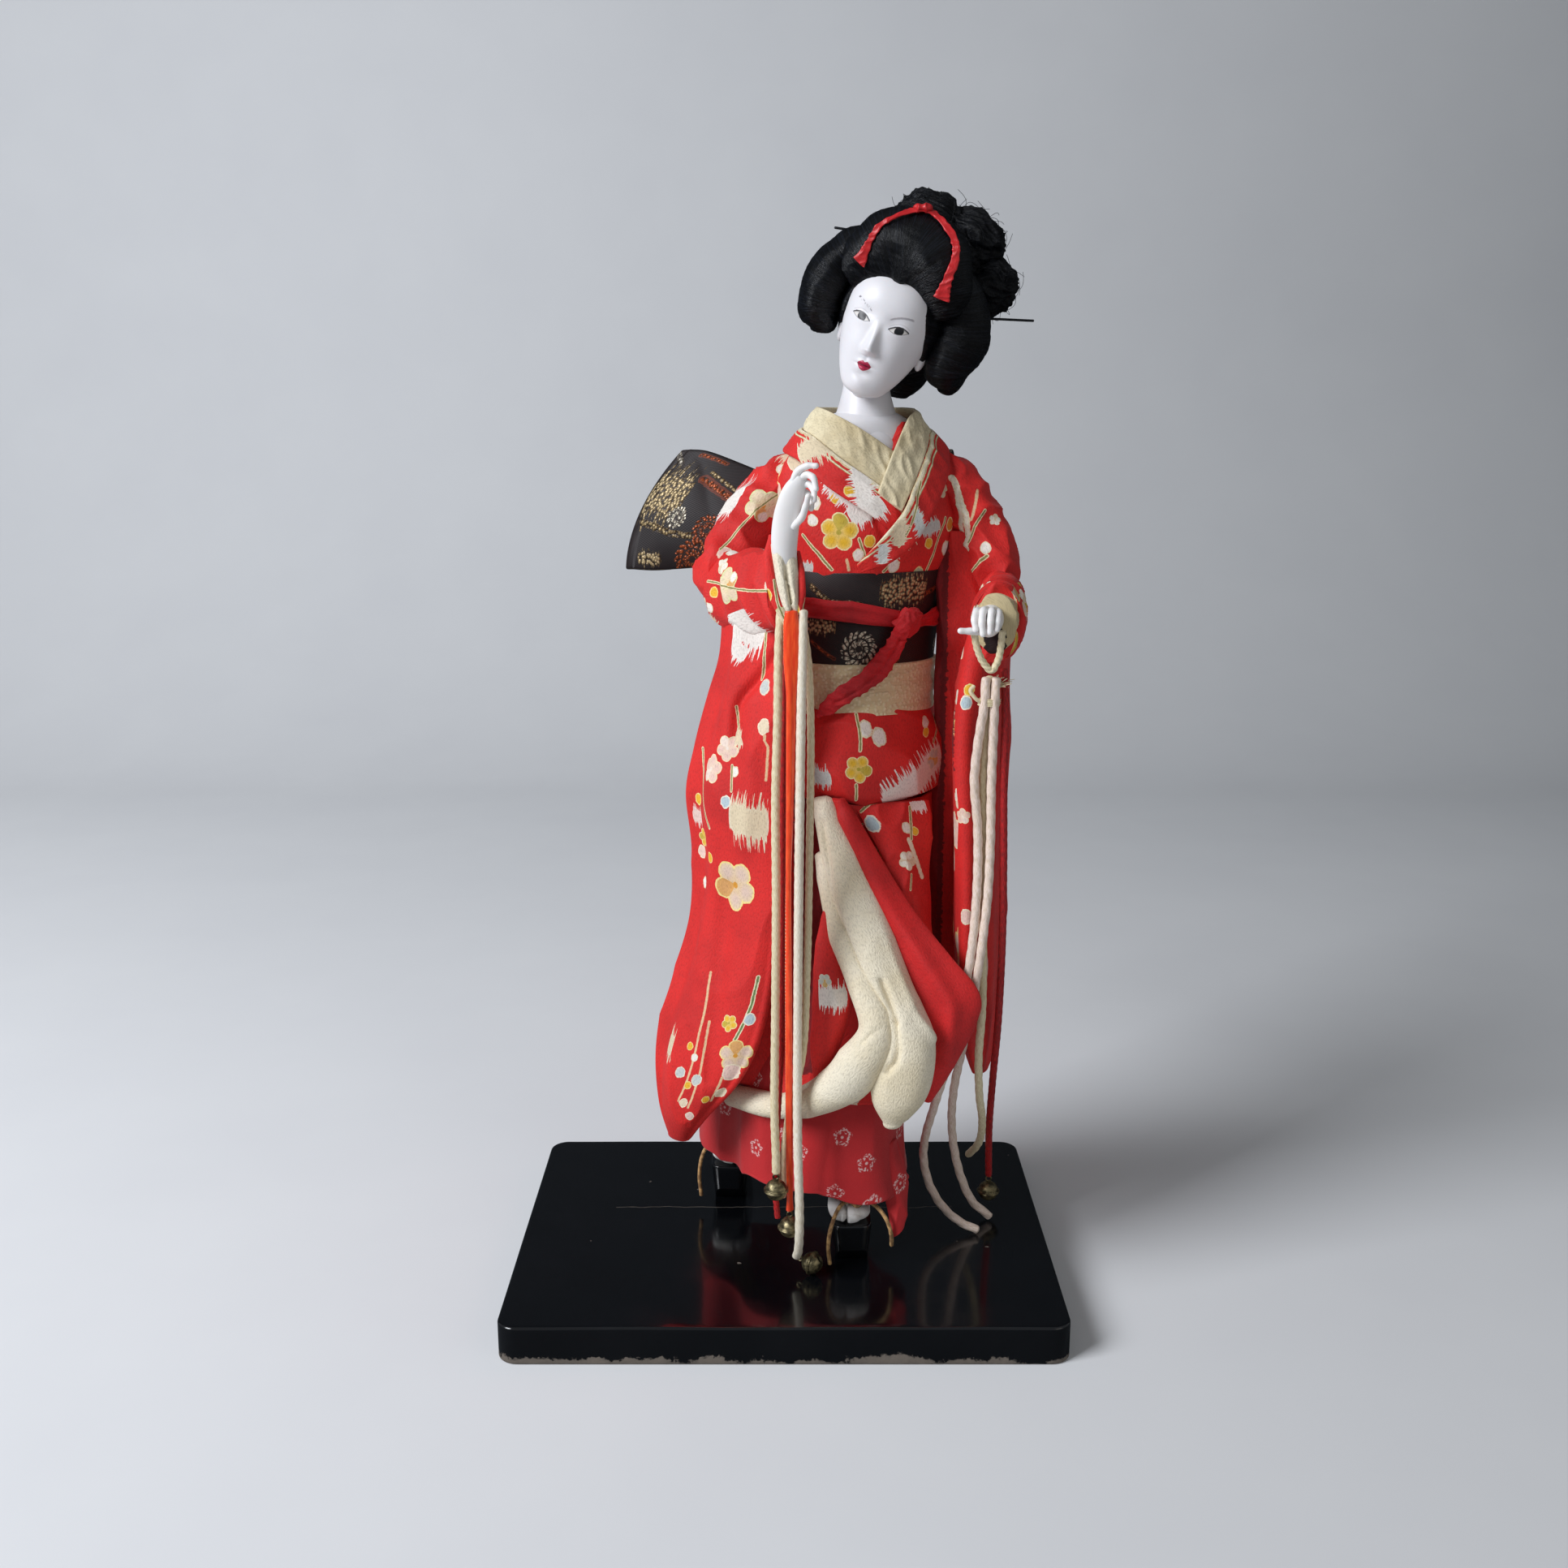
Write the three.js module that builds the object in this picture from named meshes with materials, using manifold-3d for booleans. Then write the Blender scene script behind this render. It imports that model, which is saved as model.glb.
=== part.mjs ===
// A dancing doll on a lacquered board, in millimetres, Z up.
// The board's underside is at Z = 0 and the doll faces -Y.
import * as THREE from "three";
import { mergeVertices } from "three/addons/utils/BufferGeometryUtils.js";
import Module from "manifold-3d";

const wasm = await Module();
wasm.setup();

// Clearances
const fit = 0.3;
const socketFit = 0.35;

// Board
const boardWidth = 225;
const boardDepth = 167;
const boardHeight = 16;
const boardCorner = 8;
const boardEdge = 1;

// Clogs, feet and the rods that hold them to the board
const clogHeight = 17.5;
const clogLength = 48;
const clogWidth = 24.5;
const clogTaper = 1.6;
const clogToeCut = 5;
const footLength = 38;
const footWidth = 18;
const footHeight = 13;
const heelShare = 0.72;
const toeSplit = 1.2;
const rodRadius = 1.5;
const rodInBoard = 11;
const rodInLeg = 28;
const rightFoot = { x: -23.7, front: 19, turn: -0.03 };
const leftFoot = { x: 27.5, front: -36, turn: 0.04 };
const thongRadius = 0.75;

// Heights of the figure's layers above the table, with the soles at soleDatum
const soleDatum = 33.5;
const ankleHeight = 50;
const hipHeight = 211;
const sashHeight = 246;
const obiHeight = 264;
const chestHeight = 300;
const shoulderHeight = 347;
const torsoTurn = 20;

// Neck, head and coiffure
const neckX = 32.5;
const neckY = 10;
const neckTop = 381;
const neckFoot = 345;
const pegRadius = 4;
const pegLength = 22;
const headAt = [39.9, 3.5, 393.3];
const headPitch = 5;
const headLean = 21;
const headTurn = -10;
const pinRadius = 0.5;

// Bells
const bellRadius = 4.4;
const bellWall = 0.55;
const bellRim = 0.6;
const bellSlit = 1.1;
const pelletRadius = 1.3;
const eyeRadius = 1.5;
const eyeWire = 0.4;

// Arm wires
const wireRadius = 1.2;

// Looks, from the photograph
const look = (color, roughness, metalness = 0) =>
  new THREE.MeshStandardMaterial({ color, roughness, metalness, flatShading: true });
const lacquer = look("#0b0c0f", 0.12);
const gofun = look("#edebee", 0.45);
const cotton = look("#f2f1f2", 0.8);
const hairSilk = look("#0c0d10", 0.5);
const redCrepe = look("#d82a25", 0.85);
const deepRed = look("#c01a1f", 0.85);
const creamCrepe = look("#e8ddc3", 0.85);
const sashSilk = look("#cdb78a", 0.6);
const brocade = look("#241a18", 0.5, 0.2);
const ribbonSatin = look("#f0420f", 0.45);
const straw = look("#b99a62", 0.9);
const bareWood = look("#a9814f", 0.7);
const steel = look("#8a8c90", 0.4, 1);
const darkBrass = look("#6e6650", 0.45, 1);
const goldCord = look("#b98a56", 0.6);
const cordCream = look("#e2d8c2", 0.8);
const cordWhite = look("#efe9e2", 0.8);

const radians = THREE.MathUtils.degToRad;
const vec = (p) => new THREE.Vector3(p[0], p[1], p[2]);

// Turns a closed geometry into a solid whose faces point outwards.
function solid(geometry) {
  const bare = geometry.index ? geometry.toNonIndexed() : geometry.clone();
  for (const name of Object.keys(bare.attributes)) {
    if (name !== "position") bare.deleteAttribute(name);
  }
  const merged = mergeVertices(bare, 1e-3);
  const triVerts = new Uint32Array(merged.index.array);
  const vertProperties = new Float32Array(merged.attributes.position.array);
  const made = new wasm.Manifold(new wasm.Mesh({ numProp: 3, vertProperties, triVerts }));
  if (made.volume() >= 0) return made;
  for (let i = 0; i < triVerts.length; i += 3) {
    [triVerts[i + 1], triVerts[i + 2]] = [triVerts[i + 2], triVerts[i + 1]];
  }
  return new wasm.Manifold(new wasm.Mesh({ numProp: 3, vertProperties, triVerts }));
}

// A solid that was placed by a matrix.
function placed(geometry, x = 0, y = 0, z = 0, rx = 0, ry = 0, rz = 0) {
  const matrix = new THREE.Matrix4().makeRotationFromEuler(new THREE.Euler(rx, ry, rz));
  matrix.setPosition(x, y, z);
  return solid(geometry.clone().applyMatrix4(matrix));
}

// Closed rings of points, joined ring to ring and closed by a fan at each end.
function skin(rings) {
  const count = rings[0].length;
  const points = [];
  const faces = [];
  for (const ring of rings) {
    for (const p of ring) points.push(p.x, p.y, p.z);
  }
  for (let r = 0; r + 1 < rings.length; r++) {
    for (let i = 0; i < count; i++) {
      const a = r * count + i;
      const b = r * count + ((i + 1) % count);
      faces.push(a, b, a + count, b, b + count, a + count);
    }
  }
  for (const r of [0, rings.length - 1]) {
    const middle = rings[r].reduce((sum, p) => sum.add(p), new THREE.Vector3()).divideScalar(count);
    const centre = points.length / 3;
    points.push(middle.x, middle.y, middle.z);
    for (let i = 0; i < count; i++) {
      const a = r * count + i;
      const b = r * count + ((i + 1) % count);
      if (r === 0) faces.push(centre, b, a);
      else faces.push(centre, a, b);
    }
  }
  const geometry = new THREE.BufferGeometry();
  geometry.setAttribute("position", new THREE.Float32BufferAttribute(points, 3));
  geometry.setIndex(faces);
  return geometry;
}

// A smooth value between stations; t runs from 0 to 1 over their count.
function smooth(stations, t) {
  const last = stations.length - 1;
  const s = Math.min(Math.max(t, 0), 1) * last;
  const i = Math.min(Math.floor(s), last - 1);
  const f = s - i;
  const before = stations[Math.max(i - 1, 0)];
  const after = stations[Math.min(i + 2, last)];
  return stations[i].map((p1, k) => {
    const p2 = stations[i + 1][k];
    const m1 = (p2 - before[k]) / 2;
    const m2 = (after[k] - p1) / 2;
    const f2 = f * f;
    const f3 = f2 * f;
    return p1 * (2 * f3 - 3 * f2 + 1) + m1 * (f3 - 2 * f2 + f) + p2 * (3 * f2 - 2 * f3) + m2 * (f3 - f2);
  });
}

// A body of level oval rings. A station is [z, x, y, half width, half depth, turn in degrees].
// Folds swell and draw in the ring: [how many, how deep in mm, at what angle they start].
function stack(stations, rows, sides, grow = 0, folds = null) {
  const rings = [];
  for (let r = 0; r <= rows; r++) {
    const [z, x, y, a, b, turn] = smooth(stations, r / rows);
    const end = r === 0 ? -1 : r === rows ? 1 : 0;
    const up = Math.sign(stations.at(-1)[0] - stations[0][0]);
    const ring = [];
    for (let i = 0; i < sides; i++) {
      const angle = (2 * Math.PI * i) / sides;
      const wave = folds ? folds[1] * Math.cos(folds[0] * angle + folds[2]) * Math.sin((Math.PI * r) / rows) : 0;
      const u = (Math.max(a, 0.4) + grow + wave) * Math.sin(angle);
      const v = -(Math.max(b, 0.4) + grow + wave) * Math.cos(angle);
      const c = Math.cos(radians(turn));
      const s = Math.sin(radians(turn));
      ring.push(new THREE.Vector3(x + u * c - v * s, y + u * s + v * c, z + end * up * grow));
    }
    rings.push(ring);
  }
  return solid(skin(rings));
}

// A limb along a path. A station is [x, y, z, half width along side, other half width].
function limb(stations, rows, sides, side, grow = 0) {
  const rings = [];
  const at = (t) => vec(smooth(stations, t));
  for (let r = 0; r <= rows; r++) {
    const t = r / rows;
    const [x, y, z, a, b] = smooth(stations, t);
    const ahead = at(t + 0.01).sub(at(t - 0.01)).normalize();
    const across = vec(side).addScaledVector(ahead, -vec(side).dot(ahead)).normalize();
    const other = new THREE.Vector3().crossVectors(ahead, across);
    const end = r === 0 ? -grow : r === rows ? grow : 0;
    const centre = new THREE.Vector3(x, y, z).addScaledVector(ahead, end);
    const ring = [];
    for (let i = 0; i < sides; i++) {
      const angle = (2 * Math.PI * i) / sides;
      const p = centre.clone();
      p.addScaledVector(across, (Math.max(a, 0.25) + grow) * Math.cos(angle));
      p.addScaledVector(other, (Math.max(b, 0.25) + grow) * Math.sin(angle));
      ring.push(p);
    }
    rings.push(ring);
  }
  return solid(skin(rings));
}

// A strip of cloth between two edges. A station is [x, y, z of one edge, x, y, z of the other].
// It is thick mm through, lies centred on the surface and can bulge forwards in its middle.
function strip(stations, rows, columns, thick, bulge, grow = 0) {
  const at = (t, w) => {
    const s = smooth(stations, t);
    const one = vec(s);
    const two = vec(s.slice(3));
    const p = one.lerp(two, w);
    p.y -= bulge * Math.sin(Math.PI * w);
    return p;
  };
  const span = (t) => at(t, 0).distanceTo(at(t, 1));
  const rings = [];
  for (let r = 0; r <= rows; r++) {
    const t = r / rows;
    const ahead = at(t + 0.01, 0.5).sub(at(t - 0.01, 0.5)).normalize();
    const end = r === 0 ? -grow : r === rows ? grow : 0;
    const front = [];
    const back = [];
    for (let c = 0; c <= columns; c++) {
      const w = c / columns;
      const across = at(t, Math.min(w + 0.02, 1)).sub(at(t, Math.max(w - 0.02, 0))).normalize();
      const normal = new THREE.Vector3().crossVectors(ahead, across).normalize();
      const edge = c === 0 ? -grow : c === columns ? grow : 0;
      const p = at(t, w).addScaledVector(ahead, end);
      if (span(t) > 0.5) p.addScaledVector(across, edge);
      front.push(p.clone().addScaledVector(normal, thick / 2 + grow));
      back.unshift(p.clone().addScaledVector(normal, -thick / 2 - grow));
    }
    rings.push([...front, ...back]);
  }
  return solid(skin(rings));
}

// A round cord through points, as an extruded section with the given number of sides.
function cord(points, radius, sides, steps) {
  const path = new THREE.CatmullRomCurve3(points.map(vec), false, "centripetal");
  const outline = new THREE.Shape();
  for (let i = 0; i < sides; i++) {
    const angle = (2 * Math.PI * i) / sides;
    const x = radius * Math.cos(angle);
    const y = radius * Math.sin(angle);
    if (i === 0) outline.moveTo(x, y);
    else outline.lineTo(x, y);
  }
  return solid(new THREE.ExtrudeGeometry(outline, { steps, extrudePath: path, bevelEnabled: false }));
}

function ball(x, y, z, rx, ry = rx, rz = rx, grow = 0, fine = 16) {
  const geometry = new THREE.SphereGeometry(1, fine, fine / 2);
  geometry.rotateX(Math.PI / 2);
  geometry.scale(rx + grow, ry + grow, rz + grow);
  return placed(geometry, x, y, z);
}

function lathe(profile, sides) {
  const geometry = new THREE.LatheGeometry(
    profile.map(([r, z]) => new THREE.Vector2(r, z)),
    sides,
  );
  geometry.rotateX(Math.PI / 2);
  return solid(geometry);
}

function box(wide, deep, high, x, y, z, rx = 0, ry = 0, rz = 0) {
  return placed(new THREE.BoxGeometry(wide, deep, high), x, y, z, rx, ry, rz);
}

// Keeps the piece of a cut solid that is left when its trimmings fall away.
function largest(made) {
  return made.decompose().reduce((best, body) => (body.volume() > best.volume() ? body : best));
}

const figure = new THREE.Group();
figure.position.z = boardHeight + clogHeight - soleDatum;
const group = new THREE.Group();
group.add(figure);

function meshOf(name, made, material) {
  const { vertProperties, triVerts } = made.getMesh();
  const geometry = new THREE.BufferGeometry();
  geometry.setAttribute("position", new THREE.BufferAttribute(new Float32Array(vertProperties), 3));
  geometry.setIndex(new THREE.BufferAttribute(new Uint32Array(triVerts), 1));
  const mesh = new THREE.Mesh(geometry, material);
  mesh.name = name;
  return mesh;
}

// The figure's pieces, innermost first. Each is made at its own size and grown by a clearance,
// and each is cut by the grown pieces before it that it touches.
const pieces = [];
function piece(name, material, make, uncut = false) {
  const raw = make(0);
  const before = pieces.filter((p) => !uncut && near(p.grown, raw));
  const cut = before.reduce((made, p) => made.subtract(p.grown), raw);
  const kept = before.length ? largest(cut) : raw;
  pieces.push({ name, grown: make(fit), kept });
  figure.add(meshOf(name, kept, material));
}

function near(one, two) {
  const a = one.boundingBox();
  const b = two.boundingBox();
  return [0, 1, 2].every((k) => a.min[k] < b.max[k] && b.min[k] < a.max[k]);
}

// Board: a rounded plank with softened edges, bored from above for the rods.
function rodHole(foot, depth, clearance) {
  const hole = new THREE.CylinderGeometry(rodRadius + clearance, rodRadius + clearance, depth, 8);
  return placed(hole, foot.x, foot.front + footLength * heelShare, 0, Math.PI / 2);
}

function makeBoard() {
  const shape = new THREE.Shape();
  const w = boardWidth / 2 - boardEdge;
  const d = boardDepth / 2 - boardEdge;
  const r = boardCorner - boardEdge;
  shape.moveTo(-w + r, -d);
  shape.lineTo(w - r, -d);
  shape.absarc(w - r, -d + r, r, -Math.PI / 2, 0);
  shape.lineTo(w, d - r);
  shape.absarc(w - r, d - r, r, 0, Math.PI / 2);
  shape.lineTo(-w + r, d);
  shape.absarc(-w + r, d - r, r, Math.PI / 2, Math.PI);
  shape.lineTo(-w, -d + r);
  shape.absarc(-w + r, -d + r, r, Math.PI, 1.5 * Math.PI);
  const plank = new THREE.ExtrudeGeometry(shape, {
    depth: boardHeight - 2 * boardEdge,
    bevelThickness: boardEdge,
    bevelSize: boardEdge,
    bevelSegments: 1,
    curveSegments: 5,
  });
  plank.translate(0, 0, boardEdge);
  let made = solid(plank);
  for (const foot of [rightFoot, leftFoot]) {
    const hole = rodHole(foot, 2 * rodInBoard, socketFit);
    made = made.subtract(hole.translate([0, 0, boardHeight]));
  }
  return made;
}

group.add(meshOf("base_board", makeBoard(), lacquer));

// Clogs: tall blocks that draw in downwards, with the underside cut back below the toe.
const clogSides = 24;
function makeClog(foot) {
  const half = clogLength / 2;
  const wide = clogWidth / 2;
  const outline = (grow, z) => {
    const ring = [];
    for (let i = 0; i < clogSides; i++) {
      const angle = (2 * Math.PI * i) / clogSides;
      const c = Math.cos(angle);
      const s = Math.sin(angle);
      const x = (wide - grow) * Math.sign(c) * Math.abs(c) ** 0.4;
      const y = (half - grow) * Math.sign(s) * Math.abs(s) ** 0.4;
      ring.push(new THREE.Vector3(x, y, z));
    }
    return ring;
  };
  const lip = 1.2;
  const rings = [
    outline(clogTaper, 0),
    outline(clogTaper * 0.4, clogHeight * 0.5),
    outline(0, clogHeight - lip),
    outline(0.5, clogHeight),
  ];
  let made = solid(skin(rings));
  const cut = box(clogWidth * 2, clogToeCut * 2, clogToeCut * 2, 0, -half, 0, Math.PI / 4);
  made = made.subtract(cut);
  made = made.rotate([0, 0, THREE.MathUtils.radToDeg(foot.turn)]);
  made = made.translate([foot.x, foot.front + half, boardHeight + fit]);
  const hole = rodHole(foot, 3 * clogHeight, socketFit).translate([0, 0, boardHeight]);
  return made.subtract(hole);
}

group.add(meshOf("clog_right", makeClog(rightFoot), lacquer));
group.add(meshOf("clog_left", makeClog(leftFoot), lacquer));

// Support rods from the board through clog and foot into the leg.
const boardTop = soleDatum - clogHeight;
function makeRod(foot, grow) {
  const foot0 = boardTop - rodInBoard + fit;
  const high = ankleHeight + rodInLeg - foot0;
  const rod = new THREE.CylinderGeometry(rodRadius + grow, rodRadius + grow, high + 2 * grow, 8);
  return placed(rod, foot.x, foot.front + footLength * heelShare, foot0 + high / 2, Math.PI / 2);
}

piece("support_rod_right", steel, (grow) => makeRod(rightFoot, grow));
piece("support_rod_left", steel, (grow) => makeRod(leftFoot, grow));

// Feet in split-toed socks. The big toe is on the inner side.
function makeFoot(foot, inner, grow) {
  const w = footWidth / 2;
  const h = footHeight;
  const stations = [
    [0, 0.6, 2.2, w * 0.62, 2.2],
    [0, 2.2, h * 0.26, w * 0.86, h * 0.26],
    [0, footLength * 0.2, h * 0.32, w, h * 0.32],
    [0, footLength * 0.5, h * 0.42, w * 0.86, h * 0.42],
    [0, footLength * 0.8, h * 0.47, w * 0.72, h * 0.47],
    [0, footLength, h * 0.4, w * 0.42, h * 0.4],
  ];
  let made = limb(stations, 6, 10, [1, 0, 0], grow);
  const ankle = [
    [h * 0.45, 0, footLength * heelShare, w * 0.62, h * 0.7, 0],
    [ankleHeight - soleDatum, 0, footLength * heelShare, w * 0.55, h * 0.5, 0],
  ];
  made = made.add(stack(ankle, 1, 10, grow));
  if (grow === 0) {
    const gap = box(toeSplit, 14, footHeight * 2, inner * w * 0.22, 0, 0, 0, 0, 0.04 * inner);
    made = made.subtract(gap);
  }
  made = made.subtract(box(60, 120, 20, 0, 0, -10 - grow));
  made = made.rotate([0, 0, THREE.MathUtils.radToDeg(foot.turn)]);
  return made.translate([foot.x, foot.front + 0.8, soleDatum + fit]);
}

piece("foot_right", cotton, (grow) => makeFoot(rightFoot, 1, grow));
piece("foot_left", cotton, (grow) => makeFoot(leftFoot, -1, grow));

// Toe thongs, come off the clogs at their outer ends and hanging over the front.
const thongLeft = [
  [18.9, -40.6, 19.5],
  [18.2, -41, 28],
  [19.6, -39.2, 36],
  [23.5, -34.5, 42.6],
  [27, -32.5, 43.4],
  [30.2, -33.2, 41.6],
  [33.4, -32.8, 43.4],
  [37.6, -34.8, 42.8],
  [42, -38.2, 38.6],
  [44.2, -38.8, 32],
  [44.6, -37, 26],
];
const thongRight = [
  [-36.8, 15.2, 22],
  [-37.6, 15.2, 31],
  [-36.6, 15.8, 39.5],
  [-34.2, 17, 44.2],
  [-30, 18.4, 45.2],
  [-26.5, 19.4, 42.6],
];
piece("thong_left", goldCord, (grow) => cord(thongLeft, thongRadius + grow, 8, 16));
piece("thong_right", goldCord, (grow) => cord(thongRight, thongRadius + grow, 8, 10));

// Head and neck in one, on a wooden peg that drops into the torso.
const neckProfile = [
  [8.4, neckTop],
  [8.8, 374],
  [10, 368],
  [11.8, 362],
  [14, 356],
  [16.4, 350],
  [16.8, 347],
  [16, neckFoot],
];
function makeNeck(grow) {
  const profile = neckProfile.map(([r, z], i) => [r + grow, i === neckProfile.length - 1 ? z - grow : z]);
  return lathe([[0, neckTop], ...profile, [0, neckFoot - grow]], 28).translate([neckX, neckY, 0]);
}
function makePeg(grow) {
  const peg = new THREE.CylinderGeometry(pegRadius + grow, pegRadius + grow, pegLength + grow, 14);
  return placed(peg, neckX, neckY, neckFoot - fit - (pegLength + grow) / 2, Math.PI / 2);
}

function inHead(made) {
  const turn = new THREE.Matrix4().makeRotationZ(radians(headTurn));
  turn.multiply(new THREE.Matrix4().makeRotationY(radians(headLean)));
  turn.multiply(new THREE.Matrix4().makeRotationX(radians(headPitch)));
  turn.setPosition(headAt[0], headAt[1], headAt[2]);
  return made.transform(turn.elements);
}

// A station of the skull is [z, half width, y of the front, y of the back].
const skull = [
  [-25, 2.5, -15.5, -9],
  [-23, 7.5, -17.6, -6],
  [-18, 11.2, -18.6, 0],
  [-11, 15.2, -19.2, 8],
  [-3, 17.6, -19.4, 14],
  [5, 18.4, -19.6, 18],
  [13, 17.8, -19.4, 19],
  [20, 13.8, -15.6, 16],
  [24.5, 8, -8, 9],
];
function makeSkull(grow) {
  const stations = skull.map(([z, a, front, back]) => [z, 0, (front + back) / 2, a, (back - front) / 2, 0]);
  return stack(stations, 10, 16, grow);
}
function makeHead(grow) {
  const nose = [
    [0, -19, 5, 1.2, 1.2],
    [0, -20.4, 0, 1.6, 1.9],
    [0, -21.8, -5.2, 2.5, 2.5],
    [0, -19.6, -7.6, 2, 1],
  ];
  let made = makeSkull(grow).add(limb(nose, 4, 8, [1, 0, 0], grow));
  for (const side of [-1, 1]) {
    made = made.add(ball(side * 17, 0.5, -4.5, 1.8, 3.4, 5, grow, 8));
  }
  return inHead(made).add(makeNeck(grow));
}

piece("neck_peg", bareWood, (grow) => makePeg(grow));
piece("head", gofun, (grow) => makeHead(grow));

// Hairpins: thin dark rods pushed through the buns.
const pins = {
  hairpin_right: [[-36, 20.3, 28], [-12, 20, 33]],
  hairpin_left: [[22, 26, 13], [49.7, 36, 21.6]],
};
function makePin([from, to], grow) {
  const ends = [from, to].map((end) => [...end, pinRadius, pinRadius]);
  return inHead(limb(ends, 1, 6, [0, 1, 0.2], grow));
}
for (const [name, ends] of Object.entries(pins)) {
  piece(name, steel, (grow) => makePin(ends, grow));
}

// Ribbon over the front hair, with a flat knot on top and flared ends.
function makeHairRibbon(grow) {
  const stations = [
    [-18.7, -19.6, 20.4, 2.6, 0.8],
    [-18.7, -13.7, 28.4, 1.3, 0.9],
    [-15, -5.1, 39.8, 1.1, 1],
    [-7.5, -0.3, 46.2, 1.2, 1.2],
    [1.1, 2.4, 47.5, 2.6, 1.4],
    [9.1, -0.9, 44.9, 1.5, 1.1],
    [16.6, -6.2, 35.5, 1.4, 0.9],
    [20.5, -12.1, 24.1, 1.6, 0.9],
    [21, -17.4, 13.4, 3.2, 0.8],
  ];
  return inHead(limb(stations, 12, 6, [0, 0.9, 0.4], grow));
}
piece("hair_ribbon", deepRed, makeHairRibbon);

// Coiffure: a cap of hair with the front swept up, two side wings, a back wing and a loose bun.
function faceOpening() {
  const oval = new THREE.CylinderGeometry(1, 1, 40, 14);
  oval.scale(17, 1, 25);
  return placed(oval, 0, -26, -8.5);
}
function makeCap(grow) {
  const dome = ball(0, 3.5, 6, 21, 23.5, 24.5, grow, 10);
  const opened = grow > 0 ? dome : dome.subtract(faceOpening());
  return inHead(opened.subtract(box(80, 80, 40, 0, 0, -25)));
}
function makeFrontHair(grow) {
  const stations = [
    [-19.5, -4, 14, 7, 8],
    [-15, -4, 21, 12, 13],
    [-8, -2.5, 26.5, 15.5, 16.5],
    [0, -2, 28, 16.5, 16.7],
    [8, -2.5, 26.5, 15.5, 16],
    [15, -4, 20.5, 12, 12.5],
    [19.5, -4, 13, 7, 7],
  ];
  return inHead(limb(stations, 8, 10, [0, 1, 0], grow));
}
function makeBackHair(grow) {
  const stations = [
    [2, 14, 6, 17, 10],
    [4, 24, -6, 16.5, 10],
    [7, 28, -17, 12.5, 8],
    [8, 29, -24, 6, 4.5],
  ];
  return inHead(limb(stations, 4, 10, [1, 0, 0], grow));
}
const wingRight = [
  [-14, 6, 30, 5, 8],
  [-22, 5, 24, 9, 13],
  [-28, 5, 12, 10, 17],
  [-28.5, 5, 0, 9, 16],
  [-26, 5, -6.5, 5.5, 10],
  [-25, 5, -9.5, 2, 4],
];
const wingLeft = [
  [14, 8, 29, 5, 8],
  [21, 9, 22, 9, 13],
  [27, 11, 9, 11, 16],
  [28, 11, -3, 9.5, 15],
  [28.5, 12, -10, 5.5, 10],
  [28.5, 12, -14, 2, 4],
];
const makeWing = (stations, grow) => inHead(limb(stations, 7, 10, [1, 0, 0], grow));
const bunLobes = [
  [8, 21, 34, 16, 13, 12],
  [-2, 24, 42.5, 14, 12, 12],
  [15, 26, 42, 14, 12, 11.5],
  [28, 26, 28, 12, 12, 11.5],
  [24, 25, 19, 10, 11, 9],
  [-14, 20, 33, 9, 9, 8],
];
function makeBun(grow) {
  const lobes = bunLobes.map(([x, y, z, rx, ry, rz]) => ball(x, y, z, rx, ry, rz, grow, 8));
  return inHead(lobes.reduce((made, lobe) => made.add(lobe)));
}
piece("hair_cap", hairSilk, (grow) => makeCap(grow).add(makeFrontHair(grow)).add(makeBackHair(grow)));
piece("hair_wing_right", hairSilk, (grow) => makeWing(wingRight, grow));
piece("hair_wing_left", hairSilk, (grow) => makeWing(wingLeft, grow));
piece("hair_bun", hairSilk, makeBun);


// Body: a straw bundle with two legs on the rods, bored for the neck peg.
function makeLeg(foot, hipX, grow) {
  const y0 = foot.front + footLength * heelShare;
  const stations = [
    [foot.x, y0, ankleHeight + fit, 5, 5],
    [foot.x * 0.8 + hipX * 0.2, y0 * 0.84 + 1.6, ankleHeight + 36, 7, 7],
    [foot.x * 0.4 + hipX * 0.6, y0 * 0.4 + 5, ankleHeight + 95, 8, 8],
    [hipX, 10, hipHeight + 7, 9, 9],
  ];
  return limb(stations, 3, 6, [1, 0, 0], grow);
}
const torso = [
  [hipHeight + 5, 29, 8, 24, 21, torsoTurn],
  [sashHeight, 31, 9, 24, 20, torsoTurn],
  [obiHeight + 2, 32, 10, 23, 18, torsoTurn],
  [chestHeight, 34, 12, 24, 18, torsoTurn],
  [shoulderHeight - 27, 34.5, 13.5, 29, 20, torsoTurn],
  [shoulderHeight - 12, 34, 14, 30, 18, torsoTurn],
  [neckFoot - fit, 33, 13.5, 24, 13, torsoTurn],
];

// Arm wire: one length through the shoulders from wrist to wrist.
const armWire = [
  [0.5, -44, 304],
  [-5, -34, 300],
  [-14, -16, 297],
  [-22, 2, 298],
  [-18, 10, 308],
  [-8, 15, 322],
  [10, 16.5, 331],
  [34, 17, 332],
  [56, 17.5, 331],
  [72, 16, 322],
  [80, 11, 308],
  [85, 3, 295],
  [84, -12, 289],
  [81, -28, 288],
  [79, -36, 287.5],
];

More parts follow.
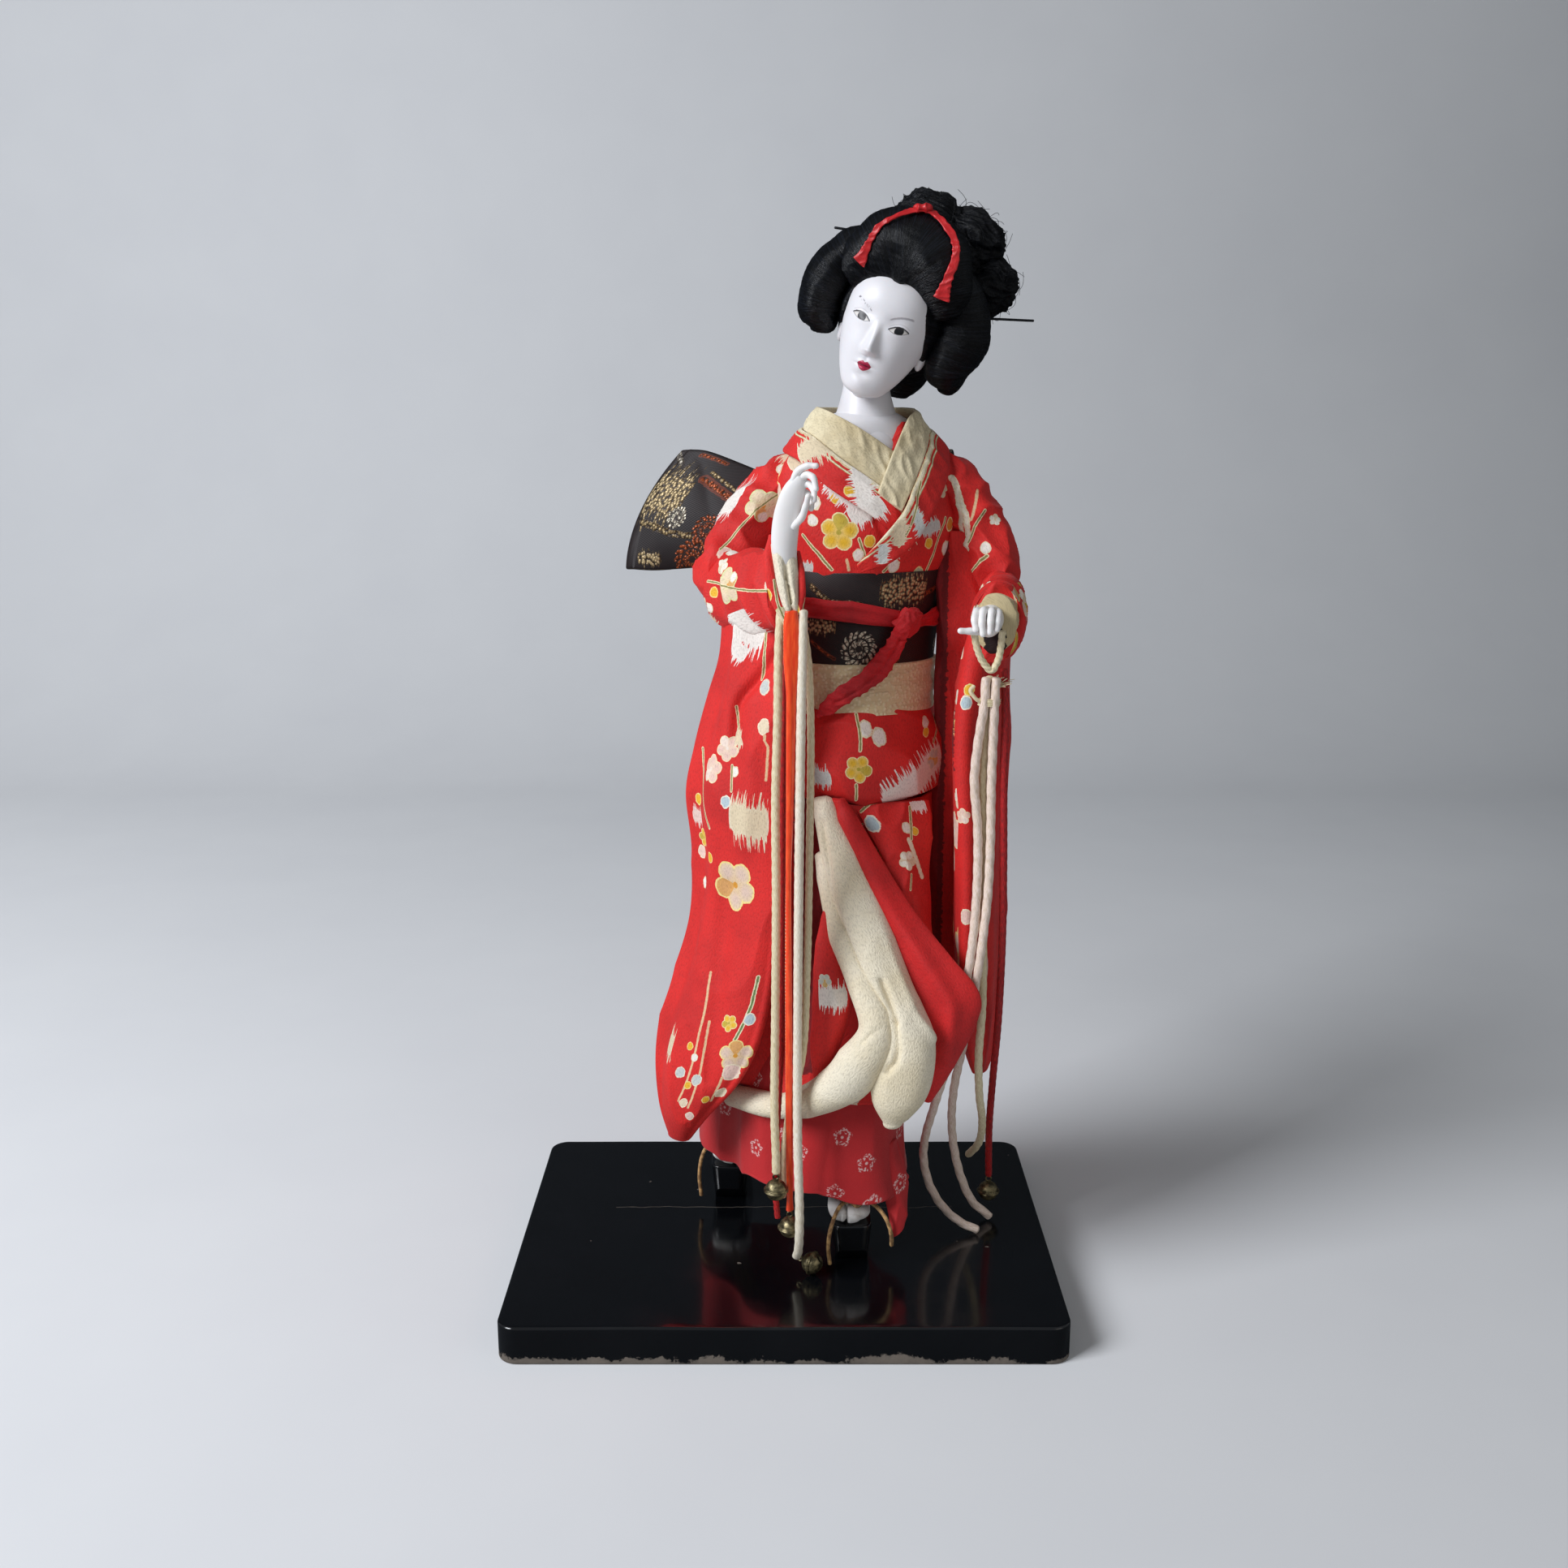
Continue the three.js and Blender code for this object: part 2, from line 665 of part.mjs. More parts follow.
// Hands: coated wood with separate fingers. Right hand raised, left hand closed round its cords.
function fingers(list, radius, grow) {
  return list.map((points) =>
    limb(
      points.map((p, i) => [...p, radius * (1.15 - 0.16 * i), radius * (1.15 - 0.16 * i)]),
      3,
      6,
      [0.3, 0.9, 0.1],
      grow,
    ),
  );
}
function makeRightHand(grow) {
  const palm = [
    [1.5, -45.5, 301, 3.9, 3.6],
    [0.3, -48.5, 309, 4.4, 3.8],
    [0.2, -51.5, 317.5, 4.9, 3.6],
    [1.2, -54, 326, 4.9, 3],
    [3.4, -56.5, 334, 4.3, 2.6],
    [6, -58.5, 339.5, 2.6, 2],
  ];
  const list = [
    [[2.5, -57.5, 336], [5, -59.5, 341.8], [8.4, -61, 343.8], [11.4, -62, 343.8]],
    [[4.5, -57.5, 337], [7.8, -60, 340.6], [10.4, -61.8, 339.6], [11.4, -62.8, 335.8]],
    [[5, -56, 335], [8.2, -58.2, 337.4], [10.6, -60, 335.4], [10.8, -61, 331.8]],
    [[4.8, -54.4, 333], [7.8, -56, 334], [9.8, -57.4, 331.6], [9.8, -58.4, 328.6]],
    [[3.5, -55, 322], [6.4, -57.6, 325.4], [7.8, -60, 329.4], [8.6, -62, 333]],
  ];
  const hand = limb(palm, 5, 8, [1, 0, 0], grow);
  return fingers(list, 1.25, grow).reduce((made, finger) => made.add(finger), hand);
}
function makeLeftHand(grow) {
  const palm = [
    [79.5, -36, 287.5, 3.9, 3.9],
    [78.5, -41, 287.5, 4.2, 4.4],
    [77, -46.5, 287, 5, 5.6],
    [75.6, -51.5, 286, 4.6, 5.2],
    [75, -54, 285.6, 2.4, 3],
  ];
  const list = [
    [[72.5, -49, 290.5], [71, -53, 290.6], [70, -56, 288], [70.4, -57, 284.6]],
    [[75, -49.5, 291], [73.4, -54, 291], [72.6, -57, 287.6], [73, -57.8, 283]],
    [[77.5, -50, 290.8], [76.4, -54.6, 290.8], [75.8, -57, 287.6], [75.6, -57.6, 283.6]],
    [[79.6, -49, 290], [79, -53.6, 290], [78.6, -56, 287.4], [78.2, -56.6, 284.6]],
    [[76, -51, 284.5], [72, -54, 283.6], [68.4, -55.4, 283.8], [65, -56, 284]],
  ];
  const hand = limb(palm, 4, 8, [1, 0, 0], grow);
  return fingers(list, 1.35, grow).reduce((made, finger) => made.add(finger), hand);
}
piece("arm_wire", steel, (grow) => cord(armWire, wireRadius + grow, 6, 22));
piece("body_core", straw, (grow) => {
  const legs = makeLeg(rightFoot, 18, grow).add(makeLeg(leftFoot, 42, grow));
  return stack(torso, 6, 12, grow).add(legs);
});
piece("hand_right", gofun, makeRightHand);
piece("hand_left", gofun, makeLeftHand);

// Bells: a folded brass shell with a rim, a slit below, an eye on top and a loose pellet inside.
// In its own frame a bell hangs down from its eye, whose centre is the origin.
const bellDrop = eyeRadius + bellRadius - 0.2;
function bellShell(grow) {
  const steps = 5;
  const outer = [];
  const inner = [];
  for (let i = 0; i <= steps; i++) {
    const angle = (Math.PI * i) / steps;
    outer.push([(bellRadius + grow) * Math.sin(angle), (bellRadius + grow) * Math.cos(angle)]);
    inner.unshift([(bellRadius - bellWall) * Math.sin(angle), (bellRadius - bellWall) * Math.cos(angle)]);
  }
  let made = lathe(outer.map(([r, z]) => [Math.abs(r) < 1e-6 ? 0 : r, z]), 10);
  const rim = new THREE.CylinderGeometry(bellRadius + bellRim + grow, bellRadius + bellRim + grow, 0.8, 10);
  made = made.add(placed(rim, 0, 0, 0, Math.PI / 2));
  if (grow === 0) {
    made = made.subtract(lathe(inner.map(([r, z]) => [Math.abs(r) < 1e-6 ? 0 : r, z]), 10));
    made = made.subtract(box(bellRadius * 1.5, bellSlit, bellRadius, 0, 0, -bellRadius));
  }
  return made.translate([0, 0, -bellDrop]);
}
function bellEye(grow) {
  const ring = new THREE.TorusGeometry(eyeRadius - eyeWire, eyeWire + grow, 4, 8);
  return placed(ring, 0, 0, 0, Math.PI / 2);
}
function hang(made, { at, tilt }) {
  return made.rotate([tilt[0], tilt[1], tilt[2]]).translate(at);
}
const bells = {
  bell_a: { at: [-3.2, -50, 63.2], tilt: [0, 0, 0] },
  bell_b: { at: [2.4, -44, 43.7], tilt: [0, 0, 0] },
  bell_c: { at: [6.6, -40.4, 22], tilt: [0, -83, -28] },
  bell_left: { at: [90.6, 12, 31.6], tilt: [0, 0, 0] },
};
for (const [name, bell] of Object.entries(bells)) {
  piece(name, darkBrass, (grow) => hang(bellShell(grow).add(bellEye(grow)), bell), true);
  const low = -bellDrop - (bellRadius - bellWall - pelletRadius) + fit;
  const pellet = hang(ball(0, 0, low, pelletRadius, pelletRadius, pelletRadius, 0, 8), bell);
  figure.add(meshOf(name.replace("bell", "pellet"), pellet, darkBrass));
}

// Cords: their points stay as chosen, from the top down. Each ends above its bell's eye.
const cordPaths = {
  cord_right_cream: {
    radius: 1.6,
    look: cordCream,
    at: [
      [-1.2, -50.4, 290.6],
      [-2, -51.6, 276],
      [-2.4, -52, 250],
      [-3.2, -52, 219],
      [-3, -51.6, 182],
      [-3.4, -50.6, 130],
      [-3.8, -50, 90],
      [-3.2, -50, 72],
      [-3.2, -50, 65.2],
    ],
  },
  cord_right_ribbon: {
    radius: 1.4,
    look: ribbonSatin,
    at: [
      [2.6, -53.4, 290.6],
      [2.8, -54.4, 275],
      [2.7, -54.6, 258],
      [2.2, -54.4, 215],
      [1.7, -53.8, 189],
      [1.9, -51.4, 117],
      [2.2, -46, 70],
      [2.4, -44.4, 52],
      [2.4, -44, 45.7],
    ],
  },
  cord_right_white: {
    radius: 1.7,
    look: cordWhite,
    at: [
      [7, -52, 290.6],
      [6.9, -53.4, 283],
      [6.2, -54.6, 240],
      [5.7, -54.4, 190],
      [5.3, -51.8, 118],
      [5.5, -51, 77],
      [6.2, -50.8, 50],
      [6.2, -50, 38],
      [5.8, -46.4, 28.4],
      [5.2, -43.2, 24.6],
    ],
  },
  cord_right_back: {
    radius: 1.4,
    look: cordCream,
    at: [
      [6.2, -47.2, 290.6],
      [9.2, -48.4, 270],
      [10.1, -49.4, 245],
      [9.8, -49.6, 198],
      [9, -49, 150],
      [7.4, -48.2, 115],
      [2.4, -45.4, 90],
      [-0.2, -41.8, 68],
      [-0.4, -40.6, 50],
    ],
  },
  cord_right_red: {
    radius: 1.2,
    look: deepRed,
    at: [
      [1, -46.2, 290.6],
      [0.4, -46.4, 270],
      [-0.4, -46.6, 220],
      [-0.6, -46.4, 160],
      [-1.4, -45.4, 110],
      [-3.2, -43.6, 72],
      [-3.6, -43, 55],
      [-2.6, -43.4, 42],
    ],
  },
  cord_left_long: {
    radius: 1.7,
    look: cordCream,
    at: [
      [75.6, -49.6, 265],
      [75.4, -49, 256],
      [73.8, -45.8, 240],
      [73, -43.6, 225],
      [75, -42, 205],
      [75.4, -41.4, 180],
      [74, -40.6, 155],
      [71, -37, 130],
      [67.6, -27, 104],
      [63.4, -14, 78],
      [60.4, -5, 58],
      [60.6, -2, 46],
      [63.4, -3.4, 35.6],
      [69, -6, 27],
      [76, -8.2, 21.4],
      [83.4, -9.4, 18.2],
    ],
  },
  cord_left_mid: {
    radius: 1.7,
    look: cordCream,
    at: [
      [79.4, -49.6, 265],
      [79.2, -49, 256],
      [79.4, -46, 240],
      [79.6, -43.6, 222],
      [80, -42.4, 200],
      [79.6, -41.8, 178],
      [77.6, -41.2, 155],
      [75, -37, 130],
      [73, -26, 108],
      [71.4, -13, 84],
      [71.8, -5, 66],
      [73.8, -1, 51],
      [77.4, 1.6, 37],
      [82.6, 2.8, 25.4],
      [90.2, 3, 18.2],
    ],
  },
  cord_left_short: {
    radius: 1.6,
    look: cordCream,
    at: [
      [77.4, -46.4, 265],
      [77.4, -45.6, 256],
      [76.8, -42.4, 240],
      [76.6, -40.6, 222],
      [78, -38.8, 200],
      [78.2, -38, 178],
      [79, -37, 155],
      [79.4, -36.6, 130],
      [79, -33, 108],
      [80.6, -26, 88],
      [83.6, -14, 72],
      [84.8, -2, 58],
      [84, 7, 49],
      [81.6, 13.4, 42.6],
    ],
  },
  cord_left_red: {
    radius: 1.5,
    look: deepRed,
    at: [
      [82.6, -46.6, 268],
      [83.8, -45.4, 254],
      [84.2, -43.4, 228],
      [85.6, -40.6, 190],
      [86.6, -36.6, 159],
      [87.2, -28, 122],
      [87.6, -14, 90],
      [88.6, 0, 62],
      [90, 9, 42],
      [90.6, 12, 33.6],
    ],
  },
  cord_left_loop: {
    radius: 1.3,
    look: cordCream,
    at: [
      [70.6, -53, 281.8],
      [71.8, -52.6, 276.6],
      [74.4, -51.8, 271.4],
      [77.4, -51.4, 268.6],
      [79.6, -51.8, 272.4],
      [80.4, -52.6, 277.2],
      [80.6, -53, 282.2],
    ],
  },
};
for (const [name, { radius, look: finish, at }] of Object.entries(cordPaths)) {
  const long = new THREE.CatmullRomCurve3(at.map(vec)).getLength();
  const steps = Math.max(8, Math.ceil(long / (6 * radius)));
  piece(name, finish, (grow) => cord(at, radius + grow, 8, steps), true);
}
const binding = [
  [258.2, 77.4, -47.8, 4.6, 3.4, 0],
  [256, 77.4, -47.5, 5, 3.9, 0],
  [253.8, 77.2, -47.2, 4.6, 3.4, 0],
];
piece("cord_left_binding", cordWhite, (grow) => stack(binding, 2, 8, grow));

// Underskirt: wrapped round both legs, its hem dipping to a corner at the front right.
const underskirt = [
  [hipHeight - 2, 30, 8, 27, 24, torsoTurn],
  [175, 24, 7, 30, 25, 0],
  [130, 14, 7, 37, 27, -28],
  [90, 8, 8, 50, 31, -40],
  [62, 7.6, 8.5, 54, 32, -46],
  [46.6, 8, 9, 57, 33, -47],
];
const hemCorner = [
  [38, -30, 66, 47, -24, 68],
  [41, -32, 50, 51, -26, 54],
  [43, -34, 38, 51.5, -30, 42],
  [44.5, -36.5, 29, 50, -35, 33],
];
piece("underskirt", deepRed, (grow) => {
  const corner = strip(hemCorner, 4, 2, 3, 0.5, grow);
  return stack(underskirt, 5, 18, grow, [6, 1.1, 0.4]).add(corner);
});

// Cream lining that shows where the front is drawn open: two long folds and the rolled hem.
const outerFold = [
  [212, 15.8, -24, 5.2, 4, 0],
  [193, 22.4, -28, 8, 5, 0],
  [175, 28.6, -34, 9.6, 6, 0],
  [155, 36, -40, 10, 7, 0],
  [138, 44, -46, 9, 7.6, 0],
  [125, 49.6, -50, 9.8, 8.4, 0],
  [110, 47.4, -51, 12.4, 9.6, 0],
  [97, 45.6, -51, 10.6, 8.6, 0],
  [87, 43.4, -50.6, 4, 3.6, 0],
];
const innerFold = [
  [15, -25, 190, 3, 4],
  [22, -32, 165, 6, 5.4],
  [31, -41, 143, 7, 7],
  [36.4, -49, 126, 7.4, 8],
  [29.6, -50.4, 110.6, 10, 8.4],
  [20, -46, 99, 8.6, 8],
  [9, -39.6, 91, 6.6, 6.6],
  [0, -31.4, 85.4, 5, 5.4],
  [-11, -22, 83, 4.6, 5.2],
  [-22, -10, 81, 4, 4.6],
];
piece("robe_lining", creamCrepe, (grow) => {
  const inner = limb(innerFold, 12, 8, [1, 0, -0.5], grow);
  return stack(outerFold, 9, 10, grow).add(inner);
});

// Skirt of the robe: wraps the underskirt at the back and sides, with a flat panel in front,
// a turned-back red edge and a small drawn-up flap.
const robeSkirt = [
  [hipHeight - 1.4, 30.5, 7.5, 32, 28.5, torsoTurn],
  [185, 27, 7, 34, 29.5, 8],
  [150, 18, 7, 38.6, 30.6, -14],
  [115, 11, 7.6, 47, 32.6, -32],
  [88, 8, 8, 53.6, 34.2, -40],
];
const frontPanel = [
  [27, -21, 209.6, 59, -12, 209.6],
  [36, -26, 195, 59.5, -15, 196],
  [45, -30, 178, 59, -19, 180],
  [53, -34, 163, 58.5, -24, 164],
  [57, -35, 152, 58.8, -31, 150],
];
piece("robe_skirt", redCrepe, (grow) => {
  const panel = strip(frontPanel, 4, 2, 2.6, 2.5, grow);
  return stack(robeSkirt, 4, 18, grow, [6, 1.2, 1.1]).add(panel);
});
const redPanel = [
  [19, -23, 213, 24, -25, 213],
  [26, -26, 190, 38, -31, 191],
  [32, -31, 168, 52, -36, 170],
  [38, -36, 148, 66, -42, 153],
  [44, -40, 132, 77, -45.6, 139],
  [50, -42, 115, 76, -44, 126],
  [54, -41, 101, 67, -40.6, 105],
  [56, -39, 92, 60, -38, 92],
];
piece("red_panel", deepRed, (grow) => strip(redPanel, 10, 2, 3, 3, grow));
const smallFlap = [
  [176, 19, -30.5, 1.6, 2, 0],
  [158, 17.4, -33, 4.4, 3, 0],
  [143, 18.4, -36, 6.8, 4, 0],
  [131, 19, -38, 7.8, 5, 0],
  [116, 16.6, -38.5, 6.4, 4.4, 0],
  [101, 14.4, -38.4, 2.6, 2.4, 0],
];
piece("small_flap", deepRed, (grow) => stack(smallFlap, 5, 8, grow));

// Waist: the tucked fold of the robe, the cream sash, the stiff obi and the red cord tied over it.
const obi = [
  [obiHeight - 1, 32, 10, 30, 24, torsoTurn],
  [282, 33, 11, 30.4, 24, torsoTurn],
  [chestHeight + 1, 34.4, 12, 31.6, 25, torsoTurn],
];
const sash = [
  [sashHeight - 1, 31, 9, 31.4, 26, torsoTurn],
  [255, 31.6, 9.4, 31.4, 25.4, torsoTurn],
  [obiHeight + 1, 32, 10, 31.4, 25.2, torsoTurn],
];
const hipFold = [
  [sashHeight + 1, 31, 9, 31, 26, torsoTurn],
  [238, 30.8, 8, 33.4, 29, torsoTurn],
  [224, 30.5, 7, 35.4, 31.6, torsoTurn],
  [214, 30.4, 7, 34.6, 31, torsoTurn],
  [hipHeight - 1, 30.4, 7.4, 31, 27.6, torsoTurn],
];
piece("obi", brocade, (grow) => stack(obi, 2, 18, grow));
piece("waist_sash", sashSilk, (grow) => stack(sash, 2, 18, grow));
piece("hip_fold", redCrepe, (grow) => stack(hipFold, 4, 18, grow));
piece("obi_cord", deepRed, (grow) => {
  const band = [
    [279, 33, 11, 31, 24.6, torsoTurn],
    [281, 33, 11, 32.4, 26, torsoTurn],
    [287, 33.2, 11.2, 32.4, 26, torsoTurn],
    [289, 33.4, 11.4, 31.2, 24.8, torsoTurn],
  ];
  const tail = [
    [46, -16, 278, 3.4, 2],
    [40, -18.6, 269, 3.4, 2],
    [32, -20, 260.6, 3, 1.8],
    [23, -21.4, 253.6, 4, 1.8],
    [14, -20.4, 247.6, 5.2, 1.6],
  ];
  const knot = ball(49, -13.5, 281.4, 7, 5, 6.4, grow, 8);
  return stack(band, 3, 18, grow).add(knot).add(limb(tail, 5, 6, [0.6, -0.3, -0.7], grow));
});

// Upper body of the robe and the crossed collars.
const bodice = [
  [chestHeight - 1, 34.4, 12, 31, 24.6, torsoTurn],
  [309, 34.8, 12.6, 35, 27.4, torsoTurn],
  [320, 34.8, 13.6, 38, 28.4, torsoTurn],
  [331, 34.4, 14.6, 38.8, 26.6, torsoTurn],
  [340, 33.6, 15, 37, 23.8, torsoTurn],
  [shoulderHeight, 33, 14.6, 32, 21.4, torsoTurn],
  [354, 32.7, 13.4, 25.6, 19, torsoTurn],
  [359, 32.5, 11.8, 20, 16.6, torsoTurn],
  [365, 32.5, 11, 16.6, 15.2, torsoTurn],
];
// The point of the bodice's surface at an angle from the front and a height, out mm outside it.
function onBodice(angle, z, out) {
  let i = 0;
  while (i < bodice.length - 2 && bodice[i + 1][0] < z) i++;
  const f = (z - bodice[i][0]) / (bodice[i + 1][0] - bodice[i][0]);
  const [, x, y, a, b, turn] = bodice[i].map((value, k) => value + (bodice[i + 1][k] - value) * f);
  const u = (a + out) * Math.sin(radians(angle));
  const v = -(b + out) * Math.cos(radians(angle));
  const c = Math.cos(radians(turn));
  const s = Math.sin(radians(turn));
  return [x + u * c - v * s, y + u * s + v * c, z];
}
piece("bodice", redCrepe, (grow) => stack(bodice.slice(0, -1), 7, 18, grow));

// A collar is one band from the under end in front, round the back of the neck, to the over end.
// A station is [angle, height of the inner edge, angle, height of the outer edge, distance outside].
function collar(route, rows, thick, grow) {
  const stations = route.map(([a1, z1, a2, z2, out]) => [...onBodice(a1, z1, out), ...onBodice(a2, z2, out)]);
  return strip(stations, rows, 1, thick, 0, grow);
}
const creamCollar = [
  [18, 338, 6, 327.6, 2.0],
  [-8, 345, -16, 333.6, 2.2],
  [-30, 354, -42, 343.6, 2.3],
  [-58, 360, -70, 350.6, 2.3],
  [-92, 363, -98, 355.6, 2.3],
  [-134, 364, -138, 357.6, 2.3],
  [-182, 364, -182, 357.6, 2.3],
  [-230, 364, -226, 357.6, 2.3],
  [-270, 363, -268, 355.6, 2.3],
  [-305, 359, -298, 349.6, 2.6],
  [-338, 350, -320, 340.6, 3.8],
  [-364, 339, -346, 328.6, 4.6],
];
const robeCollar = [
  [2, 325, -7, 315, 2.7],
  [-17, 333, -26, 323, 2.7],
  [-43, 342.6, -51, 333, 2.8],
  [-70, 350, -76, 341, 2.8],
  [-98, 355, -101, 346, 2.8],
  [-138, 357, -142, 349, 2.8],
  [-182, 357, -182, 350, 2.8],
  [-226, 357, -222, 349, 2.8],
  [-267, 355, -265, 347, 2.8],
  [-296, 349, -290, 342, 2.8],
  [-318, 339, -308, 332, 3.2],
  [-344, 327, -333, 321, 4.8],
  [-370, 313, -358, 308, 5.2],
  [-386, 305, -376, 301, 3.4],
];
piece("collar_cream", creamCrepe, (grow) => collar(creamCollar, 18, 2, grow));
piece("collar_robe", redCrepe, (grow) => collar(robeCollar, 20, 2.2, grow));

// Sleeves: padded upper arm and forearm, the long hanging bag below and the cream lining at the cuff.
const rightCuff = [
  [314, 0.4, -48, 5.2, 5, 0],
  [308, 0.8, -48, 6, 5.6, 0],
  [300, 2, -48.6, 6.8, 6, 0],
  [291, 3.6, -49.6, 8, 6.4, 0],
];
piece("cuff_lining_right", creamCrepe, (grow) => stack(rightCuff, 3, 10, grow));
piece("sleeve_right", redCrepe, (grow) => {
  const upper = [
    [10, 18, 338, 9, 10],
    [2, 17, 335, 12.6, 12],
    [-8, 14.6, 326, 13.4, 12.6],
    [-17, 11, 313, 13, 12.6],
    [-24, 5, 301, 12.6, 12.4],
    [-26, 1, 293, 9, 9],
    [-26, -1, 288, 3.4, 3.4],
  ];
  const lower = [
    [-27, 3, 293, 5, 8],
    [-23, -4, 293.6, 9.6, 14],
    [-16, -17, 294.6, 9.4, 15.6],
    [-8, -31, 296, 8, 16.4],
    [-1.4, -43.6, 298.6, 6.6, 15.6],
  ];
  return limb(upper, 6, 10, [0.4, 1, 0.2], grow).add(limb(lower, 5, 10, [0.9, 0.4, 0], grow));
});
const rightHang = [
  [286, -13, -18, 19, 7, -52],
  [268, -13, -18.4, 20, 7, -52],
  [252, -15, -19, 22.6, 7, -52],
  [230, -18, -19, 24.4, 7.4, -50],
  [210, -20.6, -19, 26, 7.6, -49],
  [185, -19.4, -19, 24.6, 7.4, -50],
  [160, -20.4, -19, 25, 7.4, -49],
  [135, -25, -19, 26, 7.6, -46],
  [112, -31.4, -19, 26.4, 7.6, -44],
  [94, -37, -17.4, 22.6, 7, -42],
  [76, -43, -13.4, 13.6, 5.6, -42],
  [62, -44.6, -10, 6.4, 3.6, -42],
];
piece("sleeve_right_hang", redCrepe, (grow) => stack(rightHang, 11, 14, grow, [4, 1, 0.6]));
const leftCuff = [
  [82.4, -31, 286, 7.4, 10.6],
  [80.8, -38, 285.6, 8, 11],
  [79.2, -44, 285, 8.4, 11.4],
];
piece("cuff_lining_left", creamCrepe, (grow) => limb(leftCuff, 2, 10, [1, 0, 0], grow));
piece("sleeve_left", redCrepe, (grow) => {
  const upper = [
    [57, 19, 338, 9, 10],
    [65, 18, 335, 12, 12],
    [73, 15, 326, 12.6, 12.4],
    [79.6, 11, 313, 11.6, 12],
    [84, 5, 301, 10.4, 11],
    [85, 2, 294, 7, 8],
    [85, 1, 290, 3, 3],
  ];
  const lower = [
    [86, 6, 291, 5, 7],
    [86, -2, 289.4, 8.6, 12],
    [85.6, -12, 287, 9.6, 14],
    [83.6, -24, 285.4, 10, 15],
    [80.4, -37.6, 284.4, 10.4, 15.4],
  ];
  return limb(upper, 6, 10, [0.4, 1, 0.2], grow).add(limb(lower, 5, 10, [1, 0.1, 0], grow));
});
const leftHang = [
  [280, 81, -17, 19, 8, 68],
  [262, 79, -16, 21, 8.6, 66],
  [240, 78, -15, 22, 9, 65],
  [212, 78.6, -15, 22, 9, 66],
  [180, 79.4, -14.6, 21, 8.6, 66],
  [150, 80, -14, 20.4, 8, 66],
  [122, 81, -12, 18.6, 7.2, 66],
  [104, 82, -9.6, 13.4, 6, 66],
  [91, 82.6, -7.6, 6.4, 3.6, 66],
];
piece("sleeve_left_hang", redCrepe, (grow) => stack(leftHang, 8, 12, grow, [5, 0.9, 0.2]));

// Bow of the obi, behind: two stiff loops folded from brocade, with a cross band.
// The longer loop leans: its upper edge draws in towards the knot, most at its outer end.
const bowReach = { right: 0.893, left: 0.6 };
const bowLean = 0.5;
const bowMiddle = [20, 47, 320];
function makeBowLoop(side, grow) {
  const reach = side < 0 ? bowReach.right : bowReach.left;
  const at = (d, out) => [bowMiddle[0] + side * d * reach, bowMiddle[1] + out, 0];
  const station = (d, out, z, deep, high) => [...at(d, out).slice(0, 2), z, deep, high];
  const outer = [
    station(4, 2, 315, 5, 12),
    station(22, 4, 317, 8, 17),
    station(48, 9, 319.5, 10, 22.5),
    station(70, 14, 321, 9.4, 26.6),
    station(84, 17, 321.5, 5.6, 27),
  ];
  const lean = (loop) =>
    side > 0
      ? loop
      : loop.warp((v) => {
          const share = Math.min(Math.max((bowMiddle[0] - v[0]) / (84 * reach), 0), 1);
          v[0] += bowLean * (v[2] - bowMiddle[2]) * share;
        });
  const made = limb(outer, 4, 10, [0, 1, 0], grow);
  if (grow > 0) return lean(made);
  const band = 2.4;
  const inner = [
    station(16, 3.4, 317, 8 - band - 2, 40),
    station(48, 9, 319.5, 10 - band, 44),
    station(70, 14, 320.5, 9.4 - band, 44),
    station(80, 16.2, 320, 3.6, 44),
  ];
  return lean(made.subtract(limb(inner, 3, 8, [0, 1, 0])));
}
const bowBand = [
  [298, 22, 42, 6.4, 9, 18],
  [308, 21.6, 44, 7.4, 12, 18],
  [322, 21.4, 45, 7.4, 12.6, 18],
  [332, 22, 43, 6.2, 10, 18],
];
piece("obi_bow", brocade, (grow) => {
  const loops = makeBowLoop(-1, grow).add(makeBowLoop(1, grow));
  return stack(bowBand, 4, 10, grow).add(loops);
});

export default group;
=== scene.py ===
"""A standing figure of a young woman in a red crepe kimono, about 45 cm tall on its lacquered board.

Head, hands and feet are wood covered with shell-white; the hair is silk; the clothes are printed silk
crepe and brocade over a straw body; cords with small brass bells hang from both hands.
Lengths in the tables below are millimetres, in the frame of the built part.
"""

import math

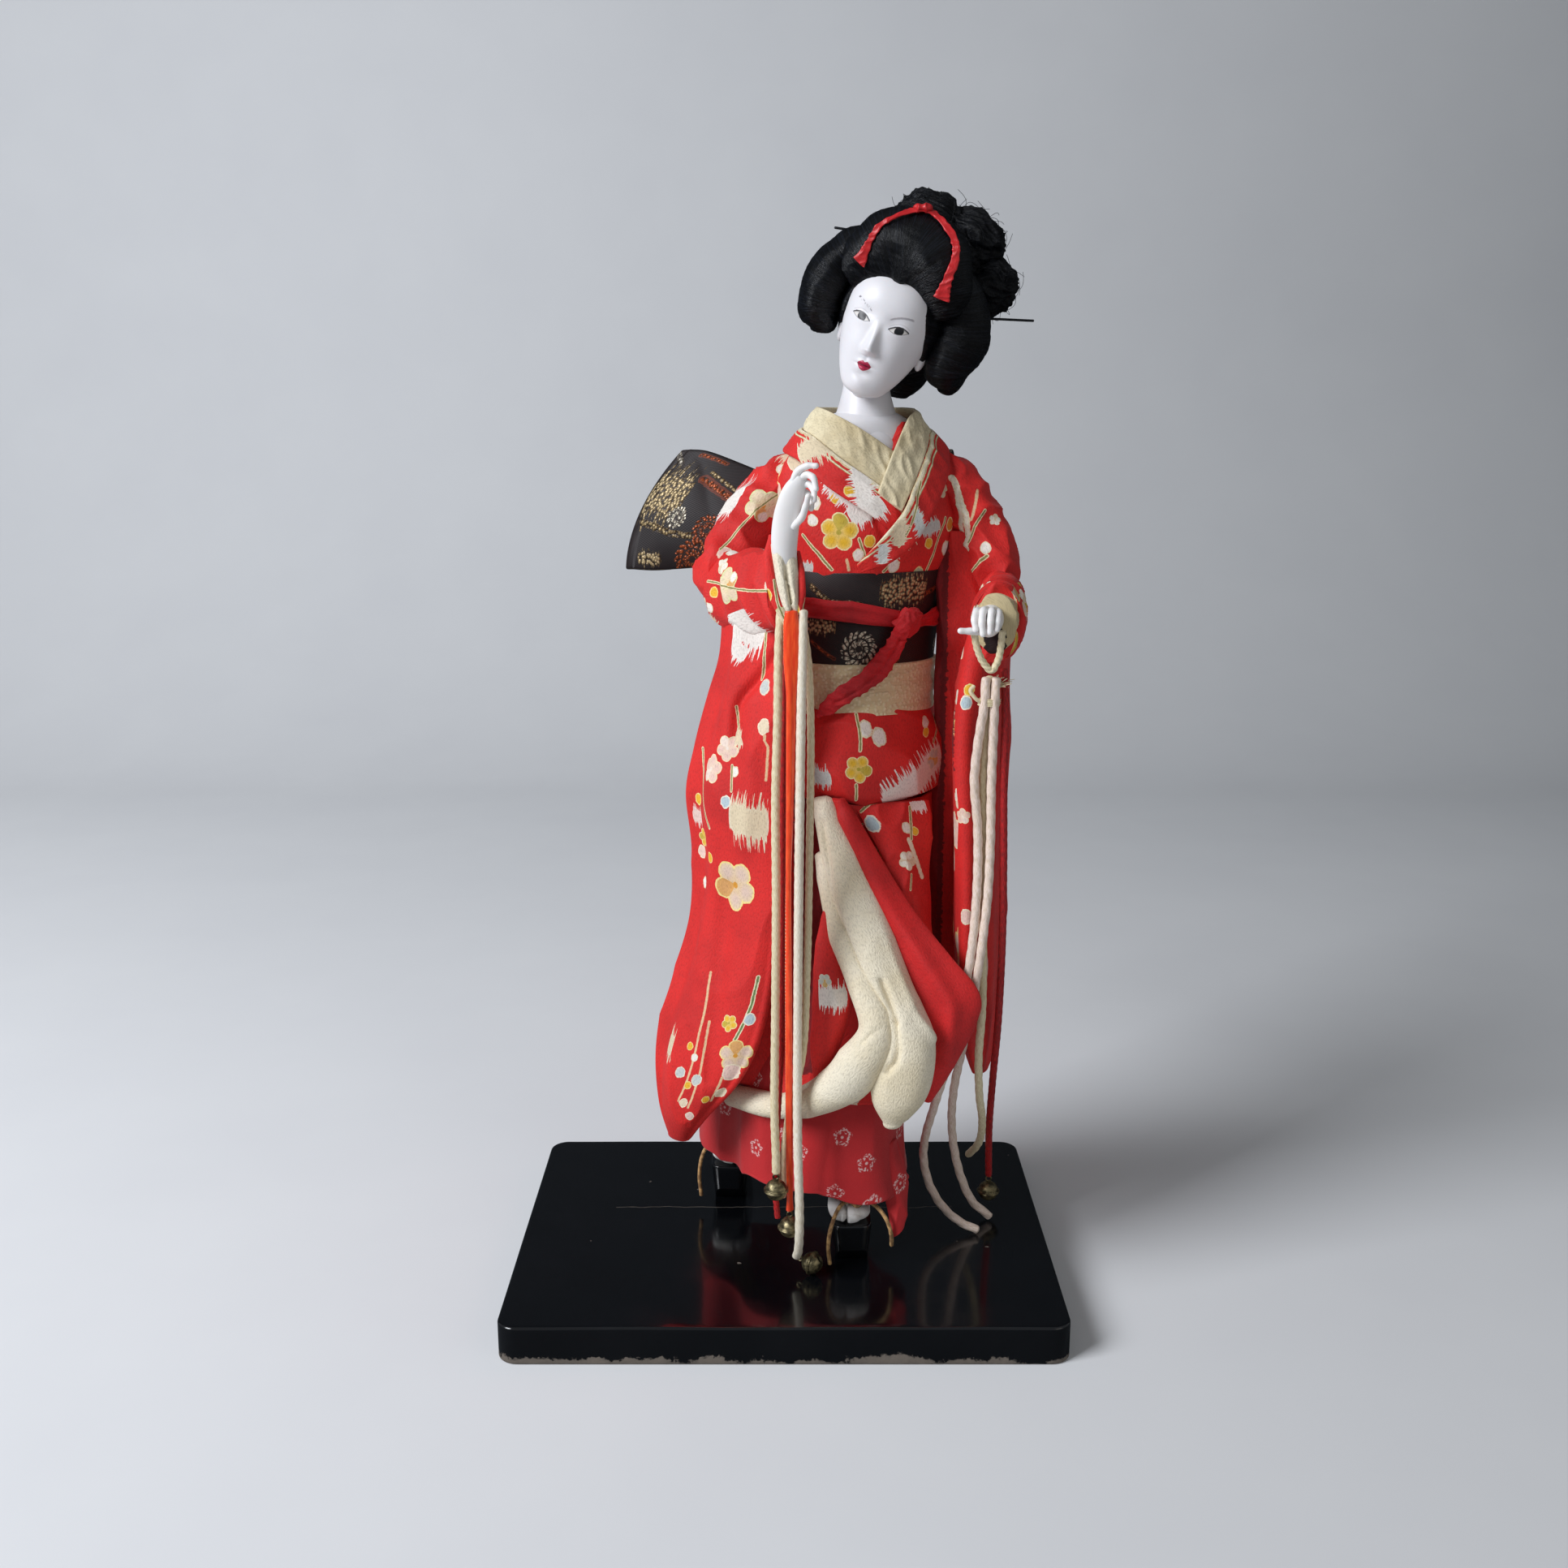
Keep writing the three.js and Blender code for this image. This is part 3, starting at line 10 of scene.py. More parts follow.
import bpy
import numpy as np
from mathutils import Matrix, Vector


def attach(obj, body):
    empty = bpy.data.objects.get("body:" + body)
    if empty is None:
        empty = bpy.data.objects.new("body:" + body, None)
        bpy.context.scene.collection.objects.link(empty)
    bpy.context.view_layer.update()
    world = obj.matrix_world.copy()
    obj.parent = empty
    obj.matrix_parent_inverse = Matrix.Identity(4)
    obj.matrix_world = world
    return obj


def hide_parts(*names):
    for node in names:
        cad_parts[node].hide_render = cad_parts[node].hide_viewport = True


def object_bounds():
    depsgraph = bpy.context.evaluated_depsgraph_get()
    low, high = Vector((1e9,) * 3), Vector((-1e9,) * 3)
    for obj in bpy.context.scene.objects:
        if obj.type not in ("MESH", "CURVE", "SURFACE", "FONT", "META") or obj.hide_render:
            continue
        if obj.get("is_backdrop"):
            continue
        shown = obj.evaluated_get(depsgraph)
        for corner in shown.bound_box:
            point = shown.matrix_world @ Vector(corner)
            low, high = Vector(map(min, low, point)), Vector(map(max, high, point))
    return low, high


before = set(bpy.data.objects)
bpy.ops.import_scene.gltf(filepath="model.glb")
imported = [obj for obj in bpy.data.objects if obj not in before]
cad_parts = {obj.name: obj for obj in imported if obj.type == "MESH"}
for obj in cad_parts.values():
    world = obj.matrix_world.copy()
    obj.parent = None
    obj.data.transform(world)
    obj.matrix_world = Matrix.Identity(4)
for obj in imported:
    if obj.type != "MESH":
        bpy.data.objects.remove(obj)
size_at_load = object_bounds()


# Camera. It stands a little above the figure's chest and looks down at it, as the photograph was taken.
camera = bpy.data.objects.new("camera", bpy.data.cameras.new("camera"))
camera.location = (0, -0.651, 0.361)
camera.rotation_euler = (math.radians(90 - 12.762), 0, 0)
camera.data.lens = 37.27
camera.data.sensor_width = 36
bpy.context.scene.collection.objects.link(camera)
bpy.context.scene.camera = camera
bpy.context.scene.view_settings.view_transform = "Standard"


# Cords. Twisted silk cords, cream, white and red, and one stitched satin ribbon hang from the closed right
# hand; twisted cream cords and a red one from the left. Each is a curve through its points, 260 rings long.
def tone(code):
    """The linear colour of an sRGB hex code."""
    parts = [int(code[i : i + 2], 16) / 255 for i in (0, 2, 4)]
    return tuple(c / 12.92 if c <= 0.04045 else ((c + 0.055) / 1.055) ** 2.4 for c in parts) + (1.0,)


def add(tree, kind, links=None, **settings):
    """Adds a node with its settings; links gives its inputs a value or a socket to follow."""
    node = tree.nodes.new(kind)
    for key, value in settings.items():
        setattr(node, key, value)
    for key, value in (links or {}).items():
        if isinstance(value, bpy.types.NodeSocket):
            tree.links.new(value, node.inputs[key])
        else:
            node.inputs[key].default_value = value
    return node


def calc(operation, *values):
    """The result of a math node, in the tree that its sockets belong to."""
    tree = next(v.id_data for v in values if isinstance(v, bpy.types.NodeSocket))
    return add(tree, "ShaderNodeMath", dict(enumerate(values)), operation=operation).outputs[0]


def mixed(share, one, two):
    """Colour one turning into colour two as share goes from 0 to 1."""
    node = add(share.id_data, "ShaderNodeMix", {0: share, 6: one, 7: two}, data_type="RGBA")
    return node.outputs[2]


def noise(where, scale, detail=3.0, roughness=0.55):
    """Cloudy noise, scale patches to each unit of where."""
    links = {"Vector": where, "Scale": scale, "Detail": detail, "Roughness": roughness}
    return add(where.id_data, "ShaderNodeTexNoise", links).outputs[0]


def between(value, low, high):
    """0 below low, 1 above high, smooth in between."""
    links = {0: value, 1: low, 2: high, 3: 0.0, 4: 1.0}
    return add(value.id_data, "ShaderNodeMapRange", links, interpolation_type="SMOOTHSTEP").outputs[0]


def finish(name):
    """A new material: (material, tree, shader node, object coordinates, print coordinates in mm)."""
    material = bpy.data.materials.new(name)
    material.use_nodes = True
    tree = material.node_tree
    shader = tree.nodes["Principled BSDF"]
    place = tree.nodes.new("ShaderNodeTexCoord")
    return material, tree, shader, place.outputs["Object"], place.outputs["UV"]


def surface(shader, colour, **values):
    """Gives the shader its colour and its fixed values, each named as its socket with _ for a space."""
    shader.id_data.links.new(colour, shader.inputs["Base Color"])
    for name, value in values.items():
        shader.inputs[name.replace("_", " ")].default_value = value


def relief(shader, height, depth):
    """Lets height, from 0 to 1, stand depth metres out of the surface."""
    links = {"Height": height, "Distance": depth, "Strength": 1.0}
    normal = add(shader.id_data, "ShaderNodeBump", links).outputs[0]
    shader.id_data.links.new(normal, shader.inputs["Normal"])


# A surface is an array of rings: rows x points x 3, in millimetres.
def cubic(one, two, m1, m2, f):
    """From one to two as f goes from 0 to 1, with slopes m1 and m2 there: Hermite's cubic."""
    start = one * (2 * f**3 - 3 * f**2 + 1) + m1 * (f**3 - 2 * f**2 + f)
    return start + two * (3 * f**2 - 2 * f**3) + m2 * (f**3 - f**2)


def smooth(stations, rows):
    """Values between stations: a cubic through each pair whose slopes are half the neighbours' difference."""
    s = np.asarray(stations, float)
    t = np.linspace(0, len(s) - 1, rows)
    i = np.minimum(t.astype(int), len(s) - 2)
    f = (t - i)[:, None]
    one, two = s[i], s[i + 1]
    m1 = (two - s[np.maximum(i - 1, 0)]) / 2
    m2 = (s[np.minimum(i + 2, len(s) - 1)] - one) / 2
    return cubic(one, two, m1, m2, f)


def unit(v):
    """Vectors drawn out or in to length 1."""
    return v / np.maximum(np.linalg.norm(v, axis=-1, keepdims=True), 1e-9)


def turns(sides, start=0.0):
    """Angles once round in equal steps."""
    return start + np.linspace(0, 2 * math.pi, sides, endpoint=False)


def stack(stations, rows, sides):
    """Level oval rings from stations [z, x, y, half width, half depth, turn]: width times the sine and
    depth times the cosine of the angle, turned about the vertical. The seam is behind."""
    z, x, y, a, b, turn = smooth(stations, rows).T[:, :, None]
    angle = turns(sides, math.pi)[None]
    u, v = a * np.sin(angle), -b * np.cos(angle)
    c, s = np.cos(np.radians(turn)), np.sin(np.radians(turn))
    return np.stack([x + u * c - v * s, y + u * s + v * c, z + 0 * u], 2)


def limb(stations, rows, sides, side):
    """Oval rings square to a path of stations [x, y, z, half width along side, other half width]."""
    s = smooth(stations, rows)
    ahead = unit(np.gradient(s[:, :3], axis=0))
    side = np.asarray(side, float)
    across = unit(side - (ahead @ side)[:, None] * ahead)
    other = np.cross(ahead, across)
    angle = turns(sides)[None, :, None]
    a, b = s[:, 3, None, None], s[:, 4, None, None]
    return s[:, None, :3] + a * across[:, None] * np.cos(angle) + b * other[:, None] * np.sin(angle)


def domed(rings, first, last, steps=7):
    """Closes both ends of rings with quarter ellipses that stand out by first and last."""
    t = np.linspace(0, math.pi / 2 * 0.97, steps + 1)[1:, None, None]

    def end(ring, inner, out):
        centre = ring.mean(0)
        away = unit(centre - inner.mean(0))
        return centre + (ring - centre) * np.cos(t) + away * out * np.sin(t)

    return np.concatenate([end(rings[0], rings[1], first)[::-1], rings, end(rings[-1], rings[-2], last)])


def outward(rings, looped=False):
    """Unit normals of rings, pointing away from each ring's middle."""
    around = np.roll(rings, -1, 1) - np.roll(rings, 1, 1)
    along = np.roll(rings, -1, 0) - np.roll(rings, 1, 0) if looped else np.gradient(rings, axis=0)
    n = unit(np.cross(around, along))
    away = (n * (rings - rings.mean(1, keepdims=True))).sum(-1).mean()
    return n if away >= 0 else -n


def pushed(rings, amount, looped=False):
    """Rings moved outwards by amount mm at each point."""
    return rings + outward(rings, looped) * np.asarray(amount)[..., None]


def skin(rings, looped=False, name="part"):
    """A closed mesh object over rings: faces between them, a fan at each end unless looped, normals out.
    Its print coordinates are millimetres: round each ring from its middle, and along the rings."""
    rows, sides = rings.shape[:2]
    ring = np.concatenate([rings, rings[:, :1]], 1)
    round_it = np.cumsum(np.linalg.norm(np.diff(ring, axis=1), axis=2), 1)
    u = np.concatenate([np.zeros((rows, 1)), round_it], 1)
    u = u - u[:, sides // 2, None]
    step = np.linalg.norm(np.diff(rings, axis=0), axis=2).mean(1)
    v = np.repeat(np.concatenate([[0], np.cumsum(step)])[:, None], sides + 1, 1)
    uv = np.stack([u, v], 2)
    ids = np.arange(rows * sides).reshape(rows, sides)
    low, high = (ids, np.roll(ids, -1, 0)) if looped else (ids[:-1], ids[1:])
    uv_low, uv_high = (uv, np.roll(uv, -1, 0)) if looped else (uv[:-1], uv[1:])
    quads = np.stack([low, np.roll(low, -1, 1), np.roll(high, -1, 1), high], -1).reshape(-1, 4)
    corner = np.stack([uv_low[:, :-1], uv_low[:, 1:], uv_high[:, 1:], uv_high[:, :-1]], 2).reshape(-1, 4, 2)
    points = rings.reshape(-1, 3)
    fans, fan_uv = np.zeros((0, 3), int), np.zeros((0, 3, 2))
    if not looped:
        points = np.concatenate([points, rings[:1].mean(1), rings[-1:].mean(1)])
        for k, turn in ((0, 1), (-1, -1)):
            middle = np.full(sides, rows * sides + (k != 0))
            fan = np.stack([middle, ids[k], np.roll(ids[k], -1)], -1)
            spot = np.stack([np.repeat(uv[k].mean(0)[None], sides, 0), uv[k, :-1], uv[k, 1:]], 1)
            if turn > 0:
                fan, spot = fan[:, [0, 2, 1]], spot[:, [0, 2, 1]]
            fans, fan_uv = np.concatenate([fans, fan]), np.concatenate([fan_uv, spot])
    a, b, c, d = (points[quads[:, i]] for i in range(4))
    middle = points.mean(0)
    if (np.cross(c - a, d - b) * ((a + c) / 2 - middle)).sum() < 0:
        quads, corner, fans, fan_uv = quads[:, ::-1], corner[:, ::-1], fans[:, ::-1], fan_uv[:, ::-1]
    mesh = bpy.data.meshes.new(name)
    mesh.from_pydata(points * 0.001, [], quads.tolist() + fans.tolist())
    layer = mesh.uv_layers.new(name="print_mm")
    layer.data.foreach_set("uv", np.concatenate([corner.ravel(), fan_uv.ravel()]).astype(np.float32))
    mesh.polygons.foreach_set("use_smooth", np.ones(len(mesh.polygons), bool))
    made = bpy.data.objects.new(name, mesh)
    bpy.context.scene.collection.objects.link(made)
    return made


def joined(*parts):
    """Several skins as one object."""
    with bpy.context.temp_override(active_object=parts[0], selected_editable_objects=list(parts)):
        bpy.ops.object.join()
    return parts[0]


def dress(made, material, slot, *nodes, body="figure_on_board"):
    """Gives a finished piece its material, the solids it stands for and its body. The slot is not used."""
    made.data.materials.clear()
    made.data.materials.append(material)
    if nodes:
        made.name = made.data.name = nodes[0] + "_skin"
        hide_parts(*nodes)
    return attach(made, body)


def threaded(points, rows):
    """A centripetal curve: between neighbours a cubic whose knots are the square roots of the distances."""
    p = np.asarray(points, float)
    p = np.vstack([2 * p[0] - p[1], p, 2 * p[-1] - p[-2]])
    gap = np.sqrt(np.linalg.norm(np.diff(p, axis=0), axis=1))[:, None]
    t = np.linspace(0, len(points) - 1, rows)
    i = np.minimum(t.astype(int), len(points) - 2)
    f = (t - i)[:, None]
    a, b, c, d = p[i], p[i + 1], p[i + 2], p[i + 3]
    g0, g1, g2 = gap[i], gap[i + 1], gap[i + 2]
    m1 = ((b - a) / g0 - (c - a) / (g0 + g1) + (c - b) / g1) * g1
    m2 = ((c - b) / g1 - (d - b) / (g1 + g2) + (d - c) / g2) * g1
    return cubic(b, c, m1, m2, f)


def rope(points, radius, plies=3, pitch=9.0, depth=0.22, width=1.0, rows=260):
    """Rings of a twisted cord: the radius is full along each ply and falls by depth between them, and the
    plies turn once in pitch mm. width widens the ring across the view. Returns (rings, path in metres)."""
    path = threaded(points, rows)
    ahead = unit(np.gradient(path, axis=0))
    deep = unit(np.array([0, 1, 0]) - ahead[:, 1, None] * ahead)
    wide = np.cross(ahead, deep)
    run = np.concatenate([[0], np.cumsum(np.linalg.norm(np.diff(path, axis=0), axis=1))])[:, None]
    angle = turns(24)[None]
    ply = np.abs(np.cos(plies / 2 * (angle - 2 * math.pi * run / pitch)))
    r = (radius * (1 - depth + depth * ply))[..., None]
    width = np.broadcast_to(width, (rows,))[:, None, None]
    side = np.cos(angle)[..., None] * wide[:, None] * width + np.sin(angle)[..., None] * deep[:, None]
    rings = path[:, None] + r * side
    return domed(rings, radius * 0.5, radius * 0.5, 4), path * 0.001


def silk(name, colour, shade, roughness=0.55):
    """Silk thread: fine fibres along the cord, paler where they catch the light, dirtier in patches."""
    material, tree, shader, place, uv = finish(name)
    run = add(tree, "ShaderNodeMapping", {"Vector": uv, "Scale": (4.0, 0.5, 1.0)}).outputs[0]
    thread = noise(run, 1.0, 3.0)
    dirt = noise(place, 60.0, 4.0)
    base = mixed(between(thread, 0.3, 0.7), tone(shade), tone(colour))
    base = mixed(calc("MULTIPLY", between(dirt, 0.5, 0.75), 0.35), base, tone(shade))
    surface(shader, base, Roughness=roughness, Sheen_Weight=0.05)
    relief(shader, thread, 0.00012)
    return material


cream_silk = silk("cream silk cord", "EFE2C2", "CDBB8E")
white_silk = silk("white silk cord", "F6EFE0", "DACCB0")
blush_silk = silk("pale pink silk cord", "F6E2DA", "D6BFA4")
red_silk = silk("red silk cord", "CC1518", "7A0A0D", 0.5)

right_cream = [
    [-1.2, -50.4, 290.6], [-2.0, -51.6, 276], [-2.4, -52.0, 250], [-3.2, -52.0, 219], [-3.0, -51.6, 182],
    [-3.4, -50.6, 130], [-3.8, -50.0, 90], [-3.2, -50.0, 72], [-3.2, -50.0, 65.2],
]
right_white = [
    [7, -52, 290.6], [6.9, -53.4, 283], [6.2, -54.6, 240], [5.7, -54.4, 190], [5.3, -51.8, 118],
    [5.5, -51, 77], [6.2, -50.8, 50], [6.2, -50, 38], [5.8, -46.4, 28.4], [5.2, -43.2, 24.6],
]
right_back = [
    [6.2, -47.2, 290.6], [9.2, -48.4, 270], [10.1, -49.4, 245], [9.8, -49.6, 198], [9, -49, 150],
    [7.4, -48.2, 115], [2.4, -45.4, 90], [-0.2, -41.8, 68], [-0.4, -40.6, 50],
]
right_red = [
    [1, -46.2, 290.6], [0.4, -46.4, 270], [-0.4, -46.6, 220], [-0.6, -46.4, 160], [-1.4, -45.4, 110],
    [-3.2, -43.6, 72], [-3.6, -43, 55], [-2.6, -43.4, 42],
]
right_ribbon = [
    [2.6, -53.4, 290.6], [2.8, -54.4, 275], [2.7, -54.6, 258], [2.2, -54.4, 215], [1.7, -53.8, 189],
    [1.9, -51.4, 117], [2.2, -46, 70], [2.4, -44.4, 52], [2.4, -44, 45.7],
]
left_long = [
    [75.6, -49.6, 265], [75.4, -49, 256], [73.8, -45.8, 240], [73, -43.6, 225], [75, -42, 205],
    [75.4, -41.4, 180], [74, -40.6, 155], [71, -37, 130], [67.6, -27, 104], [63.4, -14, 78], [60.4, -5, 58],
    [60.6, -2, 46], [63.4, -3.4, 35.6], [69, -6, 27], [76, -8.2, 21.4], [83.4, -9.4, 18.2],
]
left_mid = [
    [79.4, -49.6, 265], [79.2, -49, 256], [79.4, -46, 240], [79.6, -43.6, 222], [80, -42.4, 200],
    [79.6, -41.8, 178], [77.6, -41.2, 155], [75, -37, 130], [73, -26, 108], [71.4, -13, 84], [71.8, -5, 66],
    [73.8, -1, 51], [77.4, 1.6, 37], [82.6, 2.8, 25.4], [90.2, 3, 18.2],
]
left_short = [
    [77.4, -46.4, 265], [77.4, -45.6, 256], [76.8, -42.4, 240], [76.6, -40.6, 222], [78, -38.8, 200],
    [78.2, -38, 178], [79, -37, 155], [79.4, -36.6, 130], [79, -33, 108], [80.6, -26, 88], [83.6, -14, 72],
    [84.8, -2, 58], [84, 7, 49], [81.6, 13.4, 42.6],
]
left_red = [
    [82.6, -46.6, 268], [83.8, -45.4, 254], [84.2, -43.4, 228], [85.6, -40.6, 190], [86.6, -36.6, 159],
    [87.2, -28, 122], [87.6, -14, 90], [88.6, 0, 62], [90, 9, 42], [90.6, 12, 33.6],
]
left_loop = [
    [70.3, -53, 282.8], [71.8, -52.6, 276.6], [74.4, -51.8, 271.4], [77.4, -51.4, 268.6],
    [79.6, -51.8, 272.4], [80.4, -52.6, 277.2], [80.8, -53, 283.2],
]

# Bright orange with a soft band of light, and a row of pale stitches down its middle.
ribbon_satin, tree, shader, place, uv = finish("orange satin ribbon")
stitch = calc("SINE", calc("MULTIPLY", add(tree, "ShaderNodeSeparateXYZ", {0: uv}).outputs[1], 4.2))
sheen = noise(add(tree, "ShaderNodeMapping", {"Vector": uv, "Scale": (0.9, 0.12, 1)}).outputs[0], 1.0)
colour = mixed(between(sheen, 0.35, 0.7), tone("EE3A0A"), tone("FF5A1E"))
middle = calc("ABSOLUTE", add(tree, "ShaderNodeSeparateXYZ", {0: uv}).outputs[0])
stitch = calc("MULTIPLY", stitch, between(middle, 0.5, 0.3))
surface(shader, mixed(between(stitch, 0.3, 0.8), colour, tone("FFC49A")), Roughness=0.32, Sheen_Weight=0.2)
relief(shader, stitch, 0.0001)

# Dull yellow metal, brown in patches, rougher where it is paler; the slot is painted black, painted shade for
# the bell's dark inside.
bell_brass, tree, shader, place, uv = finish("tarnished brass")
tarnish = noise(place, 420.0, 5.0)
slot_painted_shade = add(tree, "ShaderNodeAttribute", attribute_name="slot_painted_shade").outputs["Fac"]
colour = mixed(between(tarnish, 0.35, 0.7), tone("4A4332"), tone("A79A74"))
surface(shader, mixed(slot_painted_shade, colour, tone("0D0B08")), Metallic=0.85)
rough = add(tree, "ShaderNodeMapRange", {0: tarnish, 3: 0.28, 4: 0.55}).outputs[0]
tree.links.new(rough, shader.inputs["Roughness"])
relief(shader, tarnish, 0.00008)


def plain_solid(node, material):
    """A solid shown as it was built, in its own material."""
    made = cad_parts[node]
    made.data.materials.clear()
    made.data.materials.append(material)
    return made


def turned(degrees):
    """The matrix that turns points about x, then y, then z."""
    (cx, cy, cz), (sx, sy, sz) = ([f(a) for a in np.radians(degrees)] for f in (math.cos, math.sin))
    about_x = np.array([[1, 0, 0], [0, cx, -sx], [0, sx, cx]])
    about_y = np.array([[cy, 0, sy], [0, 1, 0], [-sy, 0, cy]])
    about_z = np.array([[cz, -sz, 0], [sz, cz, 0], [0, 0, 1]])
    return about_z @ about_y @ about_x


def bell(name, at, tilt):
    """A round bell of two pressed domes on a wire eye: a circle turned about its axis, with two thin rims
    round its waist and a slot across the lower dome; the eye is a ring of wire, 5.7 mm over its middle."""
    t = np.linspace(0.04, math.pi - 0.04, 90)
    r, z = 4.4 * np.sin(t), 4.4 * np.cos(t)
    r = r + 0.6 * np.exp(-(((z - 0.3) / 0.22) ** 4)) + 0.6 * np.exp(-(((z + 0.3) / 0.22) ** 4))
    angle = turns(96)[None]
    x, y = r[:, None] * np.cos(angle), r[:, None] * np.sin(angle)
    z = np.repeat(z[:, None], 96, 1)
    cut = 1 / (1 + np.exp((np.hypot(y, np.maximum(np.abs(x) - 2.8, 0)) - 0.55) / 0.07))
    cut = cut * (z < -0.6)
    dot = 1 / (1 + np.exp((np.hypot(np.abs(x) - 2.9, y) - 0.85) / 0.07)) * (z < -0.6)
    cut = np.maximum(cut, dot)
    rings = np.stack([x, y, z], 2)
    rings = rings - unit(rings) * cut[..., None] * 1.4
    rings[..., 2] -= 5.7
    shellpart = skin(rings)
    # The slot's mask is kept on the mesh; the brass paints it black there, painted shade for the bell's dark
    # inside.
    mark = shellpart.data.attributes.new("slot_painted_shade", "FLOAT", "POINT")
    mark.data.foreach_set("value", np.concatenate([cut.ravel(), [0, 0]]).astype(np.float32))
    turn = turns(40)[:, None]
    wire = turns(14)[None]
    reach = 1.1 + 0.4 * np.cos(wire)
    eye = np.stack([reach * np.cos(turn), 0.4 * np.sin(wire) + 0 * turn, reach * np.sin(turn)], 2)
    made = joined(shellpart, skin(eye, looped=True))
    points = np.zeros(len(made.data.vertices) * 3, np.float32)
    made.data.vertices.foreach_get("co", points)
    points = points.reshape(-1, 3) @ turned(tilt).T + np.array(at) * 0.001
    made.data.vertices.foreach_set("co", points.astype(np.float32).ravel())
    made.data.update()
    pellet = plain_solid(name.replace("bell", "pellet"), bell_brass)
    dress(made, bell_brass, "old_brass", name, body=name)
    return [made, pellet]


bell_a = bell("bell_a", (-3.2, -50, 63.2), (0, 0, 0))
bell_b = bell("bell_b", (2.4, -44, 43.7), (0, 0, 0))
bell_c = bell("bell_c", (6.6, -40.4, 22), (0, -83, -28))
bell_left = bell("bell_left", (90.6, 12, 31.6), (0, 0, 0))


def hang(name, made, material, slot):
    """A finished cord, from its rings and path; its real length is worked out and not used."""
    rings, path = made
    piece = dress(skin(rings), material, slot, name)
    length = float(np.linalg.norm(np.diff(path, axis=0), axis=1).sum())
    tuple(path[0])
    return piece


made = rope(right_cream, 1.75, pitch=16, depth=0.12)
hang("cord_right_cream", made, cream_silk, "cream_cord")
made = rope(right_white, 1.85, pitch=18, depth=0.1)
hang("cord_right_white", made, white_silk, "white_cord")
made = rope(right_back, 1.5, pitch=15, depth=0.12)
hang("cord_right_back", made, cream_silk, "cream_cord")
hang("cord_right_red", rope(right_red, 1.3), red_silk, "red_cord")
t = np.linspace(0, 1, 260)
wide = np.interp(t, [0, 0.04, 0.14, 0.24, 0.5, 0.9, 1], [1.6, 2.0, 2.1, 1.35, 1.0, 0.9, 1.1])
ribbon = rope(right_ribbon, 1.5, plies=2, pitch=400, depth=0.35, width=wide)
hang("cord_right_ribbon", ribbon, ribbon_satin, "orange_ribbon")
made = rope(left_long, 1.85, pitch=22, depth=0.16)
hang("cord_left_long", made, blush_silk, "cream_cord")
made = rope(left_mid, 1.85, pitch=24, depth=0.16)
hang("cord_left_mid", made, blush_silk, "cream_cord")
made = rope(left_short, 1.7, pitch=20, depth=0.14)
hang("cord_left_short", made, cream_silk, "cream_cord")
made = rope(left_red, 1.55, pitch=14, depth=0.1)
hang("cord_left_red", made, red_silk, "red_cord")
binding = [
    [257.9, 77.4, -47.6, 1.0, 1.0, 0], [257.4, 77.4, -47.7, 3.9, 2.9, 0], [256, 77.4, -47.5, 4.2, 3.1, 0],
    [254.6, 77.2, -47.3, 3.9, 2.9, 0], [254.1, 77.2, -47.2, 1.0, 1.0, 0],
]
rings = stack(binding, 120, 64)
rings = pushed(rings, 0.16 * np.cos(rings[..., 2] * 2 * math.pi / 0.8 + np.linspace(0, 2 * math.pi, 64)))
parts = [skin(rings)]
random = np.random.default_rng(11)
for k in range(34):
    t = np.linspace(0, 1, 14)[:, None]
    away = random.normal(size=3) * [2.2, 1.2, 1.4] + [3.4, 0, 3.2]
    start = np.array([79.2, -47.6, 261.4]) + random.normal(size=3) * 0.5
    bend = np.array([0.6, 0, -1.6]) * random.uniform(0.2, 1.2)
    path = start + away * t + bend * t**2
    parts.append(skin(limb(np.hstack([path, np.full((14, 2), 0.13)]), 14, 6, (0, 1, 0))))
tail = [
    [74.8, -48.6, 256.2, 0.8, 0.7], [72.4, -49.4, 257.2, 0.9, 0.7], [70, -49.2, 260.4, 1.0, 0.8],
    [71.2, -48.8, 262.2, 0.9, 0.7],
]
parts.append(skin(domed(limb(tail, 50, 24, (0, 1, 0.2)), 0.5, 0.5)))
bound = dress(joined(*parts), cream_silk, "cream_cord", "cord_left_binding")
loop = rope(left_loop, 1.4, pitch=7, rows=90)
hang("cord_left_loop", loop, cream_silk, "cream_cord")


# Light and ground: a broad soft light from the left as from a window, a weak one from the right, and a
# pale floor that curves up into the backdrop.
def lamp(name, where, aim, size, power, colour):
    data = bpy.data.lights.new(name, "AREA")
    data.size = size
    data.energy = power
    data.color = tone(colour)[:3]
    made = bpy.data.objects.new(name, data)
    made.location = where
    way = Vector(aim) - Vector(where)
    made.rotation_euler = way.to_track_quat("-Z", "Y").to_euler()
    bpy.context.scene.collection.objects.link(made)


lamp("window_light", (-1.55, -1.0, 1.4), (0, 0, 0.22), 0.95, 50.0, "F6F9FF")
lamp("room_light", (1.0, -1.0, 0.7), (0, 0, 0.2), 0.9, 1.3, "FFF6EC")
world = bpy.data.worlds.new("pale room")
world.use_nodes = True
world.node_tree.nodes["Background"].inputs[0].default_value = tone("E4EAF0")
world.node_tree.nodes["Background"].inputs[1].default_value = 0.24
bpy.context.scene.world = world
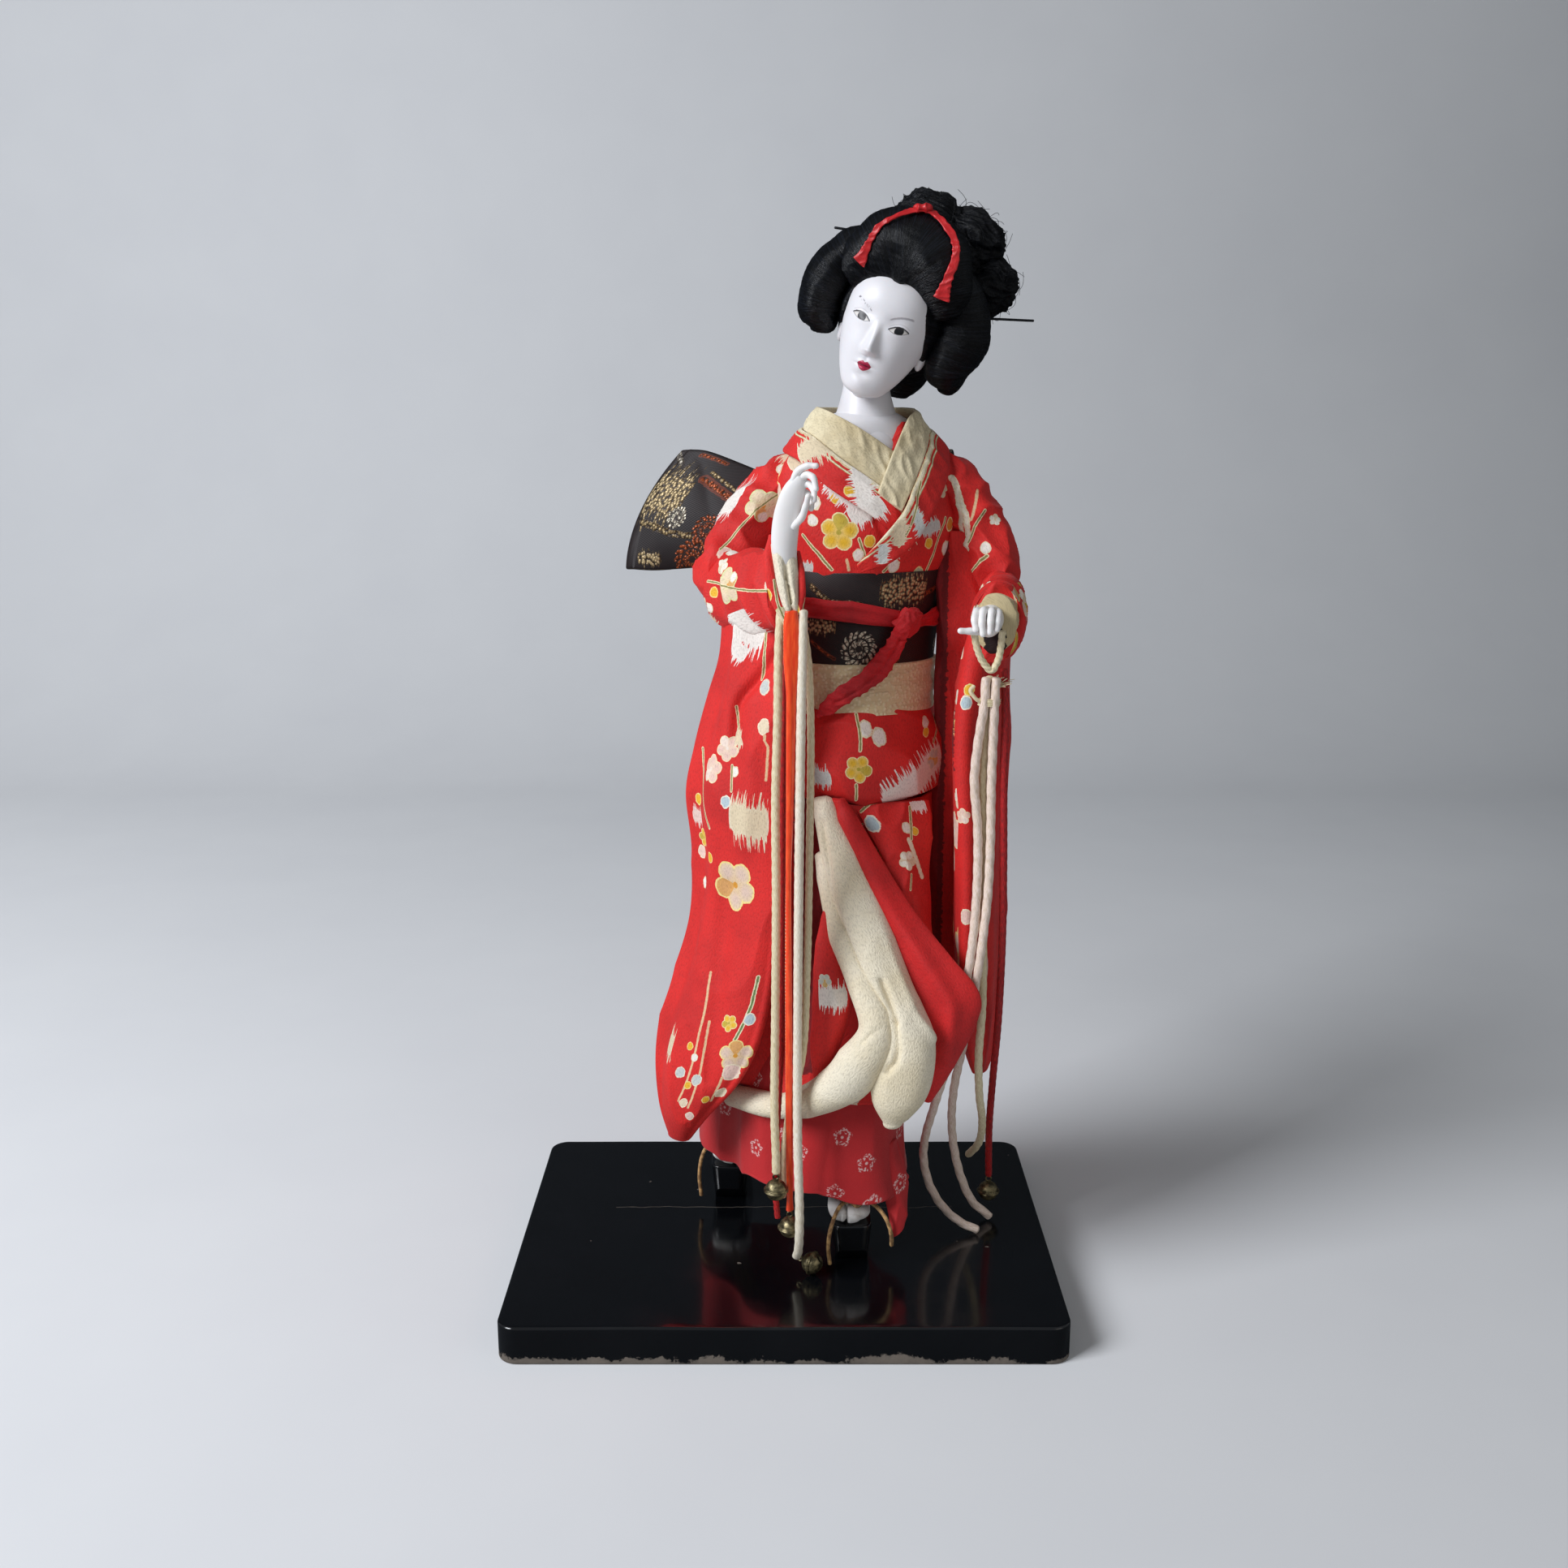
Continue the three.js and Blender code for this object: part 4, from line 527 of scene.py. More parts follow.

# A pale floor without gloss; in glossy rays its colour is painted dark grey, a painted reflection for the
# lacquer.
ground_paint, tree, shader, place, uv = finish("matt grey-white paint")
speck = noise(place, 9.0, 3.0)
pale = mixed(speck, tone("D8D9DB"), tone("DFE0E1"))
painted_dark_reflection = add(tree, "ShaderNodeLightPath").outputs["Is Glossy Ray"]
surface(shader, mixed(painted_dark_reflection, pale, tone("34383C")), Roughness=0.9)
across = np.linspace(-2.4, 2.4, 3) * 1000
t = np.linspace(0, math.pi / 2, 24)
depth = np.concatenate([[-1600], 900 + 500 * np.sin(t), [1400]])
height = np.concatenate([[0], 500 - 500 * np.cos(t), [2600]])
low = np.array([[[x, y, z] for x in across] for y, z in zip(depth, height)])
under = low + np.array([0, 40, -40])
floor = skin(np.concatenate([low, under[:, ::-1]], 1), name="floor")
floor.data.materials.append(ground_paint)
floor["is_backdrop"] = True


# Board: a rounded plank under many coats of black lacquer, with a hairline crack, small dents and the
# lower edges chipped down to the grey ground coat.
def rounded(wide, deep, corner):
    """A rectangle of half sizes wide and deep with round corners, from the back middle anticlockwise."""
    points = []
    for cx, cy, start in ((-1, 1, 90), (-1, -1, 180), (1, -1, 270), (1, 1, 0)):
        a = np.radians(start + np.linspace(0, 90, 14))
        x, y = cx * (wide - corner) + corner * np.cos(a), cy * (deep - corner) + corner * np.sin(a)
        points.append(np.stack([x, y], 1))
    ends = [*points, points[0]]
    full = []
    for one, two in zip(ends, ends[1:]):
        t = np.linspace(0, 1, 60)[1:-1, None]
        full += [one, one[-1] * (1 - t) + two[0] * t]
    return np.concatenate(full)


def plank(wide, deep, corner, edge, low, high):
    """Rings of a rounded rectangle drawn in along a quarter circle at both edges, then to the middle."""
    t = np.linspace(0, math.pi / 2, 7)
    inset = [*np.linspace(min(wide, deep) * 0.96, edge * 3, 9), *(edge * (1 - np.sin(t)))]
    level = [low] * 9 + list(low + edge * (1 - np.cos(t)))
    rows = []
    for i, z in [*zip(inset, level), *zip(inset[::-1], [high - (z - low) for z in level[::-1]])]:
        ring = rounded(wide - i, deep - i, max(corner - i, 0.01))
        rows.append(np.column_stack([ring, np.full(len(ring), z)]))
    return np.array(rows)


# Deep black under a clear coat, brown-grey and dull where it is chipped.
lacquer, tree, shader, place, uv = finish("black lacquer")
fine = noise(place, 900.0, 2.0)
cloudy = noise(place, 40.0, 4.0)
spot = add(tree, "ShaderNodeSeparateXYZ", {0: place}).outputs
warped = calc("ADD", spot[1], calc("MULTIPLY", noise(place, 60.0, 4.0), 0.006))
crack = calc("LESS_THAN", calc("ABSOLUTE", calc("SUBTRACT", warped, 0.0186)), 0.00018)
crack = calc("MULTIPLY", crack, calc("LESS_THAN", calc("ABSOLUTE", spot[0]), 0.075))
on_top = calc("LESS_THAN", calc("ABSOLUTE", calc("SUBTRACT", spot[2], 0.0155)), 0.001)
crack = calc("MULTIPLY", crack, on_top)
ragged = noise(place, 75.0, 5.0, 0.7)
lower = between(calc("ADD", spot[2], calc("MULTIPLY", ragged, -0.016)), -0.0052, -0.0062)
dents = calc("GREATER_THAN", noise(place, 160.0, 2.0), 0.775)
dents = calc("MULTIPLY", dents, calc("GREATER_THAN", spot[2], 0.0150))
bare = calc("MAXIMUM", lower, calc("MAXIMUM", crack, dents))
base = mixed(cloudy, tone("050608"), tone("0C0E12"))
base = mixed(bare, base, mixed(ragged, tone("2C2723"), tone("857A6E")))
worn = calc("ADD", calc("MULTIPLY", between(cloudy, 0.4, 0.7), 0.12), 0.13)
worn = calc("ADD", worn, calc("MULTIPLY", bare, 0.6))
tree.links.new(worn, shader.inputs["Roughness"])
surface(shader, base, Coat_Weight=0.6, Coat_Roughness=0.08)
height = calc("SUBTRACT", calc("MULTIPLY", fine, 0.06), bare)
relief(shader, height, 0.0002)


def waves(points, size, seed, stretch=(1, 1, 1)):
    """A smooth random value about -1 to 1: nine sine waves of about size mm in random directions, added
    up. stretch above 1 draws the waves out along that axis."""
    count = 9
    r = np.random.default_rng(seed)
    way = unit(r.normal(size=(count, 3))) / np.asarray(stretch) / size / r.uniform(0.7, 1.6, (count, 1))
    phase = r.uniform(0, 2 * math.pi, count)
    return np.sin(points @ way.T * 2 * math.pi + phase).sum(-1) / math.sqrt(count)


board = plank(112.5, 83.5, 8, 1.1, 0, 16)
board[..., 2] += 0.12 * waves(board, 70, 3) * (board[..., 2] > 8)
dress(skin(board), lacquer, "black_lacquer", "base_board")


# Clogs: tall lacquered blocks that draw in downwards, cut back under the toe.
def clog(name, x, front, turn):
    """A rounded block: its outline is a circle whose cosine and sine are raised to 0.36, smaller lower
    down."""
    half, wide, high = 24, 8.75, 17.5
    t = np.linspace(0, math.pi / 2, 6)
    low_t = t[::-1]
    level = [*(0.5 * (1 - np.sin(low_t))), *np.linspace(1, 15.5, 30), *(16.7 + 0.8 * np.sin(t))]
    inset = [
        *(1.6 + 0.5 * (1 - np.cos(low_t))),
        *np.interp(np.linspace(1, 15.5, 30), [0, 8.75, 16.3], [1.6, 0.64, 0]), *(0.8 * (1 - np.cos(t))),
    ]
    level, inset = [0.02, 0.01, *level, high, high], [6, 3, *inset, 3, 6]
    angle = turns(160, math.pi / 2)[None]
    inset, level = np.array(inset)[:, None], np.array(level)[:, None]
    power = 0.36
    px = (wide - inset) * np.sign(np.cos(angle)) * np.abs(np.cos(angle)) ** power
    py = (half - inset) * np.sign(np.sin(angle)) * np.abs(np.sin(angle)) ** power
    pz = level + 0 * px
    keep = -half + np.maximum(5 * math.sqrt(2) - pz, 0) * 0.9
    py = np.maximum(py, keep)
    c, s = math.cos(turn), math.sin(turn)
    rings = np.stack([x + px * c - py * s, front + half + px * s + py * c, 16.3 + pz], 2)
    return dress(skin(rings), lacquer, "black_lacquer", name)


clog("clog_right", -23.7, 19, -0.03)
clog("clog_left", 27.5, -36, 0.04)

# Rods: steel pins from the board through the clogs and feet into the legs. The solids are shown as they are.
rod_steel, tree, shader, place, uv = finish("drawn steel")
drawn = noise(add(tree, "ShaderNodeMapping", {"Vector": place, "Scale": (900, 900, 60)}).outputs[0], 1.0)
surface(shader, mixed(drawn, tone("6C6E72"), tone("A4A6AA")), Metallic=1.0, Roughness=0.35)
relief(shader, drawn, 0.00003)
for node in ("support_rod_right", "support_rod_left", "arm_wire"):
    plain_solid(node, rod_steel)

# Body: a core of bundled straw and a turned wooden peg for the neck, both hidden inside the clothes.
straw, tree, shader, place, uv = finish("bundled straw")
stalks = noise(add(tree, "ShaderNodeMapping", {"Vector": place, "Scale": (700, 700, 30)}).outputs[0], 1.0)
surface(shader, mixed(stalks, tone("8A6F3C"), tone("CDB478")), Roughness=0.8)
relief(shader, stalks, 0.0005)
plain_solid("body_core", straw)

peg_wood, tree, shader, place, uv = finish("turned cypress wood")
grain = add(tree, "ShaderNodeMapping", {"Vector": place, "Scale": (500, 500, 40)}).outputs[0]
rings_of = noise(grain, 1.0, 4.0)
surface(shader, mixed(rings_of, tone("B98F5E"), tone("DDBE8E")), Roughness=0.6)
relief(shader, rings_of, 0.0001)
plain_solid("neck_peg", peg_wood)


# Feet in split-toed cotton socks, drawn as one smooth sole with a cleft beside the big toe.
# Off-white cotton, matt, with a fine weave and grey soil in patches.
sock, tree, shader, place, uv = finish("white cotton sock")
fine = add(tree, "ShaderNodeMapping", {"Vector": place, "Scale": (1600, 1600, 1600)}).outputs[0]
weave = noise(fine, 1.0)
soil = noise(place, 130.0, 4.0)
surface(shader, mixed(between(soil, 0.45, 0.75), tone("E9E6E2"), tone("B9AFA4")), Roughness=0.75)
relief(shader, weave, 0.00008)


def foot(name, x, front, turn, inner):
    """Oval rings from toe to heel, half sizes w and h; the cleft pulls the middle of the front in as a
    narrow bell curve across the foot that fades over 10 mm, and the ankle rises where the rings end."""
    sole = [
        [0, 0.4, 3.0, 4.4, 2.6], [0, 2.6, 3.7, 7.9, 3.6], [0, 7.6, 4.2, 8.8, 4.1], [0, 14, 4.9, 8.3, 4.8],
        [0, 20, 5.8, 7.4, 5.7], [0, 26, 6.4, 6.7, 6.3], [0, 33, 6.2, 6.1, 6.1], [0, 38, 5.4, 4.2, 5.2],
    ]
    rings = domed(limb(sole, 90, 96, (1, 0, 0)), 1.6, 2.2)
    side = rings[..., 0] - inner * (2.1 + 0.05 * (rings[..., 1] - 1))
    ahead = np.clip((10.5 - rings[..., 1]) / 9, 0, 1)
    groove = np.exp(-((side / 0.75) ** 2)) * ahead**0.6
    centre = np.array([0, 7, 3.2])
    rings = rings + unit(centre - rings) * (groove * 3.0)[..., None]
    toes = np.exp(-(((rings[..., 0] - inner * 5.4) / 3.0) ** 2)) * ahead
    rings[..., 1] -= 0.7 * toes
    rings[..., 2] += 0.5 * toes * (rings[..., 2] > 3)
    rings[..., 2] = np.maximum(rings[..., 2], 0.0)
    ankle = [
        [4, 0, 27.4, 6.6, 9, 0], [8, 0, 27.4, 6.2, 7.6, 0], [12, 0, 27.6, 5.6, 6.6, 0],
        [16.5, 0, 27.6, 5.1, 6.2, 0],
    ]
    c, s = math.cos(turn), math.sin(turn)
    parts = []
    for made in (rings, domed(stack(ankle, 30, 64), 1, 1)):
        px, py = made[..., 0].copy(), made[..., 1].copy()
        made[..., 0], made[..., 1] = x + px * c - py * s, front + 0.8 + px * s + py * c
        made[..., 2] += 34.1
        parts.append(skin(made))
    return dress(joined(*parts), sock, "cotton_sock", name)


foot("foot_right", -23.7, 19, -0.03, 1)
foot("foot_left", 27.5, -36, 0.04, -1)

# Thongs: loosened gold-brown braided cord, come off the clogs and bent over the toes.
braid, tree, shader, place, uv = finish("gold brown braid")
wear = noise(place, 500.0, 3.0)
base = mixed(between(wear, 0.35, 0.7), tone("7A5630"), tone("D0A468"))
surface(shader, base, Roughness=0.6, Sheen_Weight=0.2)
relief(shader, wear, 0.0001)
thong_left = [
    [18.9, -40.6, 19.5], [18.2, -41, 28], [19.6, -39.2, 36], [23.5, -34.5, 42.6], [27, -32.5, 43.4],
    [30.2, -33.2, 41.6], [33.4, -32.8, 43.4], [37.6, -34.8, 42.8], [42, -38.2, 38.6], [44.2, -38.8, 32],
    [44.6, -37, 26],
]
thong_right = [
    [-36.8, 15.2, 22], [-37.6, 15.2, 31], [-36.6, 15.8, 39.5], [-34.2, 17, 44.2], [-30, 18.4, 45.2],
    [-26.5, 19.4, 42.6],
]
dress(skin(rope(thong_left, 0.9, 4, 3.2, 0.3)[0]), braid, "gold_cord", "thong_left")
dress(skin(rope(thong_right, 0.9, 4, 3.2, 0.3)[0]), braid, "gold_cord", "thong_right")


# Printed crepe, used by every garment: plum blossoms, buds, stems and torn-edged clouds stencilled on red
# silk, each in pale colours with a cream line of bare silk round it.
def stencil(name, values):
    """A node group that lays one motif over Ground; values are its other inputs, name to socket kind."""
    tree = bpy.data.node_groups.new(name, "ShaderNodeTree")
    for label, kind in {"Ground": "Color", "Where": "Vector", **values}.items():
        tree.interface.new_socket(label, in_out="INPUT", socket_type="NodeSocket" + kind)
    tree.interface.new_socket("Color", in_out="OUTPUT", socket_type="NodeSocketColor")
    return tree, tree.nodes.new("NodeGroupInput").outputs, tree.nodes.new("NodeGroupOutput").inputs[0]


def length_of(x, y):
    """The distance of the point x, y from the origin."""
    return calc("SQRT", calc("ADD", calc("MULTIPLY", x, x), calc("MULTIPLY", y, y)))


round_sizes = {"X": "Float", "Y": "Float", "Radius": "Float", "Turn": "Float"}
colours = {"Fill": "Color", "Heart": "Color", "Line": "Color"}
bloom, given, out = stencil("plum_blossom", {**round_sizes, **colours})
spot = add(bloom, "ShaderNodeSeparateXYZ", {0: given["Where"]}).outputs
dx, dy = calc("SUBTRACT", spot[0], given["X"]), calc("SUBTRACT", spot[1], given["Y"])
far = calc("DIVIDE", length_of(dx, dy), given["Radius"])
fifths = calc("SUBTRACT", calc("ARCTAN2", dy, dx), given["Turn"])
fifths = calc("ADD", calc("DIVIDE", fifths, 0.4 * math.pi), 10.5)
off = calc("MULTIPLY", calc("SUBTRACT", calc("FRACT", fifths), 0.5), 0.4 * math.pi)
along = calc("SUBTRACT", calc("MULTIPLY", far, calc("COSINE", off)), 0.56)
petal = calc("DIVIDE", length_of(along, calc("MULTIPLY", far, calc("SINE", off))), 0.43)
petal = calc("ADD", petal, calc("MULTIPLY_ADD", noise(given["Where"], 0.45, 2.0), 0.24, -0.12))
edge = calc("MINIMUM", petal, calc("DIVIDE", far, 0.42))
which = calc("MULTIPLY_ADD", given["X"], 0.37, calc("MULTIPLY", calc("FLOOR", fifths), 0.618))
odd = calc("GREATER_THAN", calc("FRACT", which), 0.78)
inside = mixed(calc("MULTIPLY", between(petal, 0.2, 1.0), 0.35), given["Fill"], given["Line"])
inside = mixed(calc("MULTIPLY", odd, 0.75), inside, given["Heart"])
rays = calc("GREATER_THAN", calc("ABSOLUTE", calc("COSINE", calc("MULTIPLY", off, 12.5))), 0.94)
rays = calc("MULTIPLY", rays, between(far, 0.48, 0.3))
heart = calc("MAXIMUM", calc("MULTIPLY", rays, 0.45), between(far, 0.15, 0.11))
inside = mixed(heart, inside, given["Heart"])
rim = calc("MULTIPLY", calc("GREATER_THAN", petal, 0.84), calc("GREATER_THAN", far, 0.3))
inside = mixed(rim, inside, given["Line"])
bloom.links.new(mixed(between(edge, 1.02, 0.97), given["Ground"], inside), out)

bud, given, out = stencil("bud", {**round_sizes, "Fill": "Color", "Line": "Color"})
spot = add(bud, "ShaderNodeSeparateXYZ", {0: given["Where"]}).outputs
dx, dy = calc("SUBTRACT", spot[0], given["X"]), calc("SUBTRACT", spot[1], given["Y"])
far = calc("DIVIDE", length_of(dx, calc("MULTIPLY", dy, 0.86)), given["Radius"])
far = calc("ADD", far, calc("MULTIPLY_ADD", noise(given["Where"], 0.5, 2.0), 0.5, -0.25))
inside = mixed(between(far, 0.76, 0.86), given["Fill"], given["Line"])
bud.links.new(mixed(between(far, 1.03, 0.96), given["Ground"], inside), out)

ends = {"X": "Float", "Y": "Float", "To X": "Float", "To Y": "Float", "Width": "Float", "Bend": "Float"}
stem, given, out = stencil("stem", {**ends, "Fill": "Color", "Line": "Color"})
start = add(stem, "ShaderNodeCombineXYZ", {0: given["X"], 1: given["Y"]}).outputs[0]
goal = add(stem, "ShaderNodeCombineXYZ", {0: given["To X"], 1: given["To Y"]}).outputs[0]
links = {0: given["Where"], 1: (1, 1, 0)}
flat_uv = add(stem, "ShaderNodeVectorMath", links, operation="MULTIPLY").outputs[0]
p = add(stem, "ShaderNodeVectorMath", {0: flat_uv, 1: start}, operation="SUBTRACT").outputs[0]
d = add(stem, "ShaderNodeVectorMath", {0: goal, 1: start}, operation="SUBTRACT").outputs[0]
pd = add(stem, "ShaderNodeVectorMath", {0: p, 1: d}, operation="DOT_PRODUCT").outputs[1]
dd = add(stem, "ShaderNodeVectorMath", {0: d, 1: d}, operation="DOT_PRODUCT").outputs[1]
t = add(stem, "ShaderNodeClamp", {0: calc("DIVIDE", pd, dd)}).outputs[0]
along = add(stem, "ShaderNodeVectorMath", {0: d, 3: t}, operation="SCALE").outputs[0]
side = add(stem, "ShaderNodeVectorMath", {0: d, 1: (0, 0, 1)}, operation="CROSS_PRODUCT").outputs[0]
side = add(stem, "ShaderNodeVectorMath", {0: side}, operation="NORMALIZE").outputs[0]
bow = calc("MULTIPLY", given["Bend"], calc("SINE", calc("MULTIPLY", t, math.pi)))
side = add(stem, "ShaderNodeVectorMath", {0: side, 3: bow}, operation="SCALE").outputs[0]
on = add(stem, "ShaderNodeVectorMath", {0: along, 1: side}, operation="ADD").outputs[0]
away = add(stem, "ShaderNodeVectorMath", {0: p, 1: on}, operation="DISTANCE").outputs[1]
away = calc("DIVIDE", away, calc("MULTIPLY", given["Width"], 0.5))
away = calc("ADD", away, calc("MULTIPLY_ADD", noise(given["Where"], 0.5, 2.0), 0.8, -0.4))
inside = mixed(between(away, 0.4, 0.55), given["Fill"], given["Line"])
stem.links.new(mixed(between(away, 1.05, 0.95), given["Ground"], inside), out)

sizes = {"X": "Float", "Y": "Float", "Half": "Float", "High": "Float", "Turn": "Float"}
cloud, given, out = stencil("torn_cloud", {**sizes, "Fill": "Color", "Line": "Color"})
place_at = add(cloud, "ShaderNodeCombineXYZ", {0: given["X"], 1: given["Y"]}).outputs[0]
turn_by = add(cloud, "ShaderNodeCombineXYZ", {2: given["Turn"]}).outputs[0]
links = {"Vector": given["Where"], "Location": place_at, "Rotation": turn_by}
near = add(cloud, "ShaderNodeMapping", links, vector_type="TEXTURE").outputs[0]
comb = add(cloud, "ShaderNodeMapping", {"Vector": near, "Scale": (0.95, 0.03, 1.0)}).outputs[0]
comb = noise(comb, 1.0, 3.0, 0.7)
near = add(cloud, "ShaderNodeSeparateXYZ", {0: near}).outputs
across = calc("DIVIDE", calc("ABSOLUTE", near[0]), given["Half"])
upward = calc("DIVIDE", calc("ABSOLUTE", near[1]), given["High"])
upward = calc("MULTIPLY", upward, calc("MULTIPLY_ADD", between(comb, 0.38, 0.62), 0.85, 0.62))
far = length_of(calc("POWER", across, 3.0), calc("POWER", upward, 1.6))
inside = mixed(between(far, 0.6, 1.0), given["Fill"], given["Line"])
cloud.links.new(mixed(between(far, 1.02, 0.97), given["Ground"], inside), out)


def lay(where, ground, motifs):
    """Lays motifs over a ground colour: (group, numbers in the order of its inputs, its colours)."""
    for group, numbers, shades in motifs:
        node = add(where.id_data, "ShaderNodeGroup", node_tree=group)
        for socket, value in zip(node.inputs, (ground, where, *numbers, *map(tone, shades))):
            if isinstance(value, bpy.types.NodeSocket):
                where.id_data.links.new(value, socket)
            else:
                socket.default_value = value
        ground = node.outputs[0]
    return ground


def scattered(where, ground, spacing, radius, share, shades):
    """Blossoms strewn at random: one in some of the cells of a Voronoi pattern, about its own point."""
    tree = where.id_data
    links = {"Vector": where, "Scale": 1 / spacing, "Randomness": 0.9}
    cell = add(tree, "ShaderNodeTexVoronoi", links, voronoi_dimensions="2D")
    pick = add(tree, "ShaderNodeSeparateColor", {0: cell.outputs["Color"]}).outputs
    middle = add(tree, "ShaderNodeSeparateXYZ", {0: cell.outputs["Position"]}).outputs
    chosen = calc("LESS_THAN", pick[0], share)
    grown = calc("MULTIPLY", chosen, calc("MULTIPLY_ADD", pick[1], radius * 0.6, radius * 0.6))
    turn = calc("MULTIPLY", pick[2], 6.0)
    return lay(where, ground, [(bloom, (middle[0], middle[1], calc("ADD", grown, 0.001), turn), shades)])


plum_pink = ("E9C5B6", "F0DFD0", "EFDDB4")
plum_cream = ("E6CFB0", "E0A43C", "F2E6BE")
plum_green = ("EAD3B4", "E39A3C", "DDE0A4")
plum_large = ("DCC0AE", "D8952C", "F1D98C")
plum_gold = ("E8B828", "B9A63A", "F0DFA6")
plum_grey = ("C9CCC2", "E3B34A", "EDE6CC")
plum_white = ("F0E8DA", "E2C8A4", "E9DBB8")
bud_white = ("F1EBE0", "E9DDBC")
bud_cream = ("E5D3B4", "EFE2C4")
bud_grey = ("C6CBC6", "E3DCC6")
bud_blue = ("B7C9CE", "F0E8D4")
bud_pink = ("EBC9BC", "EFE0C4")
bud_gold = ("ECB52B", "F2D98A")
bud_amber = ("E08A2C", "F2E2A8")
bud_green = ("B9C3A0", "EBDD9A")
stem_olive = ("8E8A50", "F0E0B6")
stem_green = ("6F8A50", "EFE3BE")
stem_cream = ("E6C79A", "EBB088")
leaf_cream = ("EFE6D0", "E9DCBC")
cloud_cream = ("DDCBAA", "E9DCC0")
cloud_white = ("EDE5DC", "F5F0E8")
cloud_grey = ("CDD1CC", "E9E4D6")
cloud_pink = ("E6C8BC", "EFDDCB")
STRAY = [
    (19, 7.0, 0.34, plum_pink), (13, 3.4, 0.3, plum_gold), (29, 9.5, 0.4, plum_large),
    (16, 3.6, 0.3, plum_white),
]


def crepe(name, ground, shade, motifs=(), strewn=(), plain=0.0, depth=0.00026, deep=()):
    """Silk crepe: a crinkle that runs along the cloth under a printed colour, painted darker in its hollows
    as shade. Blossoms are strewn beyond plain millimetres from the piece's middle line; the listed motifs are
    laid one by one. Deep ones are painted shade, dark shapes laid in the x-z plane, in front only."""
    material, tree, shader, place, uv = finish(name)
    run = add(tree, "ShaderNodeMapping", {"Vector": uv, "Scale": (1.5, 0.75, 1.0)}).outputs[0]
    grain = noise(run, 1.0, 3.0, 0.6)
    broad = noise(place, 45.0, 3.0)
    base = mixed(between(broad, 0.3, 0.75), tone(ground), tone(shade))
    colour = base
    for spacing, radius, share, shades in strewn:
        colour = scattered(uv, colour, spacing, radius, share, shades)
    if strewn and plain:
        u = calc("ABSOLUTE", add(tree, "ShaderNodeSeparateXYZ", {0: uv}).outputs[0])
        colour = mixed(calc("GREATER_THAN", u, plain), base, colour)
    colour = lay(uv, colour, motifs)
    # Deep motifs are painted shade: dark shapes laid in the x-z plane on the front of the piece.
    if deep:
        spot = add(tree, "ShaderNodeSeparateXYZ", {0: place}).outputs
        spot = [calc("MULTIPLY", one, 1000.0) for one in spot]
        flat = add(tree, "ShaderNodeCombineXYZ", {0: spot[0], 1: spot[2]}).outputs[0]
        front = calc("LESS_THAN", spot[1], 7.0)
        colour = mixed(front, colour, lay(flat, colour, deep))
    # Painted shade: the crinkle's hollows are darkened towards a deep brown-red.
    painted_hollow_shade = calc("MULTIPLY", between(grain, 0.55, 0.3), 0.22)
    colour = mixed(painted_hollow_shade, colour, tone("2A0404"))
    surface(shader, colour, Roughness=0.7, Sheen_Weight=0.05, Sheen_Roughness=0.4)
    relief(shader, grain, depth)
    return material


def red_print(part, motifs, plain, deep=()):
    """The robe's printed crepe, with the figures that lie on one part of it."""
    return crepe("printed red crepe, " + part, "E0211C", "C81A17", motifs, STRAY, plain, deep=deep)


# Underskirt: a tube of red crepe, tie-dyed with white rings, that shows under the open robe and trails
# to a point over the left foot.
# Darker red than the robe, with pale wavy rings that break up and a dot in the middle of each.
underskirt_crepe, tree, shader, place, uv = finish("tie-dyed red crepe")
grain = noise(place, 1500.0, 2.0, 0.6)
links = {"Vector": uv, "Scale": 1 / 19, "Randomness": 0.85}
cell = add(tree, "ShaderNodeTexVoronoi", links, voronoi_dimensions="2D")
kept = calc("LESS_THAN", add(tree, "ShaderNodeSeparateColor", {0: cell.outputs["Color"]}).outputs[0], 0.55)
reach = calc("MULTIPLY", cell.outputs["Distance"], 19)
links = {0: uv, 1: cell.outputs["Position"]}
lobes = add(tree, "ShaderNodeVectorMath", links, operation="SUBTRACT").outputs[0]
lobes = add(tree, "ShaderNodeSeparateXYZ", {0: lobes}).outputs
petals = calc("SINE", calc("MULTIPLY", calc("ARCTAN2", lobes[1], lobes[0]), 5.0))
wavy = calc("ADD", reach, calc("MULTIPLY", petals, 0.45))
ring = between(calc("ABSOLUTE", calc("SUBTRACT", wavy, 2.9)), 1.1, 0.5)
dots = between(noise(uv, 1.1, 2.0), 0.46, 0.56)
spots = calc("MAXIMUM", calc("MULTIPLY", ring, dots), between(reach, 0.8, 0.4))
spots = calc("MULTIPLY", spots, calc("MULTIPLY", kept, 0.62))
base = mixed(noise(place, 60.0), tone("CC1A1E"), tone("A81018"))
base = mixed(spots, base, tone("F0DDD8"))
surface(shader, base, Roughness=0.7, Sheen_Weight=0.15)
relief(shader, grain, 0.00014)


def creases(points, size, seed, stretch=(1, 1, 1)):
    """Sharp ridges between soft hollows, from about -1 to 1."""
    return 1 - 2 * np.abs(waves(points, size, seed, stretch)) ** 0.75


def shell(rings, thick):
    """An open tube of cloth: the rings outside, then the same rings thick further in, with round rims."""
    n = outward(rings)
    t = np.linspace(0, math.pi, 4)[1:-1, None, None]
    along = unit(np.gradient(rings, axis=0))
    half = thick / 2

    def rim(k, sign):
        return rings[k] - n[k] * half * (1 - np.cos(t)) + sign * along[k] * half * np.sin(t)

    return np.concatenate([rings, rim(-1, 1), (rings - n * thick)[::-1], rim(0, -1)[::-1]])


